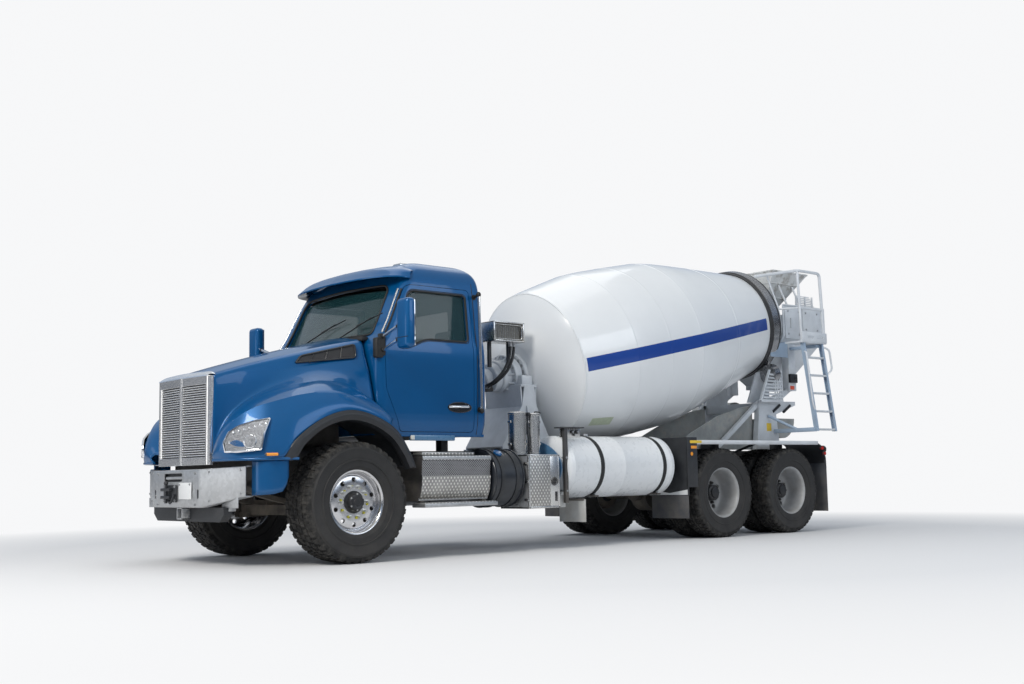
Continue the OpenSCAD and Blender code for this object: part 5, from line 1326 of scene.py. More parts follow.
class MIXER_OT_cab_trim(MixerOperator, bpy.types.Operator):
    """Sun visor, roof lamps and horn, mirrors, pillar trim, wipers and grab bars"""

    bl_idname = "mixer.cab_trim"
    bl_label = "Cab trim"

    def build(self, context):
        # Visor: a long blade that bows forward, dark underneath
        bm = bmesh.new()
        front = rail((0.96, 0.79, 2.745), (0.9, 0.65, 2.752), (0.72, 0.55, 2.757), (0.4, 0.495, 2.761),
            (0, 0.475, 2.763))
        top = rail((0.935, 0.82, 2.805), (0.86, 0.725, 2.822), (0.68, 0.65, 2.846), (0.38, 0.615, 2.862),
            (0, 0.605, 2.868))
        back = rail((0.905, 0.87, 2.822), (0.82, 0.8, 2.862), (0.64, 0.78, 2.89), (0.36, 0.77, 2.906),
            (0, 0.765, 2.912))
        web(bm, [front, top, back], 14, 60, (0, -0.4, 1))
        lip = [p + Vector((0, 0.002, -0.014)) for p in front]
        web(bm, [front, lip], 1, 60, (0, -1, 0))
        web(bm, [lip, [p + Vector((-0.01, -0.02, -0.075)) for p in back]], 6, 60, (0, 0, -1), 1)
        weld(bm)
        mirrored(bm)
        weld_middle(bm)
        piece("visor_blade", bm, "chassis", ["cab_blue", "black_gloss"], ["sun_visor"])

        # Five roof lamps on chrome bases
        bm = bmesh.new()
        for x in (-0.56, -0.3, 0.0, 0.3, 0.56):
            z = 2.952 - 0.1 * x * x
            foot = at(x, 1.055, z - 0.035)
            block(bm, foot + Vector((-0.045, -0.05, 0)), foot + Vector((0.045, 0.05, 0.028)), 1, 0.008)
            ball(bm, foot + Vector((0, -0.005, 0.028)), 0.036, squash=(1, 1.1, 0.75))
        piece("roof_markers", bm, "chassis", ["amber", "chrome"], ["roof_lamps"], smooth=50)

        # Horn box, trumpet and its end bracket on the roof
        bm = bmesh.new()
        block(bm, at(0.33, 1.035, 2.925), at(0.46, 1.155, 2.978), 0, 0.008)
        rod(bm, at(0.4, 1.15, 2.955), at(0.4, 1.62, 2.94), 0.01)
        rod(bm, at(0.36, 1.15, 2.955), at(0.36, 1.62, 2.94), 0.007)
        block(bm, at(0.34, 1.6, 2.885), at(0.45, 1.66, 2.965), 0, 0.006)
        piece("roof_horn", bm, "chassis", ["stainless"], smooth=40)

        for side, word in SIDES:
            self.mirror(side, word)

        # Light trim up each pillar, black cowl ends, wipers
        bm = bmesh.new()
        for side in (1, -1):
            for shift, mat in ((0.0, 0), (0.03, 1)):
                path = []
                for z in (2.17, 2.3, 2.45, 2.62):
                    x = side * (cab_side(z) - 0.052 + shift)
                    path.append(at(x, cab_front(0.95, z) + 0.006 + shift * 0.6, z))
                pipe(bm, path, 0.01, mat=mat, sides=10)
            block(bm, at(side * 0.955, 0.338, 1.915), at(side * 1.026, 0.425, 2.11), 1, 0.015)
            hub = at(side * 0.32, 0.352, 2.15)
            tip = at(side * 0.32 + 0.46, 0.45, 2.33)
            rod(bm, hub, tip, 0.007, 1, sides=8)
            rod(bm, tip + Vector((-0.26, 0.0, -0.055)), tip + Vector((0.16, 0.02, 0.03)), 0.006, 1, sides=8)
            ball(bm, hub, 0.02, mat=1)
        block(bm, at(-0.8, 0.318, 2.095), at(0.8, 0.4, 2.14), 1, 0.01)
        piece("pillar_trim", bm, "chassis", ["stainless", "rubber"], smooth=50)

        bm = bmesh.new()
        for side in (1, -1):
            low = at(side * 1.062, 1.6, 1.43)
            high = at(side * 1.04, 1.6, 2.62)
            pipe(bm, [low, high], 0.0165, 0, 20)
            for z, spot in ((1.44, low), (2.6, high)):
                foot = at(side * (cab_side(z) - 0.004), 1.6, z)
                ball(bm, spot, 0.024, mat=1, squash=(1, 1, 1.25))
                rod(bm, foot, spot, 0.015, 1)
                rod(bm, foot, foot + Vector((side * 0.01, 0, 0)), 0.028, 1)
        piece("side_grab_bars", bm, "chassis", ["chrome", "rubber"], ["grab_bars"], smooth=50)

    def mirror(self, side, word):
        """Tall mirror housing with a glass on its rear face, on two arms with rubber collars."""
        bm = bmesh.new()
        shape = Matrix.Translation(at(1.398, 0.415, 2.21)) @ Matrix.Diagonal((0.192, 0.104, 0.474, 1))
        bmesh.ops.create_cube(bm, size=1, matrix=shape)
        bmesh.ops.bevel(bm, geom=bm.edges[:], offset=0.04, segments=5, profile=0.5, affect="EDGES",
            material=-1)
        bmesh.ops.bisect_plane(bm, geom=bm.verts[:] + bm.edges[:] + bm.faces[:], plane_co=at(0, 0, 2.075),
            plane_no=(0, 0, 1))
        block(bm, at(1.318, 0.455, 2.1), at(1.478, 0.4695, 2.43), 1, 0.004)
        block(bm, at(1.318, 0.455, 1.995), at(1.478, 0.4695, 2.08), 1, 0.004)
        pipe(bm, [at(1.302, 0.363, 2.075), at(1.494, 0.363, 2.075)], 0.003, mat=2, sides=8)
        for z in (2.03, 2.16):
            a, b = at(1.0, 0.412, z - 0.052), at(1.312, 0.412, z + 0.046)
            rod(bm, a, b, 0.017, 1)
            for along in (0.12, 0.88):
                spot = mix(a, b, along)
                turned(bm, [(0.017, -0.012), (0.02, -0.01), (0.02, 0.01), (0.017, 0.012)], spot, b - a,
                    steps=20, mat=2)
        block(bm, at(0.985, 0.375, 1.935), at(1.03, 0.445, 2.15), 2, 0.012)
        piece("mirror_" + word, bm, "chassis", ["cab_blue", "chrome", "rubber"],
            ["mirrors"] if side > 0 else [], side=side)


def drum_at(x, y, s):
    """A place in the drum's own frame: s along its axis from the head's seam, x to the truck's left."""
    turn = Matrix.Rotation(-(math.pi / 2 - DRUM_TILT), 4, "X")
    return DRUM_FOOT + turn @ Vector((x, y, s))


def round_drum(count, r, s):
    """Places all round the drum's axis."""
    turns = [2 * math.pi * i / count for i in range(count)]
    return [drum_at(r * math.cos(a), r * math.sin(a), s) for a in turns]


def skin(bm, rows, out=None, mat=0):
    """Faces between rows of points, all of one length."""
    across, along = len(rows[0]) - 1, len(rows) - 1
    return sheet(bm, across, along, lambda u, v: rows[round(v * along)][round(u * across)], out, mat)


def plate(bm, corners, thick, mat=0, round_by=0.0):
    """A flat plate with any straight-sided outline, thickened along its normal."""
    corners = [Vector(p) for p in corners]
    if round_by:
        corners = rounded([corners[-1]] + corners + [corners[0]], round_by, 4)[1:-1]
    # The plane comes from the first corner and those a third and two thirds of the way round
    first, second = (corners[len(corners) * k // 3] - corners[0] for k in (1, 2))
    normal = first.cross(second).normalized()
    return drawn_out(bm, [p - normal * (thick / 2) for p in corners], normal * thick, mat)


def bolt(bm, place, out, r=0.012, mat=0):
    """A hexagon bolt head on its washer."""
    place, out = Vector(place), Vector(out).normalized()
    rod(bm, place, place + out * 0.003, r * 1.5, mat, 20)
    rod(bm, place + out * 0.003, place + out * (0.003 + r * 0.8), r, mat, 6)


class MIXER_OT_bumper(MixerOperator, bpy.types.Operator):
    """Folded steel bumper with its slot, plate, tow bracket, receiver and the painted ends"""

    bl_idname = "mixer.bumper"
    bl_label = "Bumper"

    PATH = [(0, -1.2), (0.2, -1.2), (0.43, -1.2), (0.462, -1.197), (0.492, -1.188), (0.72, -1.102),
        (0.958, -1.012)]

    def build(self, context):
        bm = bmesh.new()
        for side in (1, -1):
            rows = []
            for x, y in self.PATH:
                t = clamp((x - 0.47) / 0.49, 0, 1)
                low, high = mix(0.535, 0.63, t), mix(0.88, 0.9, t)
                fold = [(0.075, high), (0.012, high), (0.004, high - 0.004), (0.0, high - 0.012),
                    (0.0, mix(high, low, 0.5)), (0.0, low + 0.012), (0.004, low + 0.004), (0.012, low),
                    (0.075, low)]
                rows.append([at(side * x, y + back, z) for back, z in fold])
            skin(bm, rows, (0, -1, 0))
        weld(bm)
        shell = piece("bumper_plate", bm, "chassis", ["galvanised"], ["front_bumper"], smooth=40)
        bm = bmesh.new()
        bm.from_mesh(shell.data)
        bmesh.ops.solidify(bm, geom=bm.faces[:], thickness=0.008)
        bmesh.ops.recalc_face_normals(bm, faces=bm.faces)
        bm.to_mesh(shell.data)
        bm.free()
        cutter = bmesh.new()
        for x0, x1, z0, z1 in ((-0.24, 0.12, 0.772, 0.848), (-0.445, -0.415, 0.615, 0.7),
                (0.415, 0.445, 0.615, 0.7)):
            block(cutter, at(x0, -1.3, z0), at(x1, -1.15, z1), 0, 0.012)
        carve(shell, cutter)

        bm = bmesh.new()
        # A black block behind the slot, painted shade of the hollow there, and the lamp bar
        block(bm, at(-0.3, -1.165, 0.76), at(0.18, -1.15, 0.86))
        rod(bm, at(-0.22, -1.178, 0.805), at(0.1, -1.178, 0.805), 0.016, 2)
        # Blank plate
        block(bm, at(0.078, -1.212, 0.612), at(0.325, -1.206, 0.762), 1, 0.003)
        for x in (0.1, 0.3):
            bolt(bm, at(x, -1.212, 0.745), (0, -1, 0), 0.007, 2)
        # Tow bracket: two jaws on a back plate, with a pin and hook
        block(bm, at(-0.235, -1.212, 0.585), at(0.035, -1.204, 0.742), 0, 0.006)
        for z in (0.7, 0.63):
            block(bm, at(-0.215, -1.255, z - 0.014), at(-0.035, -1.208, z + 0.014), 0, 0.006)
        rod(bm, at(-0.125, -1.238, 0.575), at(-0.125, -1.238, 0.76), 0.014)
        ball(bm, at(-0.125, -1.238, 0.76), 0.022)
        pipe(bm, rounded([at(-0.1, -1.225, 0.6), at(-0.04, -1.24, 0.57), at(0.0, -1.24, 0.6),
            at(0.01, -1.225, 0.66)], 0.02, 4), 0.01)
        for x, z in ((-0.2, 0.6), (0.0, 0.6), (-0.2, 0.727), (0.0, 0.727)):
            bolt(bm, at(x, -1.212, z), (0, -1, 0), 0.008, 2)
        for x, z in ((-0.38, 0.845), (-0.38, 0.565), (0.38, 0.845), (0.38, 0.565)):
            bolt(bm, at(x, -1.2, z), (0, -1, 0), 0.01, 2)
        for side in (1, -1):
            for x, z in ((0.56, 0.595), (0.9, 0.66), (0.9, 0.865), (0.56, 0.855)):
                y = mix(-1.162, -1.034, (x - 0.56) / 0.34)
                bolt(bm, at(side * x, y, z), (side * 0.36, -0.93, 0), 0.009, 2)
        # Cross member under the bumper, its end plates and the receiver
        prism(bm, [(-0.7, 0.535), (0.7, 0.535), (0.7, 0.47), (0.62, 0.405), (-0.62, 0.405), (-0.7, 0.47)],
            "y", AXLE_Y - 1.085, AXLE_Y - 1.0)
        for side in (1, -1):
            block(bm, at(side * 0.6, -1.05, 0.53), at(side * 0.89, -1.04, 0.622), 3, 0.004)
            block(bm, at(side * 0.7, -1.04, 0.5), at(side * 0.715, -0.97, 0.66), 3, 0.004)
        for low, high in (((-0.055, 0.425), (-0.042, 0.535)), ((0.042, 0.425), (0.055, 0.535)),
                ((-0.055, 0.425), (0.055, 0.438)), ((-0.055, 0.522), (0.055, 0.535))):
            block(bm, at(low[0], -1.165, low[1]), at(high[0], -0.965, high[1]), 3, 0.003)
        piece("bumper_fittings", bm, "chassis", ["black_plastic", "plate_white", "galvanised",
            "galvanised"], smooth=40)

        # Painted ends that reach round to the arches
        bm = bmesh.new()
        for side in (1, -1):
            rows = []
            for x, y, low in ((0.972, -0.958, 0.64), (1.04, -0.935, 0.64), (1.1, -0.895, 0.643),
                    (1.145, -0.83, 0.65), (1.163, -0.76, 0.67), (1.164, -0.725, 0.72), (1.164, -0.7, 0.8)):
                rows.append([at(side * x, y, mix(0.94, low, t)) for t in (0, 0.04, 0.3, 0.6, 0.85, 1.0)])
            skin(bm, rows, (side, -1, 0))
        piece("bumper_end_panels", bm, "chassis", ["cab_blue"], ["bumper_ends"], smooth=60, wall=0.008)


class MIXER_OT_side_gear(MixerOperator, bpy.types.Operator):
    """Cab steps, round tank, toolbox and upright cylinders"""

    bl_idname = "mixer.side_gear"
    bl_label = "Steps, tank and toolbox"

    def steps(self):
        bm = bmesh.new()
        for side in (1, -1):
            # Casing: flat top lip, dark perforated riser, bright tread plate that curves in under
            section = [(0.6, 0.978), (1.138, 0.978), (1.146, 0.974), (1.15, 0.964), (1.15, 0.935)]
            ys = [0.78, 0.8, 1.3, 1.615, 1.635]
            riser = [(1.15, 0.935), (1.141, 0.93), (1.136, 0.85), (1.132, 0.79), (1.138, 0.782)]
            lower = [(1.138, 0.782), (1.142, 0.776), (1.135, 0.7), (1.118, 0.62), (1.085, 0.56),
                (1.05, 0.54), (0.6, 0.54)]
            back = [(0.6, 0.54), (0.6, 0.978)]
            for line, out, mat in ((section, (side, 0, 1), 0), (riser, (side, 0, 0), 1),
                    (lower, (side, 0, -0.5), 0), (back, (-side, 0, 0), 2)):
                skin(bm, [[at(side * x, y, z) for x, z in line] for y in ys], out, mat)
            ends = section + riser[1:] + lower[1:]
            for y, way in ((0.78, -1), (1.635, 1)):
                face = bm.faces.new([bm.verts.new(at(side * x, y, z)) for x, z in ends])
                face.normal_update()
                if face.normal.y * way < 0:
                    face.normal_flip()
                face.material_index = 2
            # Bright edge strips
            for z in (0.955, 0.56):
                inset = 0.0 if z > 0.8 else 0.072
                block(bm, at(side * (1.146 - inset), 0.778, z - 0.014),
                    at(side * (1.156 - inset), 1.637, z + 0.014), 3, 0.004)
            # Low rail with its hangers, and the strip under the cab
            block(bm, at(side * 1.02, 0.742, 0.482), at(side * 1.234, 1.648, 0.52), 3, 0.008)
            block(bm, at(side * 1.045, 0.755, 0.516), at(side * 1.215, 1.635, 0.526), 0, 0.002)
            for y in (0.8, 1.57):
                block(bm, at(side * 1.03, y, 0.515), at(side * 1.075, y + 0.05, 0.6), 2, 0.004)
            block(bm, at(side * 0.96, 0.8, 0.985), at(side * 1.115, 1.45, 1.012), 0, 0.005)
            for y in (0.9, 1.48):
                block(bm, at(side * 0.432, y, 0.82), at(side * 0.62, y + 0.06, 0.9), 2, 0.005)
        piece("step_boxes", bm, "chassis", ["tread_plate", "perforated", "frame_black", "galvanised"],
            ["cab_steps"])

    def tanks(self):
        bm = bmesh.new()
        for side, y0, y1 in ((1, 1.662, 2.058), (-1, 1.662, 2.958)):
            r = 0.3 if side > 0 else 0.308
            centre = at(side * 0.9, y0, 0.75)
            long = y1 - y0
            turned(bm, [(0.0, 0.004), (r * 0.86, 0.0), (r - 0.02, 0.006), (r - 0.012, 0.014), (r, 0.016),
                (r, 0.03), (r - 0.01, 0.034), (r - 0.01, long - 0.034), (r, long - 0.03), (r, long - 0.016),
                (r - 0.012, long - 0.014), (r - 0.02, long - 0.006), (r * 0.86, long), (0.0, long - 0.004)],
                centre, (0, 1, 0), 72, 0, False)
            spots = (y0 + 0.1, y1 - 0.1) if side > 0 else (y0 + 0.2, (y0 + y1) / 2, y1 - 0.2)
            for y in spots:
                turned(bm, [(r - 0.012, -0.022), (r - 0.001, -0.022), (r - 0.001, 0.022),
                    (r - 0.012, 0.022)], at(side * 0.9, y, 0.75), (0, 1, 0), 64, 2)
                block(bm, at(side * 0.43, y - 0.035, 0.68), at(side * 0.66, y + 0.035, 0.82), 2, 0.006)
            # Filler cap
            out = Vector((side * 0.55, 0, 0.83))
            foot = at(side * 0.9, y0 + 0.13, 0.75) + out * (r - 0.012)
            turned(bm, [(0.0, 0.03), (0.04, 0.03), (0.047, 0.024), (0.047, 0.01), (0.038, 0.008),
                (0.038, -0.01)], foot, out, 32, 1, False)
        piece("round_tanks", bm, "chassis", ["tank_black", "cab_blue", "black_plastic"], ["side_tanks"])

    def toolbox(self):
        bm = bmesh.new()
        wall = 0.018
        x0, x1, y0, y1, z0, z1 = 0.76, 1.1885, 2.085, 2.52, 0.43, 0.985
        for low, high in (((x0, y0, z0), (x1, y1, z0 + wall)), ((x0, y0, z1 - wall), (x1, y1, z1)),
                ((x0, y0, z0), (x1, y0 + wall, z1)), ((x0, y1 - wall, z0), (x1, y1, z1)),
                ((x0, y0, z0), (x0 + wall, y1, z1))):
            block(bm, at(*low), at(*high), 0, 0.003)
        for z in (0.52, 0.705, 0.89):
            rod(bm, at(1.214, 2.0835, z - 0.014), at(1.214, 2.0835, z + 0.014), 0.0078, 1)
            block(bm, at(1.15, 2.07, z - 0.014), at(1.212, 2.0815, z + 0.014), 1, 0.002)
        block(bm, at(0.432, 2.21, 0.8), at(0.765, 2.39, 0.88), 2, 0.006)
        piece("toolbox_body", bm, "chassis", ["galvanised", "stainless", "frame_black"], ["toolbox"])

        bm = bmesh.new()
        block(bm, at(1.1908, 2.0845, 0.433), at(1.208, 2.517, 0.982), 0, 0.004)
        # Folded border, smooth band and hinge line
        for low, high in (((2.086, 0.434), (2.106, 0.981)), ((2.497, 0.434), (2.516, 0.981)),
                ((2.086, 0.434), (2.516, 0.452)), ((2.086, 0.963), (2.516, 0.981))):
            block(bm, at(1.203, *low), at(1.2125, *high), 1, 0.003)
        block(bm, at(1.205, 2.385, 0.452), at(1.2105, 2.498, 0.963), 1, 0.002)
        for a, b in ((0.436, 0.503), (0.537, 0.688), (0.722, 0.873), (0.907, 0.979)):
            rod(bm, at(1.214, 2.0835, a), at(1.214, 2.0835, b), 0.0078, 1)
        # Round latch in a black cup, with a small blank plate
        turned(bm, [(0.0, 0.003), (0.026, 0.003), (0.03, 0.009), (0.04, 0.0125), (0.045, 0.01),
            (0.046, 0.0)], at(1.2085, 2.44, 0.705), (1, 0, 0), 40, 2, False)
        block(bm, at(1.2115, 2.412, 0.699), at(1.2205, 2.468, 0.711), 2, 0.003)
        block(bm, at(1.209, 2.448, 0.5), at(1.2125, 2.484, 0.6), 2, 0.002)
        piece("toolbox_front", bm, "toolbox_lid", ["tread_plate", "stainless", "black_gloss"],
            ["toolbox_door"])

    def cylinders(self):
        bm = bmesh.new()
        for x, y, r, top in ((0.88, 2.23, 0.099, 1.44), (0.9, 2.44, 0.074, 1.43)):
            base = 0.986
            long = top - base
            turned(bm, [(0.0, 0.0), (r, 0.0), (r, 0.02), (r - 0.004, 0.024), (r - 0.004, long - 0.03),
                (r, long - 0.026), (r, long - 0.01), (r - 0.012, long), (0.0, long + 0.001)],
                at(x, y, base), (0, 0, 1), 48, 0, False)
            for z in (1.1, 1.335):
                turned(bm, [(r - 0.004, -0.012), (r + 0.004, -0.012), (r + 0.004, 0.012),
                    (r - 0.004, 0.012)], at(x, y, z), (0, 0, 1), 48, 2)
                block(bm, at(x - 0.02, y - r - 0.014, z - 0.012),
                    at(x + 0.02, y - r + 0.002, z + 0.012), 2, 0.003)
        # Black valve and pull between the two
        rod(bm, at(0.915, 2.343, 1.2), at(0.915, 2.343, 1.43), 0.011, 1)
        block(bm, at(0.895, 2.33, 1.395), at(0.945, 2.36, 1.435), 1, 0.006)
        pipe(bm, rounded([at(0.92, 2.44, 1.42), at(0.925, 2.44, 1.443), at(0.935, 2.5, 1.44),
            at(0.94, 2.512, 1.425)], 0.01, 4), 0.007, 1)
        pipe(bm, rounded([at(0.92, 2.343, 1.21), at(0.93, 2.35, 1.1), at(0.935, 2.34, 0.99)], 0.03, 4),
            0.009, 1)
        piece("upright_cylinders", bm, "chassis", ["stainless", "black_plastic", "stainless"],
            ["canisters"], smooth=40)

    def build(self, context):
        self.steps()
        self.tanks()
        self.toolbox()
        self.cylinders()


class MIXER_OT_water_tank(MixerOperator, bpy.types.Operator):
    """Domed water tank with straps, cradles, fittings and the control post"""

    bl_idname = "mixer.water_tank"
    bl_label = "Water tank"

    def build(self, context):
        r, x, z = 0.335, 0.87, 0.855
        y0, y1 = 2.622, 4.418
        bm = bmesh.new()
        outline = []
        for i in range(13):
            a = math.pi / 2 * i / 12
            outline.append((r * math.sin(a), (y0 + 0.105) - 0.105 * math.cos(a)))
        outline += [(r, y0 + 0.13), (r + 0.0015, y0 + 0.134), (r + 0.0015, y0 + 0.144), (r, y0 + 0.148)]
        outline += [(r, 3.52), (r + 0.0012, 3.524), (r + 0.0012, 3.534), (r, 3.538)]
        outline += [(r, y1 - 0.148), (r + 0.0015, y1 - 0.144), (r + 0.0015, y1 - 0.134), (r, y1 - 0.13)]
        for i in range(13):
            a = math.pi / 2 * (1 - i / 12)
            outline.append((r * math.sin(a), (y1 - 0.105) + 0.105 * math.cos(a)))
        turned(bm, outline, at(x, 0, z), (0, 1, 0), 96, 0, False)
        for y in (3.17, 4.165):
            turned(bm, [(r - 0.004, -0.028), (r + 0.004, -0.027), (r + 0.0055, 0.0), (r + 0.004, 0.027),
                (r - 0.004, 0.028)], at(x, y, z), (0, 1, 0), 96, 1)
            # Saddle, hanger and tightening bolt under each strap
            prism(bm, [(AXLE_Y + y - 0.045, 0.6), (AXLE_Y + y + 0.045, 0.6), (AXLE_Y + y + 0.045, 0.53),
                (AXLE_Y + y - 0.045, 0.53)], "x", 0.45, 1.02, 2)
            block(bm, at(0.432, y - 0.05, 0.55), at(0.47, y + 0.05, 0.98), 2, 0.004)
            rod(bm, at(1.06, y + 0.02, 0.54), at(1.03, y + 0.02, 0.585), 0.01, 3)
            block(bm, at(1.0, y - 0.03, 0.526), at(1.1, y + 0.03, 0.545), 2, 0.004)
        # Fittings on top
        for y, h in ((3.04, 0.035), (3.24, 0.05)):
            turned(bm, [(0.0, h), (0.03, h), (0.034, h - 0.006), (0.034, 0.004), (0.05, 0.0),
                (0.05, -0.02)], at(x, y, z + r - 0.024), (0, 0, 1), 28, 3, False)
        pipe(bm, rounded([at(x, 3.24, z + r - 0.02), at(x, 3.24, z + r + 0.0), at(x, 2.95, z + r - 0.002),
            at(x, 2.8, z + r - 0.01)], 0.02, 4), 0.012, 1)
        piece("tank_shell", bm, "chassis", ["tank_white", "rubber", "frame_black", "galvanised"],
            ["water_tank"], smooth=30)

        # A sky-blue sheet over the front dome of the white tank, which paints the dome's shade and sky
        # reflection; then the post with its control plate, and the small pale box below
        bm = bmesh.new()
        shield = [at(0.6 + 0.56 * math.sin(math.pi * i / 24), 2.6,
            0.845 - 0.31 * math.cos(math.pi * i / 24)) for i in range(25)]
        plate(bm, shield, 0.01)
        block(bm, at(1.125, 2.645, 0.475), at(1.165, 2.69, 1.27), 1, 0.004)
        block(bm, at(1.1, 2.63, 1.165), at(1.112, 2.93, 1.275), 4, 0.004)
        block(bm, at(1.05, 2.6, 1.262), at(1.17, 2.935, 1.276), 1, 0.003)
        for y, z, size in ((2.8, 1.225, 0.02), (2.87, 1.225, 0.02), (2.83, 1.195, 0.013)):
            rod(bm, at(1.112, y, z), at(1.128, y, z), size, 1, 20)
            rod(bm, at(1.128, y, z), at(1.14, y, z), size * 0.5, 3, 12)
        for z in (0.6, 0.95):
            rod(bm, at(0.98, 2.665, z), at(1.13, 2.665, z), 0.01, 3, 12)
            bolt(bm, at(1.165, 2.668, z), (1, 0, 0), 0.008, 3)
        block(bm, at(0.98, 2.59, 0.43), at(1.1, 2.7, 0.56), 2, 0.006)
        block(bm, at(0.78, 2.905, 0.265), at(1.19, 2.913, 0.505), 2, 0.003)
        block(bm, at(0.44, 2.895, 0.492), at(1.17, 2.922, 0.515), 1, 0.003)
        block(bm, at(1.0, 2.61, 0.555), at(1.06, 2.66, 0.6), 1, 0.004)
        piece("tank_post", bm, "chassis", ["sky_blue", "frame_black", "flap_pale", "galvanised",
            "stainless"])


class MIXER_OT_drum(MixerOperator, bpy.types.Operator):
    """Drum with its weld seams, dished head, rim, mouth, hatch and track ring"""

    bl_idname = "mixer.drum"
    bl_label = "Drum"

    # Outline along the axis: distance, radius
    OUTLINE = [(0.0, 0.877), (0.02, 0.889), (0.3, 0.9455), (0.6, 0.999), (0.745, 1.022), (0.9, 1.034),
        (1.1, 1.04), (1.3, 1.042), (1.6, 1.043), (1.87, 1.041), (2.05, 1.023), (2.4, 0.964), (2.9, 0.868),
        (3.3, 0.789), (3.67, 0.714)]
    SEAMS = (0.745, 1.31, 1.88, 2.78)

    def radius(self, s):
        return column(self.OUTLINE, s, 1)

    def on_skin(self, s, turn, lift):
        """A place on the drum's skin, or a little above it, turned about its axis."""
        r = self.radius(s) + lift
        return drum_at(r * math.cos(turn), r * math.sin(turn), s)

    def build(self, context):
        axis = drum_at(0, 0, 1) - drum_at(0, 0, 0)
        foot = drum_at(0, 0, 0)
        spots = [round(0.02 + i * 0.03, 4) for i in range(122)]
        outer = []
        for s in spots:
            if s < 3.665 and min(abs(s - seam) for seam in self.SEAMS) > 0.02:
                outer.append((self.radius(s), s))
        for seam in self.SEAMS:
            r = self.radius(seam)
            outer += [(r, seam - 0.012), (r + 0.0012, seam - 0.007), (r + 0.0025, seam),
                (r + 0.0012, seam + 0.007), (r, seam + 0.012)]
        outer.sort(key=lambda p: p[1])
        # Head: shallow dish with the welded rim round it
        head = [(0.0, -0.262), (0.3, -0.262), (0.335, -0.256), (0.36, -0.24), (0.5, -0.19), (0.66, -0.12),
            (0.78, -0.06), (0.85, -0.02), (0.872, -0.004), (0.88, -0.006), (0.886, 0.0), (0.884, 0.008),
            (0.8835, 0.012)]
        neck = [(0.714, 3.67), (0.712, 3.92), (0.655, 4.02), (0.56, 4.105), (0.548, 4.118), (0.538, 4.122),
            (0.528, 4.116), (0.53, 4.08), (0.625, 4.0), (0.69, 3.91), (0.698, 3.66)]
        inner = [(r - 0.014, s) for r, s in reversed(outer[2:-1])][::4]
        last = [(0.858, 0.02), (0.6, -0.105), (0.3, -0.235), (0.0, -0.238)]
        bm = bmesh.new()
        turned(bm, head + outer[1:] + neck, foot, axis, 160, 0, False)
        turned(bm, neck[-1:] + inner + last, foot, axis, 96, 1, False)
        piece("drum_shell", bm, "mixing_drum", ["drum_white", "chute_steel"], ["drum"], smooth=30)

        # Hub flange, bolts and the inspection hatch
        bm = bmesh.new()
        turned(bm, [(0.0, -0.3), (0.2, -0.3), (0.215, -0.292), (0.225, -0.268), (0.225, -0.258),
            (0.0, -0.258)], foot, axis, 64, 0, False)
        for spot in round_drum(16, 0.18, -0.3):
            bolt(bm, spot, -axis, 0.013, 1)
        hatch = 2.35
        turn = math.radians(200)
        r = self.radius(hatch)
        for low, high, lift, mat in ((-0.26, 0.26, 0.004, 0), (-0.22, 0.22, 0.016, 0)):
            rows = []
            for i in range(13):
                s = hatch + mix(low, high, i / 12)
                rows.append([self.on_skin(s, turn + mix(low, high, j / 12) / r, lift) for j in range(13)])
            skin(bm, rows, None, mat)
        for i, j in ((-0.24, -0.24), (0.24, -0.24), (-0.24, 0.24), (0.24, 0.24), (0, 0.24), (0, -0.24),
                (0.24, 0), (-0.24, 0)):
            spot = self.on_skin(hatch + i, turn + j / r, 0.004)
            bolt(bm, spot, spot - drum_at(0, 0, hatch + i), 0.014, 1)
        # Blank pale label low on the near side
        rows = []
        for i in range(9):
            s = mix(0.2, 0.51, i / 8)
            rows.append([self.on_skin(s, mix(0.79, 0.92, j / 4), 0.0015) for j in range(5)])
        skin(bm, rows, (1, 0, -0.5), 2)
        piece("drum_fittings", bm, "mixing_drum", ["drum_white", "galvanised", "label_green"])

        # Track ring: bright running face between dark shoulders
        bm = bmesh.new()
        turned(bm, [(0.7, 3.672), (0.728, 3.676), (0.732, 3.7), (0.732, 3.722), (0.7415, 3.728),
            (0.7415, 3.852), (0.732, 3.858), (0.732, 3.885), (0.728, 3.905), (0.7, 3.908)], foot, axis, 144)
        for face in bm.faces:
            along = (face.calc_center_median() - foot).dot(axis)
            face.material_index = 1 if 3.728 < along < 3.852 else 0
        piece("track_ring", bm, "mixing_drum", ["ring_dark", "ring_steel"], ["drum_ring"], smooth=30)


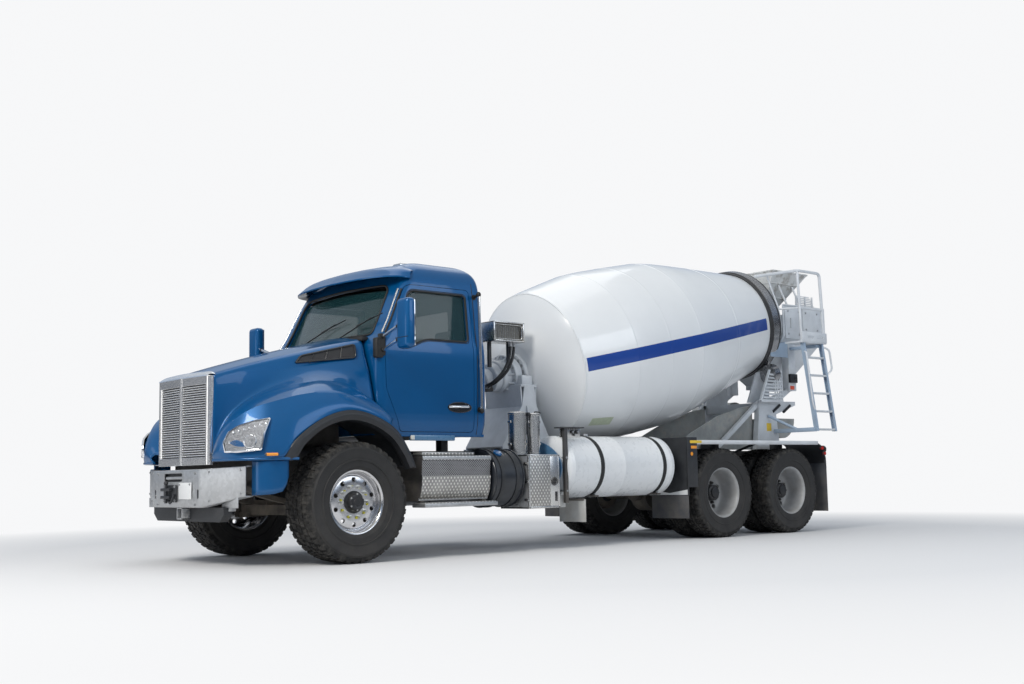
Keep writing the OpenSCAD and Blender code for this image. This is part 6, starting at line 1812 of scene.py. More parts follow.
class MIXER_OT_drum_drive(MixerOperator, bpy.types.Operator):
    """Gearbox, its pedestal, the oil cooler and the hoses"""

    bl_idname = "mixer.drum_drive"
    bl_label = "Drum drive"

    def build(self, context):
        axis = drum_at(0, 0, 1) - drum_at(0, 0, 0)
        # Front pedestal: splayed plates with a saddle that holds the gearbox
        bm = bmesh.new()
        for side in (1, -1):
            spots = [(2.5, 1.045), (3.25, 1.045), (3.25, 1.1), (3.02, 1.55), (2.985, 1.785), (2.845, 1.785),
                (2.8, 1.55), (2.5, 1.1)]
            prism(bm, side_view(spots), "x", side * 0.3, side * 0.322)
            block(bm, at(side * 0.26, 2.46, 1.042), at(side * 0.438, 3.285, 1.062), 0, 0.004)
            for y in (2.55, 2.85, 3.15):
                bolt(bm, at(side * 0.4, y, 1.062), (0, 0, 1), 0.016, 1)
            plate(bm, [at(side * 0.322, 2.87, 1.062), at(side * 0.43, 2.87, 1.062),
                at(side * 0.335, 2.87, 1.55), at(side * 0.322, 2.87, 1.55)], 0.016)
        for y, tilt in ((2.815, -0.02), (3.005, 0.02)):
            plate(bm, [at(-0.31, y, 1.5), at(0.31, y, 1.5), at(0.31, y + tilt, 1.78),
                at(-0.31, y + tilt, 1.78)], 0.018)
        plate(bm, [at(-0.31, 2.5, 1.09), at(0.31, 2.5, 1.09), at(0.31, 2.8, 1.54),
            at(-0.31, 2.8, 1.54)], 0.014)
        plate(bm, [at(-0.31, 3.25, 1.09), at(0.31, 3.25, 1.09), at(0.31, 3.02, 1.54),
            at(-0.31, 3.02, 1.54)], 0.014)
        block(bm, at(-0.32, 2.79, 1.765), at(0.32, 3.03, 1.795), 0, 0.006)
        piece("drive_pedestal", bm, "chassis", ["structure_white", "galvanised"], ["front_pedestal"],
            smooth=30)

        # Gearbox: stepped round housing with ribs, flange bolts and the motor at its front
        bm = bmesh.new()
        turned(bm, [(0.0, -0.8), (0.105, -0.8), (0.115, -0.79), (0.115, -0.7), (0.155, -0.695),
            (0.165, -0.685), (0.165, -0.6), (0.178, -0.595), (0.185, -0.585), (0.185, -0.545),
            (0.178, -0.535), (0.178, -0.47), (0.225, -0.462), (0.232, -0.455), (0.232, -0.425),
            (0.225, -0.418), (0.19, -0.41), (0.19, -0.33), (0.0, -0.325)], drum_at(0, 0, 0), axis, 72, 0,
            False)
        for spot in round_drum(20, 0.21, -0.462):
            bolt(bm, spot, -axis, 0.01, 1)
        for p, q in zip(round_drum(12, 0.172, -0.535), round_drum(12, 0.215, -0.466)):
            rod(bm, p, q, 0.008, 0, 8)
        for side in (1, -1):
            block(bm, at(side * 0.12, 2.83, 1.79), at(side * 0.295, 2.99, 1.9), 0, 0.012)
            bolt(bm, at(side * 0.265, 2.91, 1.9), (0, 0, 1), 0.016, 1)
        block(bm, at(-0.07, 2.47, 1.72), at(0.07, 2.6, 1.86), 2, 0.012)
        piece("gearbox_housing", bm, "chassis", ["structure_white", "galvanised", "axle_cast"],
            ["drum_gearbox"])

        # Oil cooler: open frame, finned core, tanks and feet
        bm = bmesh.new()
        x0, x1, y0, y1, z0, z1 = 0.125, 0.395, 2.345, 2.795, 2.255, 2.475
        for low, high in (((x0, y0, z0), (x1, y0 + 0.022, z1)), ((x0, y1 - 0.022, z0), (x1, y1, z1)),
                ((x0, y0, z0), (x1, y1, z0 + 0.016)), ((x0, y0, z1 - 0.014), (x1, y1, z1))):
            block(bm, at(*low), at(*high), 0, 0.004)
        block(bm, at(x0 + 0.05, y0 + 0.02, z0 + 0.014), at(x1 - 0.045, y1 - 0.02, z1 - 0.012), 1)
        for i in range(15):
            y = mix(y0 + 0.04, y1 - 0.04, i / 14)
            block(bm, at(x1 - 0.047, y - 0.002, z0 + 0.018), at(x1 - 0.04, y + 0.002, z1 - 0.016))
        pipe(bm, rounded([at(x1 - 0.02, y0 + 0.03, z0 + 0.03), at(x1 - 0.02, y1 - 0.03, z0 + 0.03),
            at(x1 - 0.02, y1 - 0.03, z1 - 0.03), at(x1 - 0.02, y0 + 0.03, z1 - 0.03),
            at(x1 - 0.02, y0 + 0.03, z0 + 0.05)], 0.02, 3), 0.006)
        for y in (2.42, 2.7):
            block(bm, at(0.2, y - 0.02, 1.975), at(0.235, y + 0.02, 2.262), 2, 0.005)
        piece("cooler_frame", bm, "chassis", ["stainless", "cooler_core", "frame_black"], ["oil_cooler"])

        bm = bmesh.new()
        for shift, low_y in ((0.0, 2.46), (0.05, 2.5)):
            path = [at(0.3, 2.66 + shift, 2.265), at(0.305, 2.655 + shift, 2.19),
                at(0.315, 2.62 + shift, 2.07), at(0.3, 2.55 + shift, 1.93), at(0.24, low_y, 1.815),
                at(0.135, low_y - 0.02, 1.775), at(0.06, low_y + 0.03, 1.765)]
            smooth_path = [curve_point(path, i / 40) for i in range(41)]
            pipe(bm, smooth_path, 0.0165, 0, 14)
            for p, q in ((smooth_path[0], smooth_path[3]), (smooth_path[-1], smooth_path[-4])):
                rod(bm, p, q, 0.021, 1, 14)
        piece("drive_hoses", bm, "chassis", ["hose", "galvanised"], smooth=50)


class MIXER_OT_rear(MixerOperator, bpy.types.Operator):
    """Rear pedestal with louvred guards, rollers' brackets, hoppers and splash shield"""

    bl_idname = "mixer.rear"
    bl_label = "Rear pedestal and hoppers"

    def pedestal(self):
        bm = bmesh.new()
        for side in (1, -1):
            # Tapered leg of folded plate
            spots = [(6.735, 1.042), (7.235, 1.042), (7.15, 1.68), (6.825, 1.68)]
            prism(bm, side_view(spots), "x", side * 0.44, side * 0.518)
            prism(bm, side_view([(6.735, 0.845), (7.235, 0.845), (7.235, 1.044), (6.735, 1.044)]), "x",
                side * 0.434, side * 0.45)
            for y in (6.82, 6.98, 7.14):
                for z in (0.9, 0.99):
                    bolt(bm, at(side * 0.45, y, z), (side, 0, 0), 0.014, 1)
            # Brace from the frame up to the leg, and the grey splash shield behind it
            rod_spots = [(5.885, 1.045), (5.975, 1.045), (6.868, 1.645), (6.868, 1.715)]
            prism(bm, side_view(rod_spots), "x", side * 0.44, side * 0.488)
            prism(bm, side_view([(5.885, 0.895), (5.975, 0.895), (5.975, 1.047), (5.885, 1.047)]), "x",
                side * 0.434, side * 0.452)
            shield = [(5.2, 1.055), (5.55, 1.26), (6.05, 1.47), (6.55, 1.6), (6.8, 1.63), (6.8, 1.055)]
            prism(bm, side_view(shield), "x", side * 0.4, side * 0.406, 2)
            pipe(bm, rounded([at(side * 0.403, p[0], p[1]) for p in shield[:5]], 0.05, 3), 0.009, 2, 8)
            # Bracket to the hopper, with two long slots
            bracket = [(7.1, 1.602), (7.555, 1.862), (7.635, 1.928), (6.905, 1.695), (6.905, 1.602)]
            prism(bm, side_view(bracket), "x", side * 0.472, side * 0.508)
            plate(bm, [at(side * 0.515, 7.02, 1.48), at(side * 0.515, 7.6, 1.655),
                at(side * 0.515, 7.6, 1.705), at(side * 0.515, 6.9, 1.69), at(side * 0.515, 6.9, 1.5)],
                0.008)
            for y in (7.1, 7.33):
                pipe(bm, rounded([at(side * 0.5205, y, 1.56), at(side * 0.5205, y + 0.15, 1.65)], 0.01, 2),
                    0.02, 3, 10)
            # Post up to the hopper
            block(bm, at(side * 0.442, 7.445, 1.85), at(side * 0.558, 7.595, 2.495), 0, 0.006)
            block(bm, at(side * 0.5585, 7.42, 1.955), at(side * 0.6, 7.575, 2.075), 3, 0.008)
            block(bm, at(side * 0.5585, 7.5, 2.0), at(side * 0.61, 7.54, 2.05), 3, 0.01)
            block(bm, at(side * 0.5585, 7.455, 1.865), at(side * 0.5605, 7.545, 1.915), 4, 0.001)
            block(bm, at(side * 0.5185, 6.955, 1.3), at(side * 0.5205, 7.055, 1.405), 5, 0.001)
        block(bm, at(-0.441, 6.865, 1.562), at(0.441, 7.105, 1.678), 0, 0.01)
        piece("rear_frame", bm, "chassis", ["structure_white", "galvanised", "chute_steel", "black_plastic",
            "label_red", "label_yellow"], ["rear_pedestal"], smooth=30)

    def roller_guards(self):
        """Bearing brackets with slotted guards beside the rollers."""
        bm = bmesh.new()
        for side in (1, -1):
            outer = [(6.765, 1.68), (7.235, 1.68), (7.235, 2.09), (7.165, 2.135), (6.975, 2.09)]
            loop = side_view(outer)
            # Slats of the triangle
            prism(bm, side_view([(6.765, 1.68), (7.235, 1.68), (7.235, 1.715), (6.79, 1.715)]), "x",
                side * 0.555, side * 0.6)
            for i in range(8):
                z = 1.735 + i * 0.044
                front = mix(6.785, 6.985, clamp((z - 1.7) / 0.4, 0, 1))
                plate(bm, [at(side * 0.605, front, z - 0.006), at(side * 0.605, 7.075, z - 0.006),
                    at(side * 0.585, 7.075, z + 0.02), at(side * 0.585, front + 0.015, z + 0.02)], 0.005)
            plate(bm, [at(side * 0.585, 6.775, 1.69), at(side * 0.585, 6.985, 2.105),
                at(side * 0.585, 6.965, 2.115), at(side * 0.585, 6.75, 1.7)], 0.03)
            # Slotted panel behind it
            for y in (7.072, 7.118, 7.172, 7.222):
                block(bm, at(side * 0.588, y - 0.009, 1.7), at(side * 0.602, y + 0.009, 2.1), 0, 0.003)
            for i in range(10):
                z = 1.705 + i * 0.043
                block(bm, at(side * 0.589, 7.072, z - 0.008), at(side * 0.601, 7.222, z + 0.008), 0, 0.002)
            # Bearing block that carries the roller's pin
            prism(bm, loop, "x", side * 0.35, side * 0.372)
        piece("roller_guards", bm, "chassis", ["structure_white"], smooth=30)

    def hoppers(self):
        # Charge hopper: four flared sheets with rolled rim and outer ribs
        bm = bmesh.new()

        def ring(t, out=0.0):
            x, z = mix(0.258, 0.558, t) + out, mix(2.965, 3.478, t)
            y0, y1 = mix(7.332, 7.182, t) - out, mix(7.558, 7.958, t) + out
            return [at(x, y0, z), at(x, y1, z), at(-x, y1, z), at(-x, y0, z), at(x, y0, z)]

        skin(bm, [ring(0), ring(0.5), ring(1)])
        hopper_wall(bm, at(0, 7.55, 3.2), 0.008)
        rim = ring(1, -0.004)
        for a, b in zip(rim, rim[1:]):
            rod(bm, a, b, 0.013, 0, 12)
        for t in (0.35, 0.7):
            loop = ring(t, 0.006)
            for a, b in zip(loop, loop[1:]):
                rod(bm, a, b, 0.008, 0, 8)
        for side in (1, -1):
            for y in (7.42, 7.72):
                rod(bm, at(side * 0.585, y, 3.022), at(side * 0.462, y, 3.305), 0.013, 1, 12)
        piece("charge_funnel", bm, "chassis", ["hopper_stained", "structure_white"], ["charge_hopper"],
            smooth=30)

        # Discharge hopper: side plates, sloping back and throat
        bm = bmesh.new()
        truck_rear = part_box("discharge_hopper")[1][1] - AXLE_Y
        outline = [(truck_rear - 0.002, 3.018), (truck_rear - 0.002, 2.6), (7.858, 1.96), (7.858, 1.904),
            (7.462, 1.904), (7.462, 1.96), (7.302, 2.14), (7.302, 2.3)]

        def half_at(z):
            return mix(0.199, 0.598, clamp((z - 1.96) / 0.64, 0, 1))

        def front(z):
            return 7.462 if z <= 1.96 else mix(7.462, 7.302, clamp((z - 1.96) / 0.18, 0, 1))

        def rear(z):
            return 7.858 if z <= 1.96 else mix(7.858, truck_rear - 0.002, clamp((z - 1.96) / 0.64, 0, 1))

        def wall_rows(points):
            return [[at(side_x * half_at(z), y, z) for side_x in (1, 0.5, 0, -0.5, -1)] for y, z in points]

        skin(bm, wall_rows(outline[:4]), (0, 1, -0.3))
        skin(bm, wall_rows(outline[4:]), (0, -1, -0.3))
        for side in (1, -1):
            for low, high in ((1.904, 1.96), (1.96, 2.14), (2.14, 2.3), (2.3, 2.6), (2.6, 3.018)):
                row = [[at(side * half_at(z), mix(front(z), rear(z), t), z) for t in (0, 0.5, 1)]
                    for z in (low, high)]
                skin(bm, row, (side, 0, 0))
        hopper_wall(bm, at(0, 7.75, 2.5), 0.008)
        piece("discharge_chamber", bm, "chassis", ["structure_white"], ["discharge_hopper"], smooth=25)

        # Edge flanges, hinged plates, upper louvre and control boxes on the sides
        bm = bmesh.new()
        for side in (1, -1):
            path = [at(side * 0.601, 7.31, 3.012), at(side * 0.601, truck_rear - 0.014, 3.012),
                at(side * 0.601, truck_rear - 0.014, 2.605)]
            for a, b in zip(path, path[1:]):
                rod(bm, a, b, 0.012, 0, 10)
            block(bm, at(side * 0.6, 7.34, 2.555), at(side * 0.612, 7.7, 2.985), 0, 0.004)
            block(bm, at(side * 0.6, 7.74, 2.64), at(side * 0.612, 8.12, 2.985), 0, 0.004)
            for y, z in ((7.4, 2.93), (7.64, 2.93), (7.4, 2.62), (7.64, 2.62), (7.8, 2.93), (8.06, 2.93),
                    (7.8, 2.7), (8.06, 2.7)):
                bolt(bm, at(side * 0.612, y, z), (side, 0, 0), 0.01, 2)
            pipe(bm, [at(side * 0.616, 7.45, 2.7), at(side * 0.616, 7.45, 2.84)], 0.008, 2, 8)
            # Upper louvre
            for i in range(6):
                z = 3.035 + i * 0.024
                plate(bm, [at(side * 0.575, 7.66, z), at(side * 0.575, 8.06 - i * 0.02, z),
                    at(side * 0.56, 8.06 - i * 0.02, z + 0.015), at(side * 0.56, 7.66, z + 0.015)], 0.004)
            for y in (7.655, 7.86, 8.02):
                block(bm, at(side * 0.558, y - 0.01, 3.018), at(side * 0.578, y + 0.01, 3.17), 0, 0.003)
            # Blue-grey side plate beside the ladder's platform
            plate(bm, [at(side * 0.605, 6.99, 2.29), at(side * 0.605, 7.36, 2.29),
                at(side * 0.605, 7.36, 2.5), at(side * 0.605, 6.99, 2.455)], 0.008, 1)
            block(bm, at(side * 0.55, 7.3, 2.3), at(side * 0.605, 7.36, 2.5), 1, 0.004)
        piece("hopper_fittings", bm, "chassis", ["structure_white", "structure_blue_grey", "galvanised"])

    def build(self, context):
        self.pedestal()
        self.roller_guards()
        self.hoppers()


class MIXER_OT_ladder(MixerOperator, bpy.types.Operator):
    """Ladder, platform with its toe board, guard rails and grab tube"""

    bl_idname = "mixer.ladder"
    bl_label = "Ladder"

    def build(self, context):
        bm = bmesh.new()

        def stile_x(z):
            return mix(1.18, 1.02, (z - 1.27) / 1.19)

        for y in (7.12, 7.55):
            # Channel stile: web and two flanges
            low, high = at(stile_x(1.275), y, 1.275), at(stile_x(2.455), y, 2.455)
            way = 1 if y > 7.3 else -1
            for offset, wide, deep in ((0.0, 0.052, 0.008), (-0.024, 0.008, 0.034), (0.024, 0.008, 0.034)):
                back = way * (deep / 2 if wide < 0.01 else 0)
                corners = [end + Vector((offset + sx * wide / 2, sy * deep / 2 - back, 0))
                    for end in (low, high) for sx, sy in ((-1, -1), (1, -1), (1, 1), (-1, 1))]
                verts = [bm.verts.new(p) for p in corners]
                for i in range(4):
                    bm.faces.new([verts[i], verts[(i + 1) % 4], verts[4 + (i + 1) % 4], verts[4 + i]])
                bm.faces.new(verts[:4])
                bm.faces.new(verts[4:])
        bmesh.ops.recalc_face_normals(bm, faces=bm.faces)
        for i in range(5):
            z = 1.27 + 1.19 * (0.02 + i * 0.2)
            x = stile_x(z)
            block(bm, at(x - 0.022, 7.125, z - 0.01), at(x + 0.022, 7.545, z + 0.012), 1, 0.004)
            rod(bm, at(x + 0.018, 7.125, z + 0.008), at(x + 0.018, 7.545, z + 0.008), 0.009, 1, 10)
        # Support arm from the leg, platform, bracket and toe board with its slots
        block(bm, at(0.522, 7.1, 1.272), at(1.165, 7.17, 1.325), 0, 0.006)
        rod(bm, at(0.53, 6.98, 1.5), at(0.9, 7.13, 1.3), 0.018)
        block(bm, at(0.803, 7.053, 2.442), at(1.072, 7.598, 2.462), 1, 0.004)
        for i in range(9):
            y = 7.09 + i * 0.058
            block(bm, at(0.815, y, 2.46), at(1.06, y + 0.012, 2.4685), 1, 0.002)
        block(bm, at(0.562, 7.465, 2.402), at(1.0, 7.575, 2.44), 0, 0.005)
        piece("ladder_stiles", bm, "chassis", ["structure_blue_grey", "structure_white"], ["ladder"])

        bm = bmesh.new()
        block(bm, at(1.069, 7.052, 2.455), at(1.079, 7.598, 2.585), 0, 0.003)
        board = piece("toe_board", bm, "chassis", ["structure_white"])
        cutter = bmesh.new()
        for y in (7.17, 7.38):
            block(cutter, at(1.04, y, 2.5), at(1.1, y + 0.13, 2.535), 0, 0.01)
        carve(board, cutter)

        # Tubular guard and grab tube
        bm = bmesh.new()
        guard = rounded([at(1.05, 7.575, 2.46), at(1.02, 7.57, 3.4), at(1.02, 7.08, 3.4),
            at(0.765, 6.51, 3.3)], 0.06)
        pipe(bm, guard, 0.0195, 0, 16)
        pipe(bm, rounded([at(1.05, 7.08, 2.46), at(1.021, 7.08, 3.385)], 0.02), 0.018, 0, 16)
        rod(bm, at(1.036, 7.08, 2.9), at(1.036, 7.57, 2.9), 0.014)
        rod(bm, at(1.036, 7.08, 2.9), at(0.8, 6.95, 2.9), 0.012)
        rod(bm, at(0.8, 6.95, 2.9), at(0.8, 6.72, 3.325), 0.012)
        grab = rounded([at(1.075, 7.1, 2.32), at(1.125, 7.06, 2.3), at(1.195, 7.06, 1.62),
            at(1.19, 7.1, 1.56)], 0.04)
        pipe(bm, grab, 0.013, 0, 14)
        grab = rounded([at(1.05, 7.57, 2.4), at(1.11, 7.595, 2.36), at(1.14, 7.595, 2.1),
            at(1.1, 7.565, 2.04)], 0.04)
        pipe(bm, grab, 0.013, 0, 14)
        for y in (7.08, 7.57):
            block(bm, at(1.035, y - 0.03, 2.44), at(1.07, y + 0.03, 2.475), 0, 0.004)
        piece("guard_rails", bm, "chassis", ["structure_white"], smooth=50)


class MIXER_OT_fenders(MixerOperator, bpy.types.Operator):
    """Rear fenders with top rail, quarter panels, mud flaps, markers and tail lamps"""

    bl_idname = "mixer.fenders"
    bl_label = "Rear fenders"

    def build(self, context):
        bm = bmesh.new()
        for side in (1, -1):
            # Front panel with a rolled edge, and the flap below it
            block(bm, at(side * 0.615, 4.522, 0.505), at(side * 1.232, 4.54, 1.178), 0, 0.006)
            block(bm, at(side * 1.205, 4.522, 0.6), at(side * 1.233, 4.7, 1.178), 0, 0.006)
            block(bm, at(side * 0.655, 4.526, 0.245), at(side * 1.222, 4.536, 0.52), 1, 0.003)
            prism(bm, [(side * 0.66, 0.515), (side * 1.22, 0.515), (side * 1.22, 0.575),
                (side * 0.94, 0.535), (side * 0.66, 0.575)][::side], "y", AXLE_Y + 4.518, AXLE_Y + 4.526, 2)
            # Rear quarter that curves down behind the last wheel
            rows = []
            for y, z in ((6.9, 1.135), (7.05, 1.13), (7.14, 1.095), (7.205, 1.03), (7.24, 0.93),
                    (7.246, 0.8)):
                rows.append([at(side * x, y, z) for x in (0.66, 0.95, 1.225)])
            skin(bm, rows, (0, 1, 1))
            for i in range(5):
                a, b = rows[i], rows[i + 1]
                under = (b[2] + Vector((0, -0.03, 0)), a[2] + Vector((0, -0.01 * i, -0.03)))
                bm.faces.new([bm.verts.new(p) for p in (a[2], b[2], *under)])
            block(bm, at(side * 0.655, 7.2405, 0.245), at(side * 1.222, 7.2505, 0.86), 1, 0.003)
            # Inner liners and hangers
            for y in (5.7, 7.0):
                block(bm, at(side * 0.435, y, 0.965), at(side * 0.67, y + 0.075, 1.13), 0, 0.006)
            block(bm, at(side * 0.435, 4.547, 0.965), at(side * 0.67, 4.62, 1.145), 0, 0.006)
            rod(bm, at(side * 0.46, 5.25, 0.97), at(side * 0.7, 5.05, 1.128), 0.016)
            rod(bm, at(side * 0.46, 6.15, 0.97), at(side * 0.8, 6.35, 1.128), 0.016)
        piece("fender_panels", bm, "chassis", ["black_plastic", "mudflap", "plate_white"], ["rear_fenders"],
            smooth=40)

        bm = bmesh.new()
        for side in (1, -1):
            # Pale top plate with a turned-down edge
            rows = []
            for y in (4.622, 4.64, 5.8, 7.06, 7.078):
                rows.append([at(side * x, y, z) for x, z in ((0.615, 1.146), (1.205, 1.146), (1.222, 1.144),
                    (1.23, 1.134), (1.231, 1.096))])
            skin(bm, rows, (side, 0, 1))
        piece("fender_tops", bm, "chassis", ["structure_white"], smooth=40, wall=0.004)

        bm = bmesh.new()
        for side in (1, -1):
            block(bm, at(side * 1.2325, 4.575, 1.108), at(side * 1.2345, 4.78, 1.14), 3, 0.0005)
            block(bm, at(side * 1.232, 4.59, 1.045), at(side * 1.2348, 4.69, 1.078), 0, 0.001)
            rod(bm, at(side * 1.222, 4.6, 0.985), at(side * 1.2345, 4.6, 0.985), 0.022, 0, 20)
            for y, z in ((7.17, 1.055), (7.225, 0.985)):
                rod(bm, at(side * 1.205, y, z), at(side * 1.232, y, z), 0.021, 1, 20)
            for x in (1.16, 1.06, 0.96):
                rod(bm, at(side * x, 7.245, 1.04), at(side * x, 7.288, 1.04), 0.04, 1 if x > 1 else 4, 24)
                turned(bm, [(0.04, 0.0), (0.048, 0.0), (0.048, 0.04), (0.04, 0.042)],
                    at(side * x, 7.247, 1.04), (0, 1, 0), 24, 2)
        piece("marker_lamps", bm, "chassis", ["amber", "red_lens", "rubber", "label_yellow", "plate_white"],
            smooth=45)


class MIXER_OT_seats(MixerOperator, bpy.types.Operator):
    """Two cab seats: padded cushions and backs with pressed-in seams, on their bases"""

    bl_idname = "mixer.seats"
    bl_label = "Seats"

    def pad(self, name, low, high, lean=0.0):
        """A stuffed cushion: a crowned box with pressed-in seams."""
        bm = bmesh.new()
        low, high = Vector(low), Vector(high)
        bmesh.ops.create_cube(bm, size=1)
        bmesh.ops.subdivide_edges(bm, edges=bm.edges[:], cuts=11, use_grid_fill=True)
        size = high - low
        thin = min(range(3), key=lambda i: size[i])
        wide = [i for i in range(3) if i != thin]
        for vert in bm.verts:
            p = vert.co * 2
            u, v = p[wide[0]], p[wide[1]]
            crown = (1 - abs(u) ** 2.6) * (1 - abs(v) ** 2.6)
            seam = math.exp(-((abs(u) - 0.62) / 0.05) ** 2) * 0.1
            seam += math.exp(-((v - 0.05) / 0.05) ** 2) * 0.07
            shrink = 1 - 0.1 * (abs(p[thin]) ** 2)
            spot = Vector((0, 0, 0))
            spot[wide[0]] = u / 2 * shrink
            spot[wide[1]] = v / 2 * shrink
            spot[thin] = p[thin] / 2 * (0.7 + 0.3 * crown - seam * (abs(p[thin]) > 0.5) * crown)
            vert.co = Vector((low[i] + high[i]) / 2 + spot[i] * size[i] for i in range(3))
            vert.co.y += lean * (vert.co.z - low.z)
        bmesh.ops.recalc_face_normals(bm, faces=bm.faces)
        made = piece(name, bm, "chassis", ["seat_cloth"], smooth=80)
        sub = made.modifiers.new("soft", "SUBSURF")
        sub.levels = sub.render_levels = 1
        return made

    def build(self, context):
        for side, word in ((1, "driver"), (-1, "crew")):
            x = side * 0.52
            cushion = self.pad("%s_cushion" % word, at(x - 0.245, 0.955, 1.565), at(x + 0.245, 1.47, 1.7))
            back = self.pad("%s_back" % word, at(x - 0.235, 1.395, 1.7), at(x + 0.235, 1.52, 2.09), 0.2)
            head = self.pad("%s_head" % word, at(x - 0.13, 1.5, 2.11), at(x + 0.13, 1.59, 2.285), 0.05)
        bm = bmesh.new()
        for side in (1, -1):
            x = side * 0.52
            block(bm, at(x - 0.22, 1.03, 1.236), at(x + 0.22, 1.47, 1.3), 1, 0.015)
            for i in range(4):
                z = 1.305 + i * 0.045
                block(bm, at(x - 0.17 - 0.01 * (i % 2), 1.08, z),
                    at(x + 0.17 + 0.01 * (i % 2), 1.42, z + 0.04), 1, 0.018)
            block(bm, at(x - 0.21, 0.99, 1.485), at(x + 0.21, 1.45, 1.585), 0, 0.02)
            rod(bm, at(x - 0.05, 1.505, 2.03), at(x - 0.05, 1.53, 2.16), 0.008, 2)
            rod(bm, at(x + 0.05, 1.505, 2.03), at(x + 0.05, 1.53, 2.16), 0.008, 2)
        piece("seat_bases", bm, "chassis", ["dash_plastic", "rubber", "chrome"], ["seats"], smooth=40)


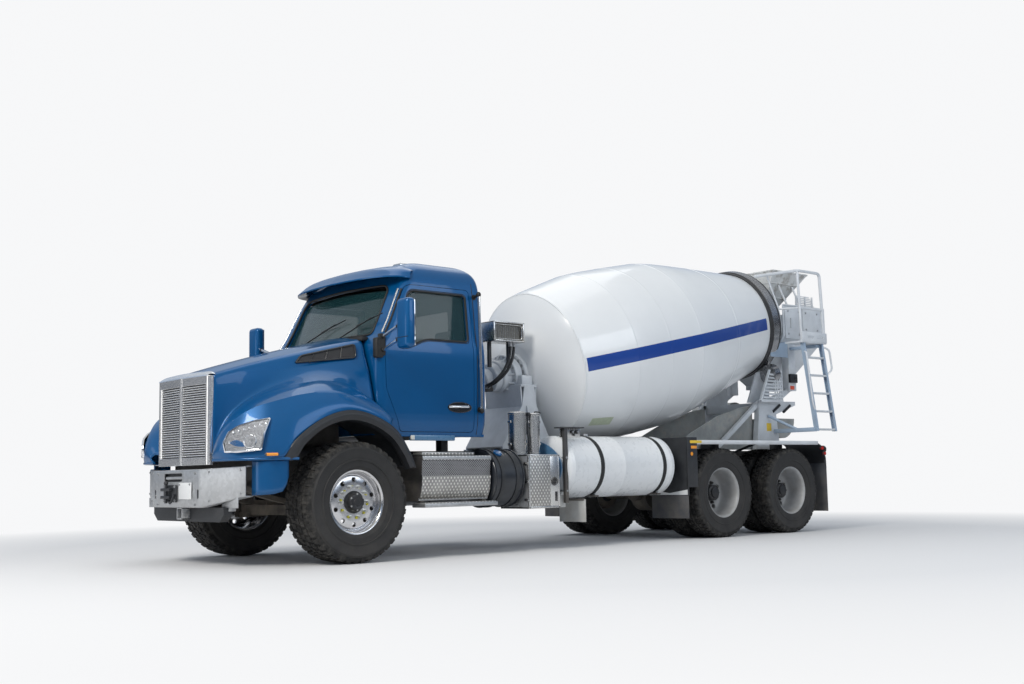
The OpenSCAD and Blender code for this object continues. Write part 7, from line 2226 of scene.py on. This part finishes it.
class MIXER_OT_stage(MixerOperator, bpy.types.Operator):
    """Pale floor and backdrop, soft lamps and the camera"""

    bl_idname = "mixer.stage"
    bl_label = "Stage"

    def lamp(self, name, place, target, size, power, colour=(1, 1, 1)):
        data = bpy.data.lights.new(name, "AREA")
        data.shape = "RECTANGLE"
        data.size, data.size_y = size
        data.energy = power
        data.color = colour
        made = bpy.data.objects.new(name, data)
        made.location = place
        made.rotation_euler = (Vector(target) - Vector(place)).to_track_quat("-Z", "Y").to_euler()
        bpy.context.scene.collection.objects.link(made)

    def build(self, context):
        scene = context.scene
        scene.view_settings.view_transform = "Standard"
        bm = bmesh.new()
        bmesh.ops.create_grid(bm, x_segments=1, y_segments=1, size=60)
        mesh = bpy.data.meshes.new("floor")
        bm.to_mesh(mesh)
        bm.free()
        floor = bpy.data.objects.new("floor", mesh)
        scene.collection.objects.link(floor)
        nodes = Nodes("floor_pale")
        nodes.shader.inputs["Base Color"].default_value = (0.74, 0.74, 0.745, 1)
        nodes.shader.inputs["Roughness"].default_value = 0.85
        # The floor fades into the backdrop away from the truck
        reach = nodes.add("ShaderNodeVectorMath", operation="LENGTH")
        nodes.link(nodes.place, reach.inputs[0])
        fade = nodes.span(reach.outputs["Value"], 6.0, 10.5)
        seen = nodes.add("ShaderNodeLightPath").outputs["Is Camera Ray"]
        glow = nodes.add("ShaderNodeEmission")
        glow.inputs["Color"].default_value = BACKDROP
        swap = nodes.add("ShaderNodeMixShader")
        nodes.link(nodes.maths("MULTIPLY", fade, seen), swap.inputs[0])
        nodes.link(nodes.shader.outputs[0], swap.inputs[1])
        nodes.link(glow.outputs[0], swap.inputs[2])
        nodes.link(swap.outputs[0], nodes.tree.nodes["Material Output"].inputs["Surface"])
        mesh.materials.append(nodes.mat)

        world = bpy.data.worlds.new("studio")
        world.use_nodes = True
        scene.world = world
        tree = world.node_tree
        back = tree.nodes["Background"]
        back.inputs["Strength"].default_value = 0.62
        # Reflections see a dark horizon below a bright sky
        split = tree.nodes.new("ShaderNodeSeparateXYZ")
        tree.links.new(tree.nodes.new("ShaderNodeTexCoord").outputs["Generated"], split.inputs[0])
        ramp = tree.nodes.new("ShaderNodeValToRGB")
        tree.links.new(split.outputs[2], ramp.inputs[0])
        stops = ramp.color_ramp.elements
        stops[0].position, stops[0].color = 0.0, (0.16, 0.17, 0.19, 1)
        stops[1].position, stops[1].color = 0.14, (0.18, 0.21, 0.26, 1)
        for spot, colour in ((0.24, (0.48, 0.62, 0.86, 1)), (0.6, (0.86, 0.93, 1.0, 1)),
                (1.0, (1.0, 1.0, 1.0, 1))):
            stops.new(spot).color = colour
        tree.links.new(ramp.outputs[0], back.inputs["Color"])
        white = tree.nodes.new("ShaderNodeBackground")
        white.inputs["Color"].default_value = BACKDROP
        path = tree.nodes.new("ShaderNodeLightPath")
        swap = tree.nodes.new("ShaderNodeMixShader")
        tree.links.new(path.outputs["Is Camera Ray"], swap.inputs[0])
        tree.links.new(back.outputs[0], swap.inputs[1])
        tree.links.new(white.outputs[0], swap.inputs[2])
        tree.links.new(swap.outputs[0], tree.nodes["World Output"].inputs["Surface"])

        middle = Vector((0, 0, 1.4))
        self.lamp("key", (4.5, -13.0, 10.0), middle, (4, 4), 1150, (1.0, 0.96, 0.9))
        self.lamp("front", (-3.5, -13.0, 2.6), middle, (7, 4), 120, (1.0, 0.98, 0.95))
        self.lamp("side", (12.0, 2.0, 6.5), middle, (9, 4), 260, (0.9, 0.95, 1.0))
        self.lamp("top", (-3.0, 2.0, 12.0), middle, (8, 12), 260)

        data = bpy.data.cameras.new("camera")
        data.sensor_width = 36
        data.lens = 1236.44 / 1024 * 36
        camera = bpy.data.objects.new("camera", data)
        yaw, pitch, roll = 0.7173, 0.1089, -0.0192
        ahead = Vector((-math.cos(yaw) * math.cos(pitch), math.sin(yaw) * math.cos(pitch), math.sin(pitch)))
        right = ahead.cross(Vector((0, 0, 1))).normalized()
        up = right.cross(ahead)
        turn_right = right * math.cos(roll) + up * math.sin(roll)
        turn_up = up * math.cos(roll) - right * math.sin(roll)
        matrix = Matrix((turn_right, turn_up, -ahead)).transposed().to_4x4()
        matrix.translation = at(10.7077, -6.3919, 0.755)
        camera.matrix_world = matrix
        scene.collection.objects.link(camera)
        scene.camera = camera


class MIXER_PT_panel(bpy.types.Panel):
    """Sizes, colours and the operators in their order"""

    bl_label = "Mixer Truck"
    bl_space_type = "VIEW_3D"
    bl_region_type = "UI"
    bl_category = "Mixer Truck"

    def draw(self, context):
        layout = self.layout
        for group in (context.scene.mixer_colours, context.scene.mixer_sizes):
            for key in group.bl_rna.properties.keys():
                if key not in ("rna_type", "name"):
                    layout.prop(group, key)
        for operator in OPERATORS:
            layout.operator(operator.bl_idname)


OPERATORS = [MIXER_OT_finishes, MIXER_OT_stage, MIXER_OT_tyres, MIXER_OT_wheels, MIXER_OT_hood,
    MIXER_OT_lamps, MIXER_OT_grille, MIXER_OT_cab, MIXER_OT_cab_trim, MIXER_OT_seats, MIXER_OT_bumper,
    MIXER_OT_side_gear, MIXER_OT_water_tank, MIXER_OT_drum, MIXER_OT_drum_drive, MIXER_OT_rear,
    MIXER_OT_ladder, MIXER_OT_fenders]
CLASSES = [MixerColours, MixerSizes] + OPERATORS + [MIXER_PT_panel]


def register():
    for cls in CLASSES:
        bpy.utils.register_class(cls)
    bpy.types.Scene.mixer_colours = bpy.props.PointerProperty(type=MixerColours)
    bpy.types.Scene.mixer_sizes = bpy.props.PointerProperty(type=MixerSizes)


def unregister():
    del bpy.types.Scene.mixer_sizes
    del bpy.types.Scene.mixer_colours
    for cls in reversed(CLASSES):
        bpy.utils.unregister_class(cls)


def main():
    """Register the classes, and run the operators in order."""
    register()
    for operator in OPERATORS:
        group, name = operator.bl_idname.split(".")
        getattr(getattr(bpy.ops, group), name)()


if __name__ == "__main__":
    main()
